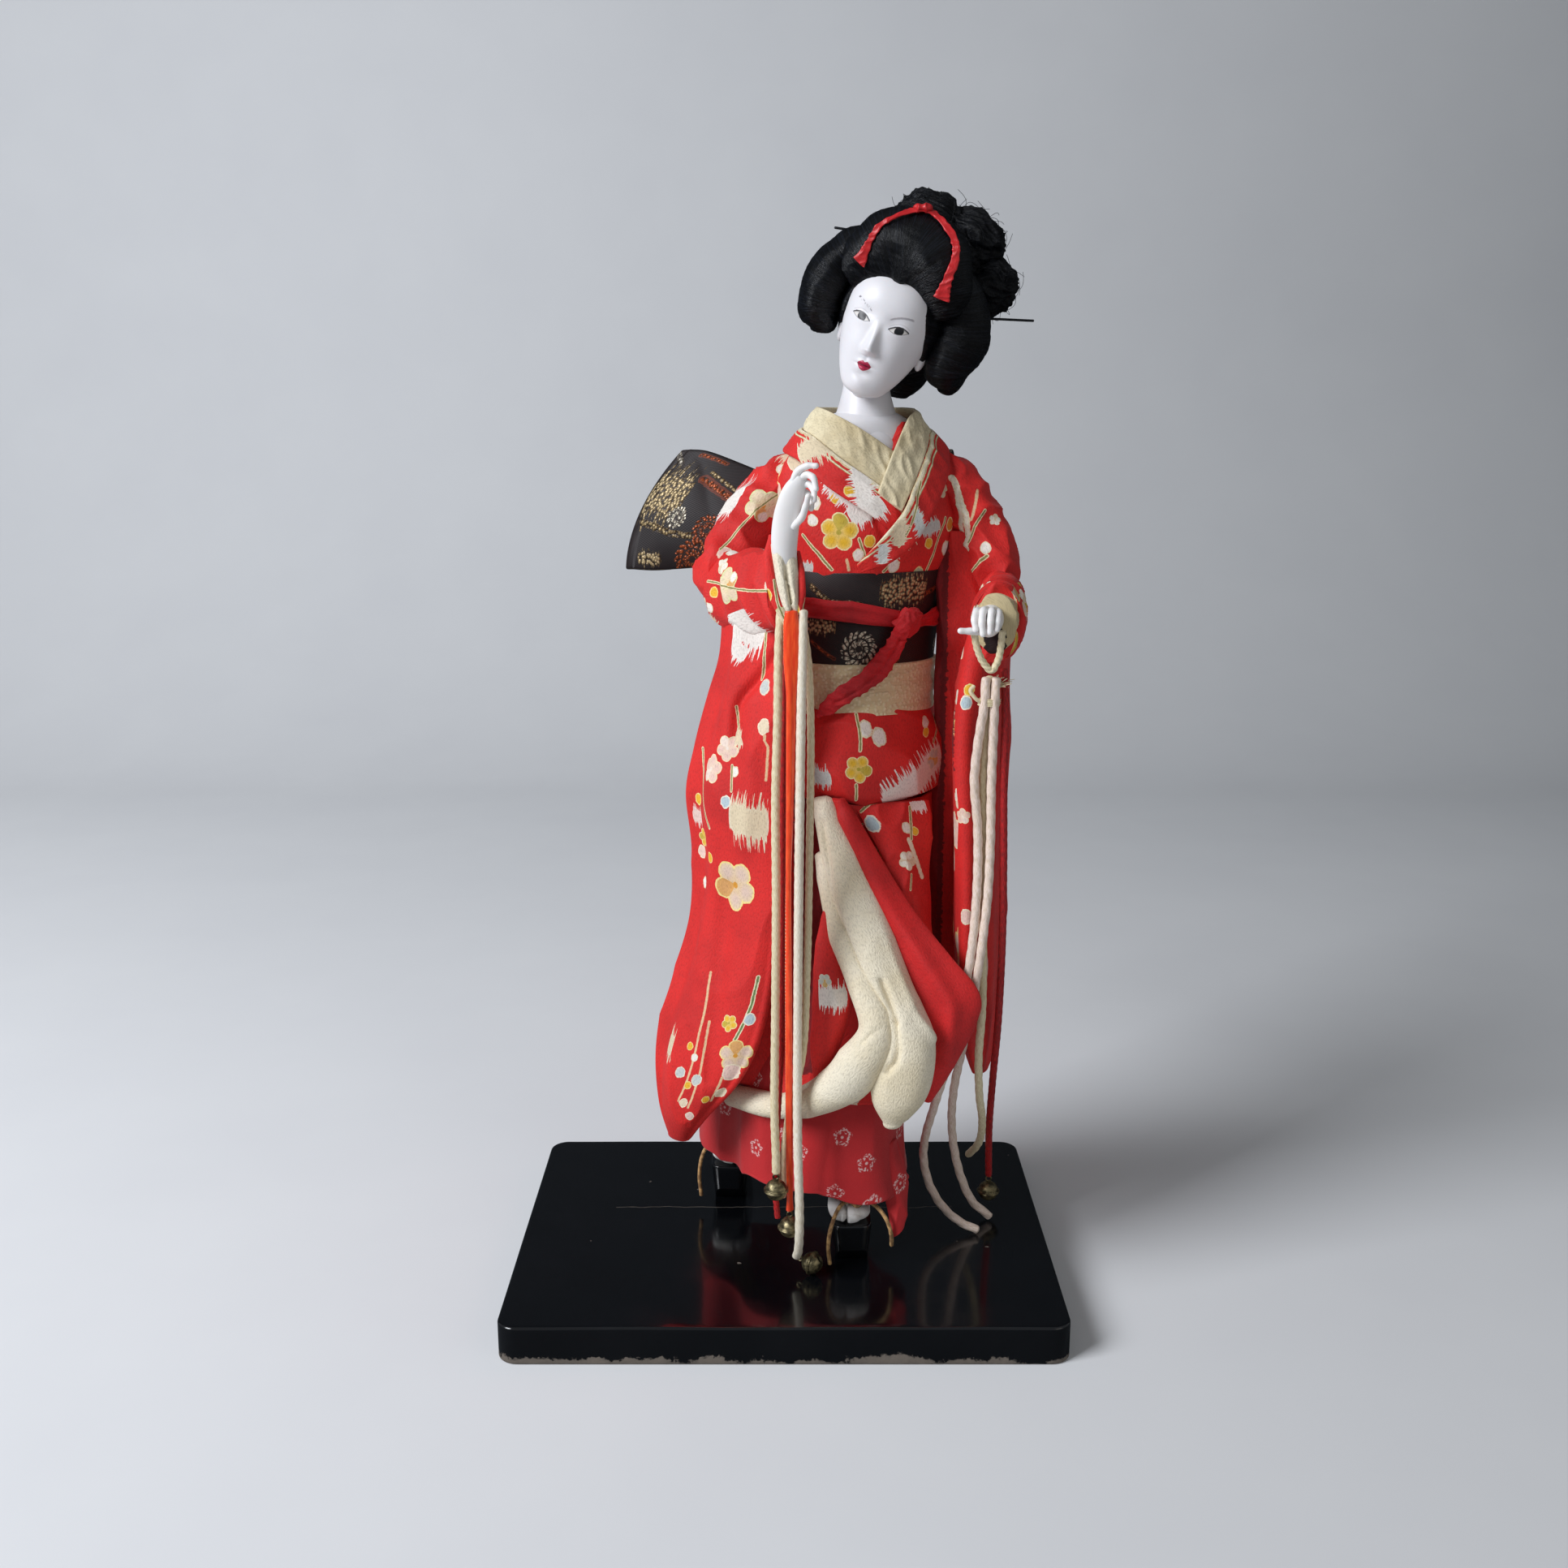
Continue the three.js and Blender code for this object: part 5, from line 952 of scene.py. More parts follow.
def strip(stations, rows, columns, thick, bulge=0.0):
    """A band of cloth between two edges, stations [x, y, z, x, y, z]: a straight line from edge to edge
    that bulges forwards as a half sine, thick through, with its edges rounded. The seam is behind."""
    s = smooth(stations, rows)
    w = (1 - np.cos(np.linspace(0, math.pi, columns))) / 2
    line = s[:, None, :3] * (1 - w[None, :, None]) + s[:, None, 3:] * w[None, :, None]
    line[:, :, 1] -= bulge * np.sin(math.pi * w)
    normal = unit(np.cross(np.gradient(line, axis=0), np.gradient(line, axis=1)))
    half = thick / 2 * np.sqrt(np.clip(1 - np.abs(2 * w - 1) ** 6, 0.0, 1))[None, :, None]
    facing = np.sign(normal[..., 1].mean()) or 1.0
    front, back = line - normal * half * facing, line + normal * half * facing
    middle = columns // 2
    ring = [back[:, middle:0:-1], front, back[:, -2:middle:-1]]
    return np.concatenate(ring, 1)


under = [
    [209, 30, 8, 27, 24, 20], [175, 24, 7, 30, 25, 0], [130, 14, 7, 37, 27, -28], [90, 8, 8, 50, 31, -40],
    [62, 7.6, 8.5, 54, 32, -46], [46.6, 8, 9, 57, 33, -47],
]
rows, columns = 120, 250
rings = stack(under, rows, columns)
angle = turns(columns)[None]
hang_down = np.linspace(0, 1, rows)[:, None]
folds = 2.2 * np.sin(6 * angle + 1.2 * np.sin(2 * angle) + 0.4) * hang_down
rings = pushed(rings, folds + 0.9 * creases(rings, 26, 11, (1, 1, 3)) * hang_down)
rings[-6:, :, 2] += 1.2 * waves(rings[-6:], 22, 5) * np.linspace(0, 1, 6)[:, None]
skirt_under = skin(shell(rings, 0.9), looped=True)
corner = [
    [38, -30, 66, 47, -24, 68], [41, -32, 50, 51, -26, 54], [43, -34, 38, 51.5, -30, 42],
    [44.5, -36.5, 29, 50, -35, 33],
]
tail = strip(corner, 60, 40, 1.4, 1.5)
tail = pushed(tail, 0.5 * creases(tail, 12, 21, (1, 1, 2)))
skirt_under = joined(skirt_under, skin(domed(tail, 0.4, 0.4, 3)))
dress(skirt_under, underskirt_crepe, "deep_red_crepe", "underskirt")


# Robe skirt: the printed kimono wrapped over the underskirt, hitched up at the hip, with a printed panel
# falling over the left thigh.
panel_motifs = [
    (bud, (-10.8, 18.0, 3.1, 0), bud_blue), (stem, (-13.9, 12.9, -6.7, 8.1, 1.4, 0), stem_olive),
    (cloud, (11.8, 11.7, 3.7, 2.8, 0), cloud_white), (bud, (2.9, 20.9, 2.2, 0), bud_white),
    (bud, (6.4, 22.8, 1.8, 0), bud_gold), (stem, (7.7, 12.1, 3.8, 25.9, 1.4, 0), stem_olive),
    (bloom, (-0.9, 34.1, 4.3, 0.4), plum_white), (stem, (2.5, 26.0, 5.3, 42.5, 2.2, 0), leaf_cream),
    (stem, (-0.9, 40.1, -2.6, 45.7, 1.2, 0), stem_olive),
]
# Painted shade: dark red bands laid down the front opening of the skirt, where its inside lies in shadow.
painted_shade_red = ("8A1116", "74090F")
shade_in_opening = [(stem, (11, 214, 12, 128, 14.0, 0), painted_shade_red), (stem, (12, 130, 8, 104, 10.0, 0), painted_shade_red)]
robe_print = red_print("skirt", panel_motifs, 45, deep=shade_in_opening)
robe = [
    [209.6, 30.5, 7.5, 32, 28.5, 20], [185, 27, 7, 34, 29.5, 8], [150, 18, 7, 38.6, 30.6, -14],
    [115, 11, 7.6, 47, 32.6, -32], [88, 8, 8, 53.6, 34.2, -40],
]
rows = 110
rings = stack(robe, rows, columns)
hang_down = np.linspace(0, 1, rows)[:, None]
folds = 1.9 * np.sin(7 * angle + 1.5 * np.sin(2 * angle) + 1.1) * hang_down**0.7
rings = pushed(rings, folds + 0.8 * creases(rings, 24, 31, (1, 1, 3)))
skirt_robe = skin(shell(rings, 1.1), looped=True)
panel = [
    [27, -21, 209.6, 59, -12, 209.6], [36, -26, 195, 59.5, -15, 196], [45, -30, 178, 59, -19, 180],
    [53, -34, 163, 58.5, -24, 164], [57, -35, 152, 58.8, -31, 150],
]
panel = strip(panel, 90, 80, 2.4, 2.5)
panel = pushed(panel, 0.7 * creases(panel, 18, 41, (1, 1, 2)))
skirt_robe = joined(skirt_robe, skin(domed(panel, 0.5, 0.5, 3)))
dress(skirt_robe, robe_print, "red_crepe", "robe_skirt")


# Lining: the robe's thickly padded cream hem, rolled open in front in two long soft folds that fall to
# the hem and round to the right.
cream_lining = crepe("cream lining crepe", "F2E8D0", "E4D6B6", depth=0.0005)


def furrow(rings, route, depth, width):
    """A groove along a line of points: minus depth times the bell curve of the distance over width. A
    negative depth gives a ridge."""
    path = smooth(route, 16 * len(route))
    far = np.full(rings.shape[:2], 1e9)
    for point in path:
        far = np.minimum(far, np.linalg.norm(rings - point, axis=-1))
    return -depth * np.exp(-((far / width) ** 2))


outer_fold = [
    [212, 15.8, -24, 5.2, 4, 0], [193, 22.4, -28, 8, 5, 0], [175, 28.6, -34, 9.6, 6, 0],
    [155, 36, -40, 10, 7, 0], [138, 44, -46, 9, 7.6, 0], [125, 49.6, -50, 9.8, 8.4, 0],
    [110, 47.4, -51, 12.4, 9.6, 0], [97, 45.6, -51, 10.6, 8.6, 0], [87, 43.4, -50.6, 4, 3.6, 0],
]
inner_fold = [
    [15, -25, 190, 3, 4], [22, -32, 165, 6, 5.4], [31, -41, 143, 7, 7], [36.4, -49, 126, 7.4, 8],
    [29.6, -50.4, 110.6, 10, 8.4], [20, -46, 99, 8.6, 8], [9, -39.6, 91, 6.6, 6.6],
    [0, -31.4, 85.4, 5, 5.4], [-11, -22, 83, 4.6, 5.2], [-22, -10, 81, 4, 4.6],
]
rings = domed(stack(outer_fold, 130, 110), 2, 3)
route = [
    [14.7, -30, 205], [18, -33, 186], [21.8, -37, 169], [26.2, -42, 156], [33.7, -49, 141], [43, -56, 130],
]
crisp = furrow(rings, route, 1.5, 1.3)
route = [[38, -51, 146], [41, -53.5, 138], [43, -56, 130], [43.6, -59, 118], [39.9, -59, 112]]
crisp += furrow(rings, route, 2.6, 1.5)
route = [[36, -42, 178], [41, -45, 163], [47, -50, 147], [53, -55, 134], [59.4, -54, 124]]
crisp += furrow(rings, route, -1.6, 2.2)
rings = pushed(rings, crisp + 0.25 * creases(rings, 30, 51, (0.7, 1, 2.6)))
one = skin(rings)
rings = domed(limb(inner_fold, 150, 90, (1, 0, -0.5)), 2, 2)
route = [[8.5, -44, 99], [14, -46, 102], [20, -50, 108], [27, -55, 118], [34.4, -57, 127], [43.6, -56, 130.5]]
seam = furrow(rings, route, 1.0, 0.7)
seam += furrow(rings, [[7.8, -42, 98], [9.1, -47.8, 93.6], [8.8, -44.5, 86]], 0.9, 0.7)
rings = pushed(rings, seam + 0.25 * creases(rings, 26, 61, (2, 1, 1.2)))
lining = joined(one, skin(rings))
dress(lining, cream_lining, "cream_crepe", "robe_lining")

# Red panel: the plain red facing turned out over the cream, edged with a thin cream piping.
panel_crepe = crepe("plain red crepe", "D81C1C", "B91315")
face_of = [
    [19, -23, 213, 24, -25, 213], [26, -26, 190, 38, -31, 191], [32, -31, 168, 52, -36, 170],
    [38, -36, 148, 66, -42, 153], [44, -40, 132, 77, -45.6, 139], [50, -42, 115, 76, -44, 126],
    [54, -41, 101, 67, -40.6, 105], [56, -39, 92, 60, -38, 92],
]
rings = strip(face_of, 150, 90, 2.4, 3)
route = [
    [24, -28, 206], [28.5, -31.6, 198], [36.5, -35, 181], [44.2, -37.4, 168], [62.8, -47, 141],
    [66, -48, 131], [64, -46, 112],
]
ridge = furrow(rings, route, -1.8, 3.2)
rings = pushed(rings, ridge + 0.35 * creases(rings, 30, 71, (1, 1, 2.4)))
red = skin(domed(rings, 0.5, 0.5, 3))
dress(red, panel_crepe, "deep_red_crepe", "red_panel")

# Small flap: a narrow turned-back end of the printed cloth beside the opening.
flap_motifs = [
    (cloud, (0.7, 42.8, 6.2, 4.6, 0), cloud_white),
    (bloom, (-2.3, 36.3, 2.8, 0.3), plum_grey),
]
flap_print = red_print("flap", flap_motifs, 30)
flap = [
    [176, 19, -30.5, 1.6, 2, 0], [158, 17.4, -33, 4.4, 3, 0], [143, 18.4, -36, 6.8, 4, 0],
    [131, 19, -38, 7.8, 5, 0], [116, 16.6, -38.5, 6.4, 4.4, 0], [101, 14.4, -38.4, 2.6, 2.4, 0],
]
rings = domed(stack(flap, 90, 72), 0.8, 0.8)
fold = furrow(rings, [[19, -36, 172], [20.5, -42, 150], [19, -45, 132]], -1.4, 2.0)
fold += furrow(rings, [[9, -44, 126], [16, -46, 124], [25, -45, 127]], 2.0, 1.3)
rings = pushed(rings, fold + 0.2 * creases(rings, 10, 81, (1, 1, 2)))
small = dress(skin(rings), flap_print, "red_crepe", "small_flap")


# Waist: the hitched fold of the robe, a cream silk sash, the brocade obi and its twisted red cord.
hip_motifs = [
    (bloom, (-11.6, 49.8, 5.8, 0.2), plum_gold), (cloud, (16.0, 56.5, 19.0, 7.0, -0.5), cloud_white),
    (bloom, (26.1, 49.4, 4.6, 0.5), plum_grey), (bud, (-8.7, 33.9, 3.1, 0), bud_white),
    (bud, (-2.9, 37.1, 3.4, 0), bud_white), (stem, (-11.5, 28.0, -10.9, 42.3, 1.5, 0), stem_olive),
    (bud, (20.5, 37.8, 1.8, 0), bud_gold), (bud, (20.3, 33.6, 2.2, 0), bud_white),
    (stem, (31.7, 32.3, 25.6, 42.8, 1.4, 0), stem_olive),
    (stem, (-12.8, 56.0, -12.6, 61.8, 1.4, 0), stem_olive), (cloud, (-27.3, 53.7, 4.3, 3.7, 0), cloud_grey),
]
hip_print = red_print("hip fold", hip_motifs, 42)
fold = [
    [247, 31, 9, 31, 26, 20], [238, 30.8, 8, 33.4, 29, 20], [224, 30.5, 7, 35.4, 31.6, 20],
    [214, 30.4, 7, 34.6, 31, 20], [210, 30.4, 7.4, 31, 27.6, 20],
]
rings = stack(fold, 70, columns)
rings = pushed(rings, 0.7 * creases(rings, 20, 91, (1, 1, 1.6)) + 0.5 * waves(rings, 30, 92))
hip = dress(skin(domed(rings, 0.5, 0.5, 3)), hip_print, "red_crepe", "hip_fold")

# Cream silk with a slight shine, ribbed along its length and dimpled; the dimples are painted darker, as
# painted shade.
sash_silk, tree, shader, place, uv = finish("cream figured silk")
line = calc("SINE", calc("MULTIPLY", add(tree, "ShaderNodeSeparateXYZ", {0: uv}).outputs[1], 5.2))
tie = add(tree, "ShaderNodeTexVoronoi", {"Vector": uv, "Scale": 0.55}, voronoi_dimensions="2D")
dimple_and_shade = between(tie.outputs["Distance"], 0.15, 0.5)
base = mixed(dimple_and_shade, tone("F2E6C2"), tone("D9C898"))
surface(shader, mixed(noise(place, 60.0), base, tone("D9C79C")), Roughness=0.5, Sheen_Weight=0.2)
relief(shader, calc("SUBTRACT", calc("MULTIPLY", line, 0.1), dimple_and_shade), 0.0002)
sash = [
    [245, 31, 9, 31.4, 26, 20], [255, 31.6, 9.4, 31.4, 25.4, 20], [265, 32, 10, 31.4, 25.2, 20],
]
rings = stack(sash, 54, columns)
level = np.linspace(-1, 1, len(rings))[:, None]
tuck = 0.3 * creases(rings, 5, 101, (8, 8, 1)) * np.clip((1 - np.abs(level)) * 5, 0, 1)
rings = domed(pushed(rings, tuck), 0.6, 0.6, 3)
band = dress(skin(rings), sash_silk, "sash_silk", "waist_sash")

# Brocade: black-brown silk with woven gold, rust and grey, thick ribs across the weave. Its figures are
# knotted gold clouds, serpentine bands, chrysanthemums and stepped rust mist.
mum, given, out = stencil("chrysanthemum", {**round_sizes, **colours})
spot = add(mum, "ShaderNodeSeparateXYZ", {0: given["Where"]}).outputs
dx, dy = calc("SUBTRACT", spot[0], given["X"]), calc("SUBTRACT", spot[1], given["Y"])
far = calc("DIVIDE", length_of(dx, dy), given["Radius"])
round_it = calc("MULTIPLY_ADD", far, 0.9, calc("SUBTRACT", calc("ARCTAN2", dy, dx), given["Turn"]))
petal = calc("ABSOLUTE", calc("COSINE", calc("MULTIPLY", round_it, 8.0)))
tip = calc("MULTIPLY_ADD", petal, 0.2, 0.8)
inside = mixed(between(petal, 0.3, 0.5), given["Line"], given["Fill"])
ring = calc("ABSOLUTE", calc("SUBTRACT", far, 0.56))
inside = mixed(between(ring, 0.06, 0.03), inside, given["Line"])
inside = mixed(between(far, 0.2, 0.16), inside, given["Heart"])
mum.links.new(mixed(calc("LESS_THAN", far, tip), given["Ground"], inside), out)

gold_cloud = ("C9B184", "8F7850")
gold_band = ("B79F72", "7C6744")
silver_band = ("CFC8B8", "8B8272")
rust_band = ("B0562C", "6B2E18")
gold_mum = ("E5DCC4", "2A1D16", "1E1613")
rust_mum = ("B4572A", "2A1712", "2A1712")


def brocade(name, motifs):
    """Woven figures: knotted or ribbed thread stands up and shines wherever the pattern is light, and is
    painted dark brown between the knots as painted shade.
    """
    material, tree, shader, place, uv = finish(name)
    spot = add(tree, "ShaderNodeSeparateXYZ", {0: uv}).outputs
    rib = calc("SINE", calc("MULTIPLY", calc("ADD", spot[1], calc("MULTIPLY", spot[0], 0.5)), 9.0))
    knob = add(tree, "ShaderNodeTexVoronoi", {"Vector": uv, "Scale": 0.75}, voronoi_dimensions="2D")
    colour = mixed(noise(uv, 0.3), tone("171113"), tone("271B1A"))
    colour = lay(uv, colour, motifs)
    light = add(tree, "ShaderNodeRGBToBW", {0: colour}).outputs[0]
    thread = between(light, 0.035, 0.12)
    knotted = between(knob.outputs["Distance"], 0.75, 0.1)
    # Painted shade: light thread between the knots is darkened to brown.
    dark = mixed(calc("MULTIPLY", thread, calc("SUBTRACT", 1.0, knotted)), colour, tone("2B1F18"))
    tree.links.new(dark, shader.inputs["Base Color"])
    tree.links.new(calc("MULTIPLY_ADD", thread, -0.2, 0.55), shader.inputs["Roughness"])
    tree.links.new(calc("MULTIPLY", thread, 0.35), shader.inputs["Metallic"])
    height = calc("ADD", calc("MULTIPLY", rib, 0.12), calc("MULTIPLY", thread, knotted))
    relief(shader, height, 0.0003)
    return material


obi_motifs = [
    (mum, (-11.4, 34.1, 7.4, 0.2), gold_mum), (cloud, (6.2, 57.0, 11.1, 5.5, 0), gold_cloud),
    (stem, (-33.0, 58.6, -24.5, 52.5, 2.4, 0.3), gold_band),
    (stem, (-24.5, 52.5, -12.2, 51.8, 2.2, -0.3), gold_band),
    (stem, (-11.9, 48.6, -6.2, 49.5, 1.2, 0.1), silver_band),
    (stem, (-3.3, 46.8, 9.5, 45.5, 1.2, 0.1), rust_band),
    (stem, (17.0, 55.0, 30.0, 58.0, 2.2, 0.1), rust_band), (mum, (33.0, 33.0, 4.6, 0.1), gold_mum),
    (stem, (-31.3, 36.6, -20.8, 30.2, 1.5, 0.2), rust_band),
    (cloud, (-27.9, 42.7, 6.8, 2.8, 0), gold_cloud), (mum, (3.2, 29.8, 3.1, 0.1), rust_mum),
    (cloud, (60.0, 45.0, 9.0, 6.0, 0.3), gold_cloud), (mum, (-62.0, 48.0, 8.0, 0.3), gold_mum),
    (stem, (70.0, 34.0, 92.0, 52.0, 2.4, 0.3), gold_band),
    (stem, (-92.0, 34.0, -74.0, 50.0, 2.4, -0.3), rust_band),
]
bow_motifs = [
    (cloud, (-12.7, 27.6, 9.8, 8.6, 0), gold_cloud), (stem, (-0.7, 44.3, -8.0, 39.5, 1.7, 0), silver_band),
    (stem, (-23.4, 35.2, -41.0, 29.5, 3.7, 0.1), rust_band),
    (stem, (-24.1, 38.2, -41.4, 32.9, 1.5, 0.1), gold_band),
    (stem, (-7.6, 17.2, -20.9, 14.1, 2.5, 0.25), gold_band),
    (stem, (-20.9, 14.1, -34.5, 13.0, 2.5, -0.25), gold_band), (mum, (-38.2, 15.2, 6.8, 0.2), rust_mum),
    (mum, (-33.0, 3.3, 8.3, 0.1), rust_mum), (mum, (-23.1, 19.8, 4.3, 0.1), gold_mum),
    (cloud, (-13.4, 4.2, 5.5, 2.5, 0), gold_cloud), (stem, (-12.6, 43.6, -25.6, 43.2, 1.8, 0.2), rust_band),
    (mum, (-56.0, 32.0, 7.0, 0.2), gold_mum), (mum, (22.0, 14.0, 7.5, 0.2), gold_mum),
    (cloud, (30.0, 36.0, 9.0, 6.0, 0.3), gold_cloud), (stem, (12.0, 40.0, 34.0, 20.0, 2.6, 0.3), gold_band),
    (stem, (48.0, 8.0, 60.0, 34.0, 3.0, 0.2), rust_band),
]
obi_brocade = brocade("brown and gold brocade, obi", obi_motifs)
belt = [
    [263, 32, 10, 30, 24, 20], [282, 33, 11, 30.4, 24, 20], [301, 34.4, 12, 31.6, 25, 20],
]
rings = stack(belt, 70, columns)
rings = domed(pushed(rings, 0.35 * waves(rings, 26, 111)), 0.8, 0.8, 3)
obi = dress(skin(rings), obi_brocade, "brocade", "obi")

# Obi cord: a soft flat tube of crimson silk round the obi, knotted in front on the left side, with one
# end hanging down to the right and tucked into the hitched fold.
cord_silk = crepe("soft crimson silk", "D0121C", "A00A14")


def ball(centre, half, rows, sides, start=0.0, pole=0.03):
    """An ellipsoid from pole to pole: the centre plus its half sizes times the sines and cosines of two
    angles."""
    (x, y, z), (a, b, c) = centre, half
    t, turn = np.linspace(pole, math.pi - pole, rows)[:, None], turns(sides, start)[None]
    side = [x + a * np.sin(t) * np.cos(turn), y + b * np.sin(t) * np.sin(turn)]
    return np.stack([*side, z + c * np.cos(t) + 0 * turn], 2)


psi = np.linspace(-math.pi, math.pi, 280, endpoint=False)[:, None]
level = np.interp(
    psi, [-math.pi, -1.3, -0.5, 0.1, 0.5, 0.8, 1.4, math.pi],
    [284, 287.4, 286.2, 283.4, 281.6, 282.4, 284.6, 284],
)
high = np.interp(
    psi, [-math.pi, -1.3, -0.2, 0.35, 0.55, 0.75, 1.3, math.pi], [4.2, 4.0, 4.0, 3.0, 2.4, 3.4, 6.2, 4.2]
)
phi = turns(52)[None]
out = 1.35 + 1.0 * np.cos(phi)
ribbed = 0.35 * np.sin(3.2 * np.sin(phi) * 2 + 1.5 * np.sin(3 * psi)) * np.clip(np.cos(phi), 0, 1)
out = out + ribbed
u, v = (30.4 + out) * np.sin(psi), -(24.2 + out) * np.cos(psi)
c, s = math.cos(math.radians(20)), math.sin(math.radians(20))
z = level + high * np.sign(np.sin(phi)) * np.abs(np.sin(phi)) ** 0.8
rings = np.stack([33 + u * c - v * s, 11.1 + u * s + v * c, z], 2)
rings = pushed(rings, 0.3 * creases(rings, 8, 401, (3, 3, 1)), looped=True)
one = skin(rings, looped=True)
rows, sides, pole = 44, 66, 0.03
t = np.linspace(pole, math.pi - pole, rows)[:, None]
turn = turns(sides)[None]
knot = ball((48.6, -14.2, 281.8), (5.4, 3.6, 5.0), rows, sides, pole=pole)
knot = pushed(knot, 0.9 * creases(knot, 7, 411, (1, 1, 1)) + 0.5 * np.sin(3 * turn + 2.2 * t))
over = [
    [53, -11.5, 285.6, 2.4, 1.1], [50.6, -16.2, 285.4, 2.8, 1.3], [47.6, -18.4, 281.8, 3.0, 1.4],
    [45.4, -17.4, 277.6, 3.0, 1.3], [44.6, -13.6, 275.2, 2.4, 1.0],
]
wrap = limb(over, 60, 48, (0.8, 0, -0.6))
wrap = pushed(wrap, 0.25 * creases(wrap, 4, 412))
two = joined(skin(knot), skin(domed(wrap, 0.8, 0.8)))
tail = [
    [46.6, -15.6, 279.6, 3.0, 1.4], [42.8, -17.6, 272.4, 3.9, 1.3], [37.6, -19.2, 264.8, 4.4, 1.3],
    [31, -20.2, 259, 3.9, 1.3], [24, -20.6, 254.4, 3.9, 1.2], [18, -20.6, 249.8, 3.4, 1.1],
    [13.4, -20.0, 245.4, 1.2, 0.8],
]
rings = limb(tail, 130, 64, (0.62, 0, -0.78))
dent = furrow(rings, [[47, -17.5, 277], [38, -20.8, 264], [29, -21.8, 256], [20, -22, 251]], 0.9, 0.8)
rings = pushed(rings, 0.35 * creases(rings, 5, 421, (1.5, 1, 1)) + dent)
girdle = joined(one, two, skin(domed(rings, 0.6, 0.5)))
dress(girdle, cord_silk, "red_cord", "obi_cord")

# Bow: two broad flat loops of the same brocade folded behind the back, with a cross band. The right one
# is the longer, and leans in towards its top.
bow_brocade = brocade("brown and gold brocade, bow", bow_motifs)


def loop_of(side):
    """A band of cloth that runs out from the knot, folds round and runs back: the two walls are bowed
    along the band's height, twice deep apart in the middle, and its open edges are above and below."""
    reach = 0.893 if side < 0 else 0.6
    table = [
        (4, 2, 315, 5, 12), (22, 4, 317, 8, 17), (48, 9, 319.5, 10, 22.5), (70, 14, 321, 9.4, 26.6),
        (82, 16.6, 321.5, 7, 27),
    ]
    out = smooth([[20 + side * d * reach, 47 + out, z, deep, high] for d, out, z, deep, high in table], 70)
    fold = np.repeat(out[-1:], 17, 0)
    around = np.linspace(-math.pi / 2, math.pi / 2, 17)
    fold[:, 0] += side * 3.4 * np.cos(around)
    path = np.concatenate([out, fold, out[::-1]])
    wall = np.concatenate([np.full(70, -1.0), np.sin(around), np.full(70, 1.0)])
    h = np.linspace(-0.93, 0.93, 60)[:, None]
    x = path[:, 0] + 0 * h
    z = path[:, 2] + h * path[:, 4]
    y = path[:, 1] + wall * (path[:, 3] - 0.4) * np.sqrt(1 - 0.85 * h**2)
    share = np.clip((20 - x) / 84 / reach, 0, 1) if side < 0 else 0
    x = x + side * (6.0 if side < 0 else 3.0) * (1 - h**2) * (np.abs(x - 20) / 84 / reach) ** 2
    rings = np.stack([x + 0.5 * (z - 320) * share, y, z], 2)
    far = np.abs(x - 20) / 80
    rings[..., 1] += (0.8 * waves(rings, 34, 121) + 0.5 * creases(rings, 30, 122, (1, 1, 2.5))) * far
    return skin(shell(rings, 1.7), looped=True)


knot_band = [
    [298, 22, 42, 6.4, 9, 18], [308, 21.6, 44, 7.4, 12, 18], [322, 21.4, 45, 7.4, 12.6, 18],
    [332, 22, 43, 6.2, 10, 18],
]
rings = stack(knot_band, 60, 90)
rings = domed(pushed(rings, 0.5 * creases(rings, 12, 131, (1, 1, 3))), 1.5, 1.5)
bow = joined(loop_of(-1), loop_of(1), skin(rings))
dress(bow, bow_brocade, "brocade", "obi_bow")


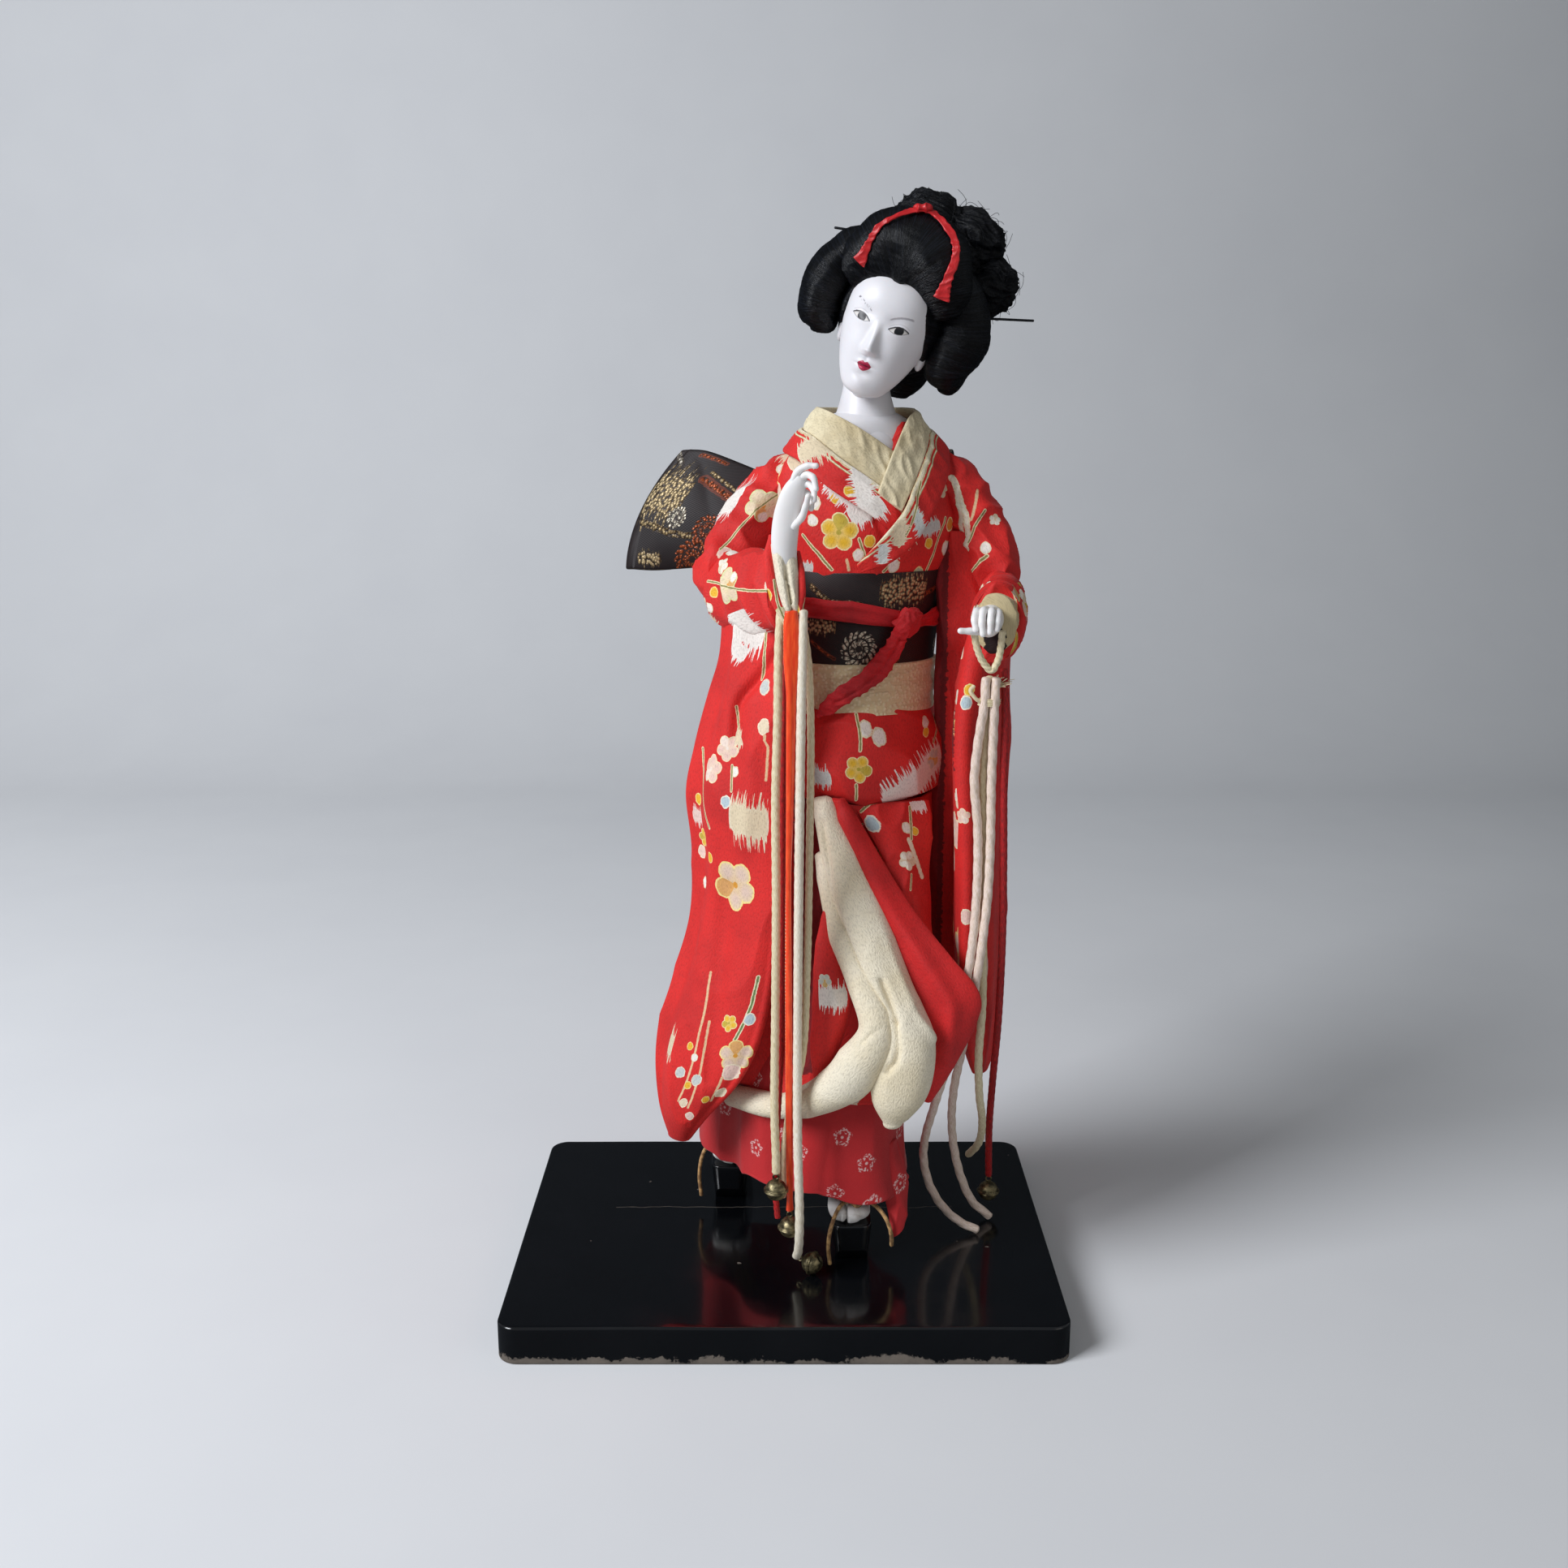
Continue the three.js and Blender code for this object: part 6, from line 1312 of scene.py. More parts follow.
# Bodice: printed crepe over the padded chest, smooth under the collars.
bodice_motifs = [
    (cloud, (-36.7, 75.7, 7.4, 4.9, 0.6), cloud_cream), (bloom, (-35.7, 81.3, 6.5, 0.4), plum_cream),
    (bud, (-20.6, 72.8, 2.6, 0), bud_gold), (stem, (-26.8, 73.2, -5.0, 53.7, 1.5, 0), stem_olive),
    (bud, (-32.9, 56.8, 2.8, 0), bud_white), (bud, (-34.7, 49.5, 2.2, 0), bud_white),
    (bud, (-24.1, 58.5, 2.2, 0), bud_gold), (cloud, (-18.7, 58.9, 11.1, 4.3, -0.75), cloud_white),
    (cloud, (-15.0, 52.7, 4.9, 4.3, 0.3), cloud_white), (bloom, (-23.8, 45.0, 8.0, 0.2), plum_gold),
    (bud, (-11.4, 41.5, 2.3, 0), bud_gold), (bud, (-6.1, 61.0, 2.8, 0), bud_white),
    (stem, (-39.1, 43.6, -25.0, 29.7, 1.5, 0), stem_olive),
    (stem, (-15.6, 42.5, -12.6, 34.4, 1.4, 0), stem_olive),
    (stem, (-19.8, 33.8, -18.2, 29.4, 1.2, 0), stem_cream), (bud, (-15.6, 36.0, 2.3, 0), bud_white),
    (cloud, (-37.0, 30.0, 3.7, 2.2, 0), cloud_grey), (bloom, (26.3, 69.8, 4.3, 0.5), plum_cream),
    (bloom, (23.2, 62.2, 4.6, 1.2), plum_cream), (bud, (23.6, 62.1, 1.8, 0), bud_gold),
    (bud, (11.8, 56.5, 2.5, 0), bud_white), (cloud, (15.6, 46.3, 4.9, 2.8, 0.2), cloud_grey),
    (bud, (14.6, 40.2, 2.0, 0), bud_gold), (bud, (27.3, 47.0, 2.5, 0), bud_amber),
    (bud, (25.9, 37.5, 2.6, 0), bud_white), (stem, (20.7, 58.0, 5.1, 39.6, 1.4, 0), stem_olive),
    (stem, (5.1, 39.6, -4.2, 29.0, 1.4, 0), stem_olive),
    (stem, (24.0, 49.8, 16.0, 28.0, 1.4, 1), stem_olive), (cloud, (-2.0, 36.0, 3.7, 2.5, 0.5), cloud_grey),
    (bud, (-0.2, 31.1, 2.6, 0), bud_white), (cloud, (3.5, 43.2, 4.6, 3.7, 0.6), cloud_cream),
    (bud, (11.9, 27.4, 2.5, 0), bud_green),
]
bodice_print = red_print("bodice", bodice_motifs, 44)
chest = [
    [299, 34.4, 12, 31, 24.6, 20], [309, 34.8, 12.6, 35, 27.4, 20], [320, 34.8, 13.6, 38, 28.4, 20],
    [331, 34.4, 14.6, 38.8, 26.6, 20], [340, 33.6, 15, 37, 23.8, 20], [347, 33, 14.6, 32, 21.4, 20],
    [354, 32.7, 13.4, 25.6, 19, 20], [359, 32.5, 11.8, 20, 16.6, 20],
]
rings = stack(chest, 96, columns)
fold = furrow(rings, [[36, -15, 322], [38.8, -14, 316], [42.5, -13, 308]], 1.2, 1.6)
fold += furrow(rings, [[3, -6, 330], [10.7, -11.5, 321], [19, -14, 312], [27, -13.5, 302]], 0.7, 2.2)
rings = domed(pushed(rings, 0.4 * creases(rings, 24, 141, (1, 1, 1.5)) - 0.3 + fold), 0.5, 0.5, 3)
front = np.degrees(np.linspace(-math.pi, math.pi, columns, endpoint=False))
open_at = [-90, -63, -23.5, 2.5, 12, 22.5, 50, 90]
neckline = np.interp(front, open_at, [420, 361, 355, 346.8, 352, 357, 362, 420])
rings[..., 2] = np.minimum(rings[..., 2], neckline[None])
bodice = dress(skin(rings), bodice_print, "red_crepe", "bodice")


# Collars: one band each, from its under end in front, round behind the neck, to its over end in front.
def collar(route, thick):
    """A band on the chest: its two edges lie at given angles from the front and given heights, a little
    outside the oval that the chest has there."""
    s = np.asarray(route, float)
    table = smooth([*chest, [365, 32.5, 11, 16.6, 15.2, 20]], 400)

    def at(angle, z, out):
        x, y, a, b, turn = (np.interp(z, table[:, 0], table[:, k]) for k in range(1, 6))
        angle, turn = np.radians(angle), np.radians(turn)
        u, v = (a + out) * np.sin(angle), -(b + out) * np.cos(angle)
        c, s = np.cos(turn), np.sin(turn)
        return np.stack([x + u * c - v * s, y + u * s + v * c, z], -1)

    inner, outer = at(s[:, 0], s[:, 1], s[:, 4]), at(s[:, 2], s[:, 3], s[:, 4])
    return strip(np.hstack([inner, outer]), 260, 40, thick)


cream_route = [
    [8, 344.5, -0.5, 327.5, 1.2], [2.5, 348.2, -6.5, 333, 1.7], [-23.5, 356.5, -30.5, 344.5, 2.3],
    [-63, 362.5, -61.5, 352.8, 2.3], [-98, 364.5, -98, 356, 2.3], [-134, 364.5, -138, 357.6, 2.3],
    [-182, 364.5, -182, 357.6, 2.3], [-230, 364.5, -226, 357.6, 2.3], [-270, 364.2, -268, 356.8, 2.3],
    [-305, 363, -299, 355, 2.4], [-325, 361, -313, 353.6, 2.6], [-338, 358, -325.5, 350, 3.0],
    [-357.5, 348.5, -341, 342.8, 3.8], [-367, 338.8, -352.5, 333.8, 4.6], [-372, 332.5, -360, 325.2, 4.4],
]
robe_route = [
    [7.5, 324.5, 0, 314.5, 2.4], [-6.5, 333.2, -16.5, 323.5, 2.7], [-30.5, 344.5, -40, 334.5, 2.8],
    [-60.5, 352.8, -63.5, 344, 2.8], [-98, 356, -101, 347.5, 2.8], [-138, 357, -142, 349, 2.8],
    [-182, 357, -182, 350, 2.8], [-226, 357, -222, 349, 2.8], [-267, 357, -265, 349, 2.8],
    [-299, 355.4, -292, 347.4, 2.8], [-313, 354, -304, 345.4, 2.9], [-325.5, 350, -318, 340, 3.1],
    [-341, 342.8, -331, 332.5, 3.8], [-352.5, 333.8, -342.5, 323.8, 5.0], [-360, 325.2, -351.5, 314.5, 5.4],
    [-372.5, 315, -365.5, 306, 5.2], [-386.5, 304.8, -383.5, 301.8, 3.6],
]
collar_cloth = crepe("cream collar crepe", "E6D9B6", "CBB990")
rings = collar(cream_route, 1.8)
across = np.abs(np.linspace(-1, 1, rings.shape[1]))[None]
flat_edge = np.clip((0.42 - across) * 4, 0, 1)
rings = pushed(rings, (0.4 * creases(rings, 8, 151, (1, 1, 2)) + 0.15 * waves(rings, 4, 152)) * flat_edge)
inner = dress(skin(domed(rings, 0.4, 0.4, 3)), collar_cloth, "cream_crepe", "collar_cream")
collar_motifs = [
    (stem, (-5.2, -5.0, -5.2, 250.0, 2.6, 0), ("EFE4C6", "D9C79C")),
    (stem, (-2.6, -5.0, -2.6, 250.0, 0.9, 0), ("E9DDBC", "A79A62")),
    (cloud, (-1.9, 51.3, 7.4, 4.9, 0.6), cloud_cream), (bloom, (9.6, 81.7, 6.5, 0.4), plum_cream),
    (bud, (3.3, 29.8, 2.2, 0), bud_gold), (cloud, (0.4, 25.2, 11.1, 4.3, -0.75), cloud_white),
    (cloud, (3.7, 18.6, 4.9, 4.3, 0.3), cloud_white), (cloud, (2.5, 199.6, 4.9, 2.8, 0.2), cloud_grey),
    (stem, (-4.5, 186.9, 2.0, 211.6, 1.4, 0), stem_olive), (cloud, (0.2, 218.7, 3.7, 2.5, 0.5), cloud_grey),
    (cloud, (-1.7, 209.0, 4.6, 3.7, 0.6), cloud_cream),
]
collar_print = red_print("collar", collar_motifs, 20)
rings = collar(robe_route, 2.0)
rings = pushed(rings, 0.25 * creases(rings, 12, 161) * flat_edge)
over = dress(skin(domed(rings, 0.4, 0.4, 3)), collar_print, "red_crepe", "collar_robe")


# Sleeves: padded arms, the long hanging bags below them and the cream lining at the cuffs.
def arm_halves(upper, lower, side, seed):
    """A padded sleeve from shoulder to elbow and from elbow to cuff: oval limbs, creased round the arm."""
    rings = domed(limb(upper, 90, 132, (0.4, 1, 0.2)), 1, 1)
    one = skin(pushed(rings, 0.9 * creases(rings, 17, seed, (1, 1, 0.7)) - 0.2))
    rings = domed(limb(lower, 90, 132, side), 1, 1)
    return [one, skin(pushed(rings, 0.9 * creases(rings, 16, seed + 1, (1, 0.7, 1.6)) - 0.2))]


def lip_of(stations, depth, seed):
    """The thin rounded edge of the cloth at the right cuff, creased by depth."""
    rings = limb(stations, 90, 40, (1, 0, 0.3))
    return skin(domed(pushed(rings, depth * creases(rings, 7, seed, (1, 1, 2))), 0.5, 0.8))


right_arm_motifs = [
    (cloud, (10.6, 12.1, 7.4, 4.9, 0.6), cloud_cream), (bloom, (-2.5, 36.1, 7.7, 0.9), plum_green),
    (bud, (-18.7, 26.3, 2.8, 0), bud_white), (bud, (-6.0, 39.9, 2.2, 0), bud_white),
    (bud, (-1.2, 64.3, 2.5, 0), bud_pink), (bloom, (-10.1, 29.0, 4.0, 0.4), plum_white),
    (bud, (0.4, 23.1, 2.2, 0), bud_gold), (bud, (6.6, 19.6, 2.2, 0), bud_white),
    (stem, (1.0, 63.7, -4.0, 18.7, 1.2, 0), stem_olive), (cloud, (15.0, 41.1, 7.7, 8.3, 0.25), cloud_white),
]
sleeve_print = red_print("right arm", right_arm_motifs, 22)
upper = [
    [10, 18, 338, 9, 10], [2, 17, 335, 12.6, 12], [-8, 14.6, 326, 13.4, 12.6], [-17, 11, 313, 13, 12.6],
    [-24, 5, 301, 12.6, 12.4], [-26, 1, 293, 9, 9], [-26, -1, 288, 3.4, 3.4],
]
lower = [
    [-27, 3, 293, 5, 8], [-23, -4, 293.6, 9.6, 14], [-16, -17, 294.6, 9.4, 15.6], [-8, -31, 296, 8, 16.4],
    [-1.4, -43.6, 298.6, 6.6, 15.6],
]
parts = arm_halves(upper, lower, (0.9, 0.4, 0), 171)
lip = [
    [-4.6, -46.5, 318, 1.2, 1.0], [-5.6, -49.6, 311, 1.9, 1.4], [-5.0, -51.6, 303, 2.0, 1.5],
    [-2.4, -52.6, 294, 2.0, 1.5], [2.0, -52.0, 285, 1.6, 1.2],
]
parts.append(lip_of(lip, 0.25, 173))
lip = [
    [5.0, -46.4, 312, 0.9, 0.9], [6.2, -49.4, 306, 1.2, 1.1], [6.6, -51.4, 298, 1.3, 1.2],
    [5.8, -52, 290, 1.3, 1.2], [4.6, -51.4, 284, 1.0, 1.0],
]
parts.append(lip_of(lip, 0.2, 174))
arm = dress(joined(*parts), sleeve_print, "red_crepe", "sleeve_right")

right_bag_motifs = [
    (cloud, (6.3, 17.5, 7.7, 8.3, 0.25), cloud_white), (stem, (14.6, 18.8, 12.5, 37.0, 1.4, 0), stem_olive),
    (cloud, (1.1, 26.1, 4.9, 4.3, 0.5), cloud_white), (bud, (17.6, 39.7, 2.8, 0), bud_grey),
    (bud, (20.8, 55.1, 2.9, 0), bud_cream), (stem, (22.0, 58.6, 22.7, 76.2, 1.2, 0), stem_cream),
    (bloom, (2.3, 65.9, 5.5, 0.3), plum_pink), (cloud, (7.2, 61.0, 2.5, 3.7, 0), cloud_cream),
    (bud, (7.3, 74.7, 2.0, 0), bud_white), (stem, (5.6, 72.4, 7.3, 82.7, 1.2, 0), stem_olive),
    (stem, (3.4, 49.1, 5.9, 57.9, 1.2, 0), stem_olive), (bloom, (-4.9, 75.4, 6.2, 1), plum_pink),
    (stem, (-17.0, 69.1, -4.6, 99.5, 1.4, -1), stem_olive), (bud, (-16.7, 90.2, 2.2, 0), bud_gold),
    (cloud, (-18.3, 97.8, 2.8, 3.4, 0), cloud_pink), (bloom, (-14.9, 106.4, 4.0, 0.7), plum_gold),
    (bud, (-17.4, 112.8, 2.5, 0), bud_pink), (bud, (-6.5, 112.6, 2.0, 0), bud_gold),
    (cloud, (15.9, 93.8, 9.2, 8.0, 0.05), cloud_cream), (bud, (5.2, 87.3, 2.3, 0), bud_blue),
    (bloom, (6.8, 121.7, 10.8, 0.31), plum_large), (bud, (-14.6, 125.1, 2.2, 0), bud_white),
    (stem, (23.2, 157.4, 19.7, 185.4, 1.8, 1), stem_green), (bloom, (14.9, 178.9, 4.0, 0.2), plum_gold),
    (bud, (23.4, 175.8, 2.5, 0), bud_blue), (bloom, (21.5, 192.9, 7.7, 0.8), plum_large),
    (bud, (21.4, 201.3, 4.0, 0), bud_pink), (stem, (18.1, 204.3, 17.0, 217.5, 1.2, 0), stem_cream),
    (bud, (19.8, 213.0, 2.5, 0), bud_cream), (bud, (14.4, 216.3, 1.7, 0), bud_gold),
    (stem, (-0.3, 159.9, 2.0, 220.9, 1.1, 2), stem_cream),
    (stem, (5.2, 180.4, 7.9, 222.8, 1.1, 1), stem_cream), (bud, (-0.3, 193.0, 1.7, 0), bud_gold),
    (bud, (3.3, 197.3, 1.7, 0), bud_white), (bud, (-1.8, 206.1, 2.5, 0), bud_grey),
    (bud, (7.1, 207.5, 2.5, 0), bud_grey), (bud, (3.8, 211.2, 1.8, 0), bud_gold),
    (cloud, (-12.4, 196.0, 2.8, 6.2, 0), cloud_cream), (bud, (4.9, 220.9, 2.2, 0), bud_cream),
    (bud, (9.6, 227.1, 2.0, 0), bud_pink),
]
hang_print = red_print("right sleeve", right_bag_motifs, 34)
bag = [
    [286, -13, -18, 19, 7, -52], [268, -13, -18.4, 20, 7, -52], [252, -15, -19, 22.6, 7, -52],
    [230, -18, -19, 24.4, 7.4, -50], [210, -20.6, -19, 26, 7.6, -49], [185, -19.4, -19, 24.6, 7.4, -50],
    [160, -20.4, -19, 25, 7.4, -49], [135, -25, -19, 26, 7.6, -46], [112, -31.4, -19, 26.4, 7.6, -44],
    [94, -37, -17.4, 22.6, 7, -42], [76, -43, -13.4, 13.6, 5.6, -42], [62, -44.6, -10, 6.4, 3.6, -42],
]
rows, sides = 200, 210
rings = stack(bag, rows, sides)
angle = turns(sides)[None]
fall = np.linspace(0, 1, rows)[:, None]
folds = 1.5 * np.sin(4 * angle + 1.4 * np.sin(angle * 2 + 3 * fall) + 1.2) * np.sin(math.pi * fall) ** 0.5
rings = pushed(rings, folds + 0.8 * creases(rings, 30, 181, (1, 1, 3.5)))
route = [[-2, -35, 274], [-5, -33, 270], [-11.3, -29, 260.7], [-18, -26.6, 251], [-19.4, -27, 239]]
fold = furrow(rings, route, 2.6, 2.0)
route = [[-24, -27, 176], [-25, -25, 164], [-26.6, -27, 141], [-28, -30, 124], [-32, -31, 97]]
fold += furrow(rings, route, 1.8, 5.0)
fold += furrow(rings, [[-48, -18, 100], [-47, -19.6, 90], [-44, -21.7, 80], [-39.6, -22, 72]], 0.8, 1.0)
fold += furrow(rings, [[-13, -31, 252], [-13, -33.7, 223], [-15.4, -32.4, 197]], -1.2, 4.0)
rings = pushed(rings, fold)
right_bag = dress(skin(domed(rings, 1, 1.5)), hang_print, "red_crepe", "sleeve_right_hang")

left_arm_motifs = [
    (stem, (-7.2, 21.6, 3.6, 52.6, 2.8, -1.5), leaf_cream),
    (stem, (-6.7, 26.5, 7.9, 56.1, 2.2, 0.5), leaf_cream),
    (stem, (-11.2, 39.6, 1.5, 50.4, 1.4, 0.8), stem_olive), (bud, (-4.6, 56.4, 2.3, 0), bud_white),
    (stem, (-13.0, 31.8, -3.9, 40.9, 1.2, 0), stem_cream),
    (stem, (-4.0, 59.8, 12.7, 64.2, 1.5, 0), stem_olive), (bloom, (-13.9, 44.9, 2.8, 0.4), plum_white),
]
left_print = red_print("left arm", left_arm_motifs, 26)
upper = [
    [57, 19, 338, 9, 10], [65, 18, 335, 12, 12], [73, 15, 326, 12.6, 12.4], [79.6, 11, 313, 11.6, 12],
    [84, 5, 301, 10.4, 11], [85, 2, 294, 7, 8], [85, 1, 290, 3, 3],
]
lower = [
    [86, 6, 291, 5, 7], [86, -2, 289.4, 8.6, 12], [85.6, -12, 287, 9.6, 14], [83.6, -24, 285.4, 10, 15],
    [80.4, -37.6, 284.4, 10.4, 15.4],
]
parts = arm_halves(upper, lower, (1, 0.1, 0), 191)
arm = dress(joined(*parts), left_print, "red_crepe", "sleeve_left")

left_bag_motifs = [
    (bloom, (-44.8, 109.3, 3.7, 0.4), plum_pink), (bud, (-23.9, 126.6, 2.8, 0), bud_pink),
    (cloud, (-15.0, 148.7, 3.1, 5.8, 0), cloud_pink), (bloom, (-27.9, 84.8, 3.4, 0.9), plum_pink),
    (bud, (-24.1, 34.9, 2.2, 0), bud_gold), (bud, (-24.9, 40.0, 2.5, 0), bud_blue),
    (bud, (-11.9, 125.2, 1.8, 0), bud_amber),
]
# Painted shadow: a dark red band down the sleeve's inner side, in the shade of the arm.
in_shadow = [(stem, (61.5, 320, 61.5, 120, 9.0, 0), painted_shade_red)]
left_hang_print = red_print("left sleeve", left_bag_motifs, 30, deep=in_shadow)
bag = [
    [280, 81, -17, 19, 8, 68], [262, 79, -16, 21, 8.6, 66], [240, 78, -15, 22, 9, 65],
    [212, 78.6, -15, 22, 9, 66], [180, 79.4, -14.6, 21, 8.6, 66], [150, 80, -14, 20.4, 8, 66],
    [122, 81, -12, 18.6, 7.2, 66], [104, 82, -9.6, 13.4, 6, 66], [91, 82.6, -7.6, 6.4, 3.6, 66],
]
rows, sides = 190, 200
rings = stack(bag, rows, sides)
angle = turns(sides)[None]
fall = np.linspace(0, 1, rows)[:, None]
folds = 1.3 * np.sin(5 * angle + 1.2 * np.sin(angle * 2 + 2 * fall) + 0.2) * np.sin(math.pi * fall) ** 0.5
rings = pushed(rings, folds + 0.8 * creases(rings, 28, 201, (1, 1, 3.5)))
inner_side = [
    [63.5, 6, 316, 73, 4, 316], [62, 5, 303, 78, 2, 304], [61.4, 5, 290, 81, 1, 291],
    [61.2, 5, 275, 80, 0, 276], [61.4, 4, 258, 77, 0, 258], [62.4, 4, 241, 76, 0, 241],
    [61.4, 4, 226, 76, 0, 226], [60, 4, 200, 76, 0, 200], [59.4, 3, 175, 76, 0, 175],
    [61, 1, 150, 76, -1, 150], [66, -1, 126, 76.5, -3, 126],
]
inner_side = strip(inner_side, 120, 60, 2.4, 1.0)
inner_side = pushed(inner_side, 0.9 * creases(inner_side, 14, 205, (1, 1, 2.5)))
inner_side = skin(domed(inner_side, 0.5, 0.5, 3))
left_bag = joined(skin(domed(rings, 1, 1.5)), inner_side)
left_bag = dress(left_bag, left_hang_print, "red_crepe", "sleeve_left_hang")

cuff = [
    [315, -0.6, -48, 4.4, 5, 0], [308, -0.2, -48, 5.4, 5.6, 0], [300, 0.8, -48.6, 5.0, 6, 0],
    [293, 2.2, -49.6, 3.8, 5.4, 0], [287, 3.6, -49.6, 1.8, 3.6, 0],
]
rings = stack(cuff, 80, 120)
rings = domed(pushed(rings, 0.3 * creases(rings, 9, 211, (1, 1, 2))), 0.8, 0.8)
dent = furrow(rings, [[0.8, -54, 311], [1.4, -54.5, 303], [2.6, -55, 295], [3.6, -53, 288]], 3.2, 1.0)
made = dress(skin(pushed(rings, dent)), cream_lining, "cream_crepe", "cuff_lining_right")
cuff = [
    [82.4, -31, 286, 7.4, 10.6], [80.8, -38, 285.6, 8, 11], [79.2, -44, 285, 8.4, 11.4],
]
rings = limb(cuff, 50, 96, (1, 0, 0))
rings = domed(pushed(rings, 0.4 * creases(rings, 9, 221, (1, 2, 1))), 0.8, 1.0)
# Painted shade: the left cuff's lining is a darker copy of the cream lining, with a near-black painted shadow
# laid in its hollow.
painted_hollow_shade = [(stem, (79.4, 256, 79.4, 280, 8.0, 0), ("220607", "180405"))]
shaded_lining = crepe("shaded cream lining crepe, left cuff", "D2C197", "BBA87C", deep=painted_hollow_shade)
made = dress(skin(rings), shaded_lining, "cream_crepe", "cuff_lining_left")

# Skin: shell-white, a paste of powdered oyster shell and glue, brushed on in many coats and rubbed down.
shell_white, tree, shader, place, uv = finish("polished shell-white")
cloudy = noise(place, 90.0, 3.0)
grain = noise(place, 1800.0, 2.0)
waxy = {"Subsurface_Weight": 0.12, "Subsurface_Radius": (0.003, 0.002, 0.0015), "Subsurface_Scale": 0.4}
surface(shader, mixed(cloudy, tone("E9E6E4"), tone("F1EEEC")), Roughness=0.42, **waxy)
relief(shader, grain, 0.00002)


def finger(points, radius):
    """A rounded tube through a finger's joints, thinner at the tip, with faint pads at the joints."""
    path = threaded(points, 44)
    ahead = unit(np.gradient(path, axis=0))
    one = unit(np.cross(ahead, [0.3, 0.2, 1.0]))
    two = np.cross(ahead, one)
    t = np.linspace(0, 1, 44)
    r = radius * (1.08 - 0.3 * t**2.2 + 0.05 * np.cos(t * 6 * math.pi))[:, None, None]
    turn = turns(24)[None, :, None]
    rings = path[:, None] + r * (np.cos(turn) * one[:, None] + np.sin(turn) * two[:, None])
    return skin(domed(rings, radius * 0.8, radius * 0.85, 6))


# Hands: carved one by one with four curled fingers and the thumb, for the cords to pass through.
def hand(name, palm, rows, inner_end, fingers, thickness):
    """A palm as an oval limb, rounded at both ends, joined with its fingers; the thumb comes last."""
    palm = skin(domed(limb(palm, rows, 64, (1, 0, 0)), 1.2, inner_end))
    dress(joined(palm, *(finger(points, thickness) for points in fingers)), shell_white, "shell_white", name)


palm = [
    [1.5, -45.5, 301, 3.9, 3.6], [0.3, -48.5, 309, 4.4, 3.8], [0.2, -51.5, 317.5, 4.9, 3.6],
    [1.2, -54, 326, 4.9, 3], [3.4, -56.5, 334, 4.3, 2.6], [6, -58.5, 339.5, 2.6, 2],
]
right_fingers = [
    [[2.5, -57.5, 336], [5, -59.5, 341.8], [8.4, -61, 343.8], [11.4, -62, 343.8]],
    [[4.5, -57.5, 337], [7.8, -60, 340.6], [10.4, -61.8, 339.6], [11.4, -62.8, 335.8]],
    [[5, -56, 335], [8.2, -58.2, 337.4], [10.6, -60, 335.4], [10.8, -61, 331.8]],
    [[4.8, -54.4, 333], [7.8, -56, 334], [9.8, -57.4, 331.6], [9.8, -58.4, 328.6]],
    [[3.5, -55, 322], [6.4, -57.6, 325.4], [7.8, -60, 329.4], [8.6, -62, 333]],
]
hand("hand_right", palm, 70, 1.4, right_fingers, 1.28)
palm = [
    [79.5, -36, 287.5, 3.9, 3.9], [78.5, -41, 287.5, 4.2, 4.4], [77, -46.5, 287, 5, 5.6],
    [75.6, -51.5, 286, 4.6, 5.2], [75, -54, 285.6, 2.4, 3],
]
left_fingers = [
    [[72.5, -49, 290.5], [71, -53, 290.6], [70, -56, 288], [70.4, -57, 284.6]],
    [[75, -49.5, 291], [73.4, -54, 291], [72.6, -57, 287.6], [73, -57.8, 283]],
    [[77.5, -50, 290.8], [76.4, -54.6, 290.8], [75.8, -57, 287.6], [75.6, -57.6, 283.6]],
    [[79.6, -49, 290], [79, -53.6, 290], [78.6, -56, 287.4], [78.2, -56.6, 284.6]],
    [[76, -51, 284.5], [72, -54, 283.6], [68.4, -55.4, 283.8], [65, -56, 284]],
]
hand("hand_left", palm, 60, 1.2, left_fingers, 1.38)


# Head. It has its own frame: turned 5 degrees about x, 21 about y and -10 about z, set down at its middle.
HEAD_TILT, HEAD_MIDDLE = (5, 21, -10), (39.9, 3.5, 393.3)


def in_head(rings):
    """Points of the head's own frame, put in the doll's."""
    return rings @ turned(HEAD_TILT).T + np.array(HEAD_MIDDLE)


def bump(x, z, at, wide, high):
    """A round rise, 1 in its middle: the bell curve of the distance in half sizes wide and high."""
    return np.exp(-(((x - at[0]) / wide) ** 2) - ((z - at[1]) / high) ** 2)


# The same white with eyes, brows and lips painted on in thin ink, and one brow worn.
face_white, tree, shader, place, uv = finish("painted shell-white face")
middle = tuple(np.array(HEAD_MIDDLE) * 0.001)
links = {"Vector": place, "Location": middle, "Rotation": tuple(np.radians(HEAD_TILT))}
local = add(tree, "ShaderNodeMapping", links, vector_type="TEXTURE").outputs[0]
local = add(tree, "ShaderNodeVectorMath", {0: local, 3: 1000.0}, operation="SCALE").outputs[0]
blur = noise(local, 0.8, 2.0)
axis = add(tree, "ShaderNodeSeparateXYZ", {0: local}).outputs
face_x = calc("ADD", axis[0], calc("MULTIPLY_ADD", blur, 0.3, -0.15))
face_z = calc("ADD", axis[2], calc("MULTIPLY_ADD", blur, -0.3, 0.15))
in_front = calc("LESS_THAN", axis[1], -6.0)
skin_tone = mixed(noise(local, 0.09, 3.0), tone("DCDADD"), tone("E6E4E6"))


def under_arch(x, half, high):
    """The height of an arch at x: high in its middle and 0 at plus and minus half."""
    share = calc("DIVIDE", x, half)
    return calc("MULTIPLY", calc("SUBTRACT", 1.0, calc("MULTIPLY", share, share)), high)


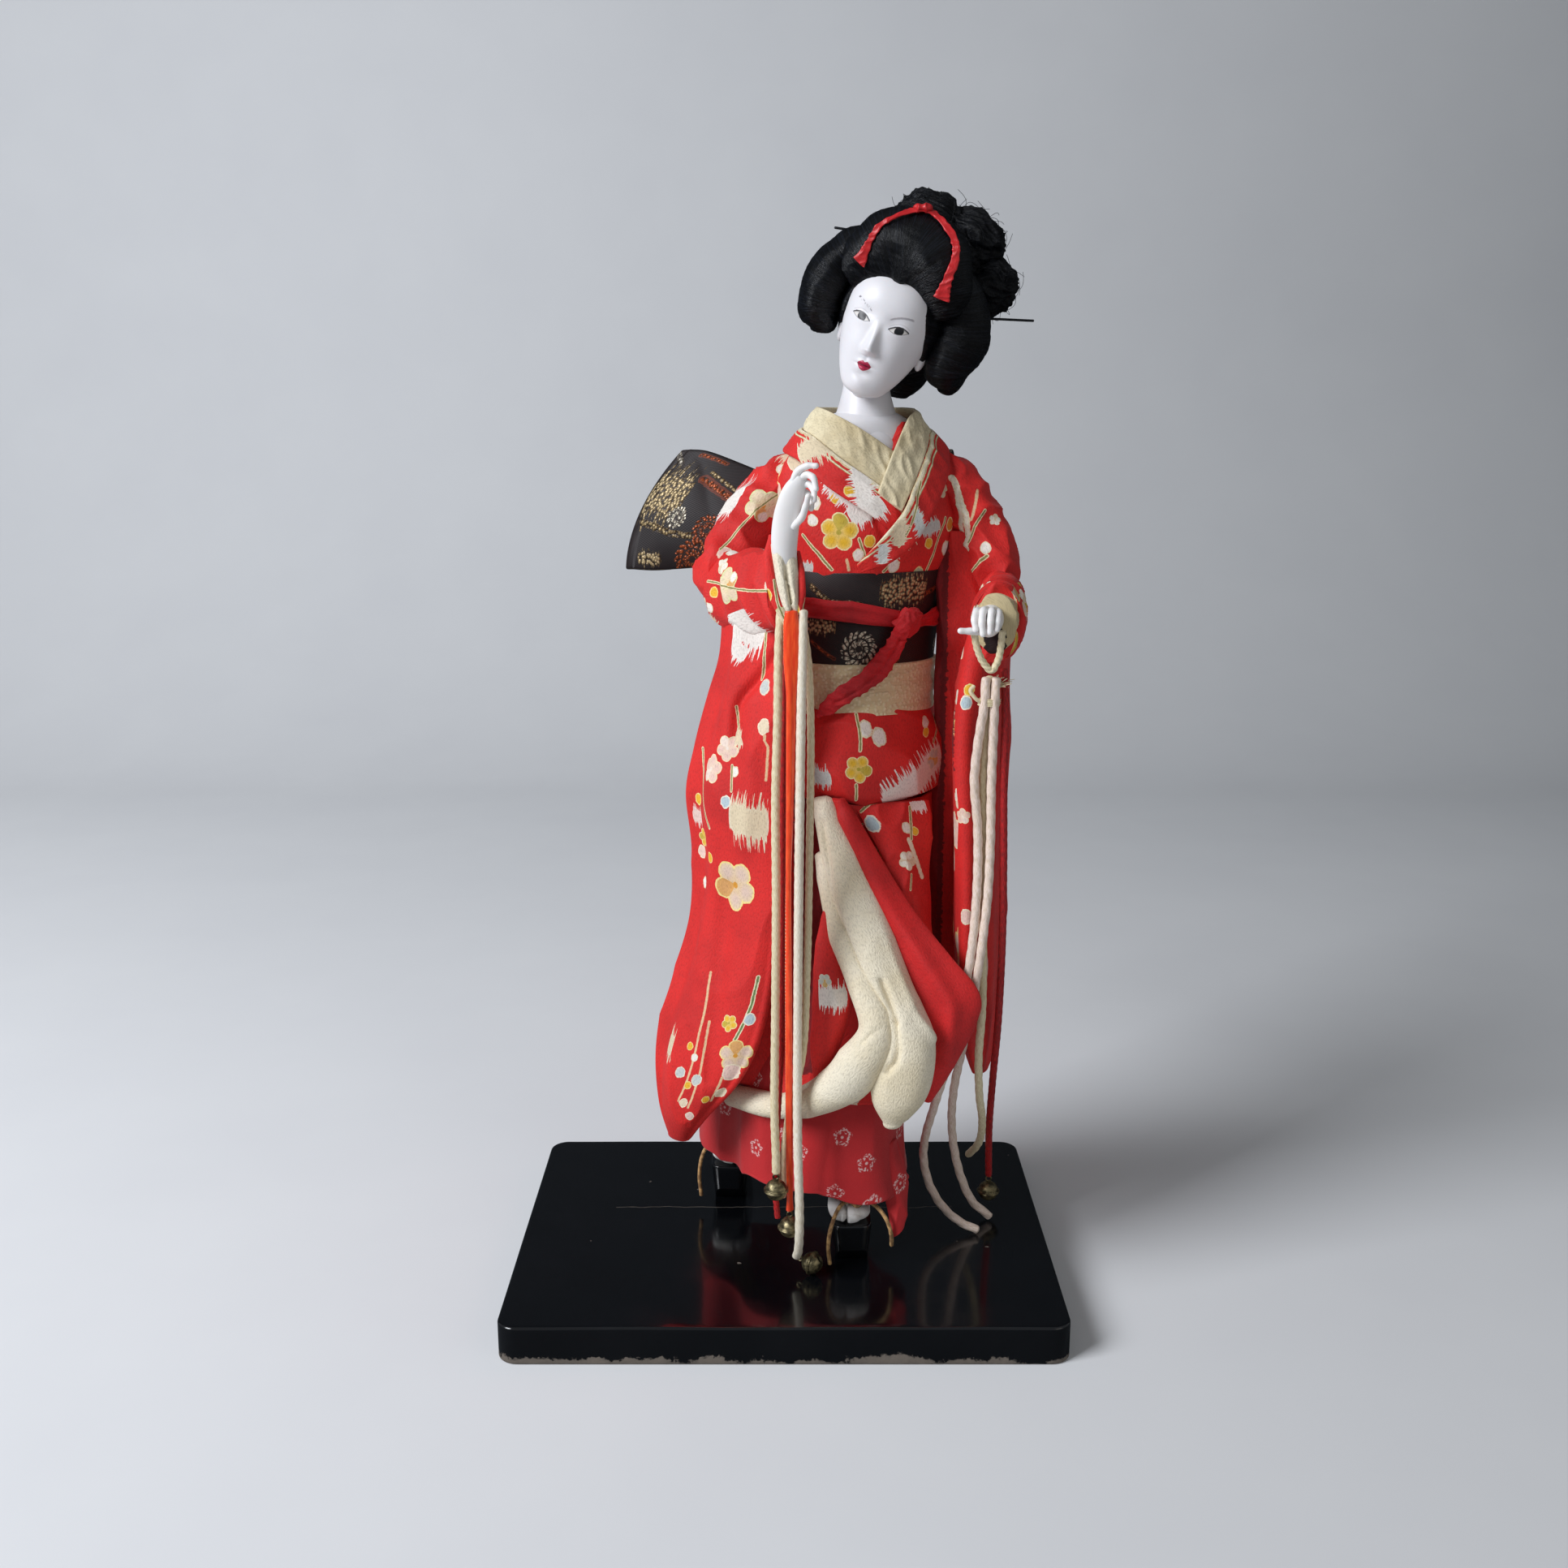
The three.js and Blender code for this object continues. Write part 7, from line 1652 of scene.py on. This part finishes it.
def band(value, middle, half, soft):
    """1 where value is within half of middle, fading over soft."""
    off = calc("ABSOLUTE", calc("SUBTRACT", value, middle))
    return between(off, half + soft, half)


def eye(base, x, z, way):
    """A half-lidded eye: an almond between two arches, a dark iris, a strong upper and a faint lower line."""
    u = calc("SUBTRACT", face_x, x)
    w = calc("SUBTRACT", calc("SUBTRACT", face_z, z), calc("MULTIPLY", u, 0.12 * way))
    top, low = under_arch(u, 3.8, 1.5), under_arch(u, 3.8, -1.15)
    under_top = between(calc("SUBTRACT", top, w), -0.05, 0.1)
    open_eye = calc("MULTIPLY", under_top, between(calc("SUBTRACT", w, low), -0.05, 0.1))
    aside, aloft = (calc("POWER", calc("SUBTRACT", *off), 2.0) for off in ((u, 0.2), (w, 0.1)))
    iris = between(calc("SQRT", calc("ADD", aside, aloft)), 1.85, 1.65)
    ball = mixed(iris, tone("DAD6D2"), tone("14161B"))
    lid_shadow = between(calc("SUBTRACT", top, w), 0.9, 0.0)
    ball = mixed(calc("MULTIPLY", lid_shadow, 0.55), ball, tone("3A3536"))
    base = mixed(open_eye, base, ball)
    inside = calc("LESS_THAN", calc("ABSOLUTE", u), 3.9)
    upper = calc("MULTIPLY", band(calc("SUBTRACT", w, top), 0.05, 0.17, 0.15), inside)
    lower = calc("MULTIPLY", band(calc("SUBTRACT", w, low), -0.02, 0.05, 0.16), inside)
    crease = calc("MULTIPLY", band(calc("SUBTRACT", w, top), 1.15, 0.03, 0.3), inside)
    base = mixed(calc("MULTIPLY", crease, 0.3), base, tone("9C9899"))
    base = mixed(calc("MULTIPLY", lower, 0.7), base, tone("5D5757"))
    return mixed(calc("MULTIPLY", upper, 0.95), base, tone("1C191B"))


painted = eye(skin_tone, -8.9, 3.2, -1)
painted = eye(painted, 6.6, 2.9, 1)
u = calc("SUBTRACT", face_x, 6.4)
brow = calc("SUBTRACT", calc("SUBTRACT", face_z, 7.0), calc("MULTIPLY", u, 0.29))
brow = calc("SUBTRACT", brow, under_arch(u, 4.6, 0.9))
brow = band(brow, 0.0, 0.18, 0.4)
brow = calc("MULTIPLY", brow, between(calc("ABSOLUTE", u), 4.7, 3.6))
painted = mixed(calc("MULTIPLY", brow, 0.62), painted, tone("7C757C"))
u = calc("ADD", face_x, 9.2)
brow = calc("SUBTRACT", calc("SUBTRACT", face_z, 8.3), calc("MULTIPLY", u, -0.45))
brow = band(brow, 0.0, 0.25, 0.45)
worn = between(noise(local, 0.9, 2.0), 0.42, 0.6)
brow = calc("MULTIPLY", brow, calc("MULTIPLY", worn, between(calc("ABSOLUTE", u), 4.2, 3.2)))
painted = mixed(calc("MULTIPLY", brow, 0.85), painted, tone("6E676E"))
u = calc("ADD", face_x, 1.25)
w = calc("ADD", face_z, 13.0)
dip = calc("MULTIPLY", between(calc("ABSOLUTE", u), 1.1, 0.0), 0.55)
top = calc("SUBTRACT", under_arch(u, 3.0, 1.75), dip)
low = under_arch(u, 3.0, -2.3)
under_top = between(calc("SUBTRACT", top, w), -0.05, 0.2)
lips = calc("MULTIPLY", under_top, between(calc("SUBTRACT", w, low), -0.05, 0.25))
lips = calc("MULTIPLY", lips, calc("LESS_THAN", calc("ABSOLUTE", u), 3.0))
lip_tone = mixed(noise(local, 0.7, 2.0), tone("A0173A"), tone("BC3354"))
parting = calc("MULTIPLY", band(w, -0.25, 0.05, 0.28), 0.85)
lip_tone = mixed(parting, lip_tone, tone("4A0A18"))
painted = mixed(lips, painted, lip_tone)
painted = mixed(in_front, skin_tone, painted)
surface(shader, painted, Roughness=0.4, **waxy)
relief(shader, noise(place, 1800.0, 2.0), 0.00002)

skull = [
    [-25, 2.5, -15.5, -9], [-23, 7.5, -17.6, -6], [-18, 11.2, -18.6, 0], [-11, 14.4, -19.2, 8],
    [-3, 16.8, -19.4, 14], [5, 17.6, -19.6, 18], [13, 17, -19.4, 19], [20, 13.8, -15.6, 16],
    [24.5, 8, -8, 9],
]
rows = sides = 250
z, a, near_y, far_y = smooth(skull, rows).T[:, :, None]
angle = turns(sides, math.pi)[None]
middle = np.minimum((near_y + far_y) / 2, -3.0)
depth = np.where(np.cos(angle) > 0, middle - near_y, far_y - middle)
x = a * np.sign(np.sin(angle)) * np.abs(np.sin(angle)) ** 0.92
y = middle - depth * np.cos(angle)
head = np.stack([x, y, z + 0 * angle], 2)
x, z = head[..., 0] + 1.2, head[..., 2]
ahead = np.clip(np.cos(angle), 0, 1) ** 1.5
rise = 0.5 * bump(x, z, (-7.7, 2.6), 3.6, 2.2) + 0.5 * bump(x, z, (7.8, 2.4), 3.6, 2.2)
rise -= 0.9 * bump(x, z, (-5.6, 5.2), 3.4, 2.6) + 0.9 * bump(x, z, (5.6, 5.0), 3.4, 2.6)
run = np.clip((4.5 - z) / 11.5, 0, 1)
ridge = 4.4 * run**1.1 * np.clip((z + 9.6) / 2.4, 0, 1) ** 0.6
rise += ridge * np.exp(-np.abs(x / (1.35 + 0.9 * run)) ** 2.2)
rise += 1.1 * bump(x, z, (-2.1, -7.3), 1.2, 1.3) + 1.1 * bump(x, z, (2.1, -7.3), 1.2, 1.3)
rise += 0.9 * bump(x, z, (0, -12.2), 2.6, 0.9) + 1.2 * bump(x, z, (0, -14.3), 2.2, 1.0)
rise -= 0.7 * bump(x, z, (0, -13.2), 2.9, 0.35) + 0.5 * bump(x, z, (0, -16.8), 2.6, 1.1)
cheeks = ((9, -6), (-9, -6))
chin = bump(x, z, (0, -20.5), 4.2, 2.8)
rise += chin + 0.6 * bump(x, z, cheeks[0], 5, 6) + 0.6 * bump(x, z, cheeks[1], 5, 6)
rise -= 0.35 * bump(x, z, (0, -10.3), 0.7, 1.1)
head[..., 1] -= rise * ahead
skull_part = skin(in_head(domed(head, 0.8, 1.0)))
ears = []
for side in (-1, 1):
    ear = ball((side * 16.4, 0.5, -5), (2.0, 3.6, 5), 40, 60, pole=0.05)
    ears.append(skin(in_head(ear)))
neck = [
    [8.4, 381], [8.8, 374], [10, 368], [11.8, 362], [14, 356], [16.4, 350], [17.2, 346.4], [17.8, 343],
    [17.2, 341], [15, 340],
]
rows = sides = 120
r, z = smooth(neck, rows).T[:, :, None]
turn = turns(sides, math.pi / 2)[None]
tendon = 1 + 0.012 * np.cos(2 * turn)
throat = np.stack([32.5 + r * np.cos(turn) * tendon, 10 + r * np.sin(turn) * tendon, z + 0 * turn], 2)
whole = joined(skull_part, *ears, skin(domed(throat, 0.4, 0.4, 3)))
dress(whole, face_white, "shell_white", "head", body="head")
breast = [
    [338, 33.6, 15, 35.6, 22.6, 20], [347, 33, 14.6, 30.6, 20, 20], [354, 32.7, 13.4, 24.2, 17.6, 20],
    [359, 32.5, 11.8, 18.4, 15, 20], [362, 32.5, 11, 13, 12, 20],
]
dress(skin(domed(stack(breast, 60, 200), 1.0, 1.0), name="breast"), face_white, "shell_white")


# Hair: fine black silk, oiled and combed back from the face into side wings, with a loose knot on the crown.
def strands(name, across, along, wild=1.0):
    """Combed hair: narrow streaks along the comb's way, painted lighter blue-black on the ridges as a painted
    sheen.
    """
    material, tree, shader, place, uv = finish(name)
    combed = add(tree, "ShaderNodeMapping", {"Vector": uv, "Scale": (across, along, 1)}).outputs[0]
    drift = add(tree, "ShaderNodeTexNoise", {"Vector": uv, "Scale": 0.12 * wild, "Detail": 2.0}).outputs[1]
    shift = add(tree, "ShaderNodeVectorMath", {0: drift, 3: 2.5 * wild}, operation="SCALE").outputs[0]
    combed = add(tree, "ShaderNodeVectorMath", {0: combed, 1: shift}, operation="ADD").outputs[0]
    hair = noise(combed, 1.0, 4.0, 0.65)
    # Painted sheen: the streaks' ridges are painted a lighter blue-black.
    base = mixed(between(hair, 0.45, 0.75), tone("050608"), tone("1C2029"))
    surface(shader, base, Specular_IOR_Level=0.24)
    tree.links.new(calc("MULTIPLY_ADD", hair, -0.2, 0.46), shader.inputs["Roughness"])
    relief(shader, hair, 0.0004)
    return material


hair_across = strands("combed black silk hair", 0.07, 3.6, 0.35)
hair_wild = strands("loose black silk hair", 2.6, 0.22, 2.2)


def tuft(stations, side, seed):
    """A roll of hair: an oval limb, closed at both ends, with shallow combed furrows along it."""
    rings = domed(limb(stations, 96, 120, side), 1.5, 1.5)
    combed = 0.3 * waves(rings, 12, seed) + 0.12 * creases(rings, 2.2, seed + 1, (6, 1, 1))
    return skin(in_head(pushed(rings, combed)))


cap = ball((0, 3.5, 6), (21, 23.5, 24.5), 120, 180, math.pi / 2)
hairline = [
    [-180, 25.5], [-135, 19.7], [-90, 16.4], [-59, 19], [-42, 23.6], [-28, 26], [-12, 28.6], [-4, 27.6],
    [7, 28.2], [18, 26.6], [36, 22.6], [60, 18.8], [90, 16.4], [135, 19.7], [180, 25.5],
]
way = np.degrees(np.arctan2(cap[..., 0] + 0.6, cap[..., 2] + 8.5))
oval = np.hypot(cap[..., 0] + 0.6, cap[..., 2] + 8.5) / np.interp(way, *np.array(hairline, float).T)
opened = (cap[..., 1] < 0) * np.clip((1.08 - oval) / 0.12, 0, 1) + np.clip((-13 - cap[..., 2]) / 5, 0, 1)
cap = pushed(cap, 0.3 * waves(cap, 6, 301))
cap = cap + unit(np.array([0, 3.5, 6]) - cap) * (5.5 * np.clip(opened, 0, 1))[..., None]
front_roll = [
    [-19.5, -4, 14, 7, 8], [-15, -4, 21, 12, 13], [-8, -2.5, 27, 16.2, 17], [0, -1.6, 28.8, 17.4, 17.6],
    [8, -2.5, 27.2, 16.4, 16.8], [15, -4, 20.5, 12, 12.5], [19.5, -4, 13, 7, 7],
]
back_roll = [[2, 14, 6, 17, 10], [4, 24, -6, 16.5, 10], [7, 28, -17, 12.5, 8], [8, 29, -24, 6, 4.5]]
crown = joined(skin(in_head(cap)), tuft(front_roll, (0, 1, 0), 310), tuft(back_roll, (1, 0, 0), 320))
dress(crown, hair_across, "black_hair", "hair_cap", body="head")
wing = [
    [-14, 6, 30, 5, 8], [-22, 5, 24, 9, 13], [-28, 5, 12, 10, 17], [-28.5, 5, 0, 9, 16],
    [-26, 5, -6.5, 6.5, 11], [-25.4, 5, -9.0, 4.4, 7],
]
dress(tuft(wing, (1, 0, 0), 330), hair_across, "black_hair", "hair_wing_right", body="head")
wing = [
    [14, 8, 29, 5, 8], [21, 9, 22, 9, 13], [25.6, 10, 9, 12.4, 17], [26.4, 10, -3, 11, 16],
    [28.5, 12, -10, 6.2, 10.6], [28.8, 12, -14, 3.4, 6],
]
dress(tuft(wing, (1, 0, 0), 340), hair_across, "black_hair", "hair_wing_left", body="head")

lobes = [
    [8, 21, 34, 16, 13, 12], [-2, 24, 42.5, 14, 12, 12], [15, 26, 42, 14, 12, 11.5],
    [28, 26, 28, 12, 12, 11.5], [24, 25, 19, 10, 11, 9], [-14, 20, 33, 9, 9, 8],
]
parts = []
for k, (x, y, z, a, b, c) in enumerate(lobes):
    lobe = ball((x, y, z), (a, b, c), 84, 108)
    combed = 0.9 * creases(lobe, 9, 350 + k, (2.5, 1, 1)) + 0.5 * creases(lobe, 4, 360 + k, (3, 1, 1))
    parts.append(skin(in_head(pushed(lobe, combed))))
random = np.random.default_rng(7)
for k in range(210):
    x, y, z, a, b, c = lobes[k % 5]
    way = unit(random.normal(size=3) + [0, -0.4, 0.5])
    start = np.array([x, y, z]) + way * [a, b, c] * 0.96
    turn_to = unit(np.cross(way, random.normal(size=3)))
    t = np.linspace(0, 1, 12)[:, None]
    reach = random.uniform(4, 13)
    lift = random.uniform(0.3, 1.6)
    path = start + turn_to * reach * t + way * lift * np.sin(math.pi * t) * 2 - way * 0.8 * t
    ahead = unit(np.gradient(path, axis=0))
    one = unit(np.cross(ahead, way))
    two = np.cross(ahead, one)
    around = turns(5)[None, :, None]
    rings = path[:, None] + 0.09 * (np.cos(around) * one[:, None] + np.sin(around) * two[:, None])
    parts.append(skin(in_head(rings)))
dress(joined(*parts), hair_wild, "black_hair", "hair_bun", body="head")

# Ribbon: a narrow red silk ribbon tied over the front hair, its flat ends spread on both sides.
ribbon_silk, tree, shader, place, uv = finish("red silk hair ribbon")
line = noise(add(tree, "ShaderNodeMapping", {"Vector": uv, "Scale": (4, 0.3, 1)}).outputs[0], 1.0, 2.0)
surface(shader, mixed(line, tone("A81217"), tone("D8262A")), Roughness=0.4)
relief(shader, line, 0.0001)
tie = [
    [28.2, -13.4, 417.4, 2.9, 0.75, 0.0, -0.66], [30.8, -14.5, 422.4, 1.6, 0.85, 0.0, -0.5],
    [32.7, -14.6, 426.2, 1.3, 0.82, -0.1, -0.55], [35.6, -15.1, 430.3, 1.2, 0.7, -0.3, -0.6],
    [40.5, -14.9, 433.2, 1.2, 0.4, -0.5, -0.6], [46.6, -13.5, 435.5, 1.5, 0.1, -0.7, -0.6],
    [51.9, -11.7, 436.8, 2.2, 0.0, -0.8, -0.6], [56.1, -12.2, 435.1, 1.7, -0.4, -0.6, -0.5],
    [59.7, -15.1, 431, 1.5, -0.8, -0.3, -0.4], [62.7, -17.1, 426.4, 1.5, -0.95, -0.1, -0.3],
    [64, -18.3, 421.4, 1.5, -1.0, 0.0, 0.0], [63.4, -19, 416.8, 1.6, -0.97, 0.0, 0.2],
    [61.6, -20, 412.1, 1.8, -0.93, 0.0, 0.35], [59.9, -19, 407.4, 2.4, -0.93, 0.0, 0.35],
    [59, -18, 403.8, 3.3, -0.93, 0.0, 0.35],
]
edges = [[x - w * a, y - w * b, z - w * c, x + w * a, y + w * b, z + w * c] for x, y, z, w, a, b, c in tie]
rings = strip(edges, 220, 28, 0.9)
rings = domed(pushed(rings, 0.2 * creases(rings, 3, 371, (2, 2, 1))), 0.3, 0.3)
knot = ball((-12, 436.9, 52), (2.2, 1.7, 3.6), 40, 60)[..., [2, 0, 1]]
knot = skin(pushed(knot, 0.35 * creases(knot, 4, 372)))
dress(joined(skin(rings), knot), ribbon_silk, "hair_ribbon_silk", "hair_ribbon", body="head")

# Hairpins: two thin dark pins, pushed through the knot.
pin_metal, tree, shader, place, uv = finish("dark pin metal")
rub = noise(place, 700.0, 3.0)
surface(shader, mixed(rub, tone("1A1B1E"), tone("4B4D52")), Metallic=0.9, Roughness=0.35)
relief(shader, rub, 0.00003)
pins = {"hairpin_right": ([-36, 20.3, 28], [-12, 20, 33]), "hairpin_left": ([22, 26, 13], [49.7, 36, 21.6])}
for name, (one, two) in pins.items():
    t = np.linspace(0, 1, 40)[:, None]
    path = np.array(one) * (1 - t) + np.array(two) * t
    rings = limb(np.hstack([path, np.full((40, 2), 0.5)]), 40, 20, (0, 0, 1))
    dress(skin(in_head(domed(rings, 0.5, 0.5))), pin_metal, "dark_metal", name, body="head")

[[list(map(float, corner)) for corner in size] for size in (size_at_load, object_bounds())]
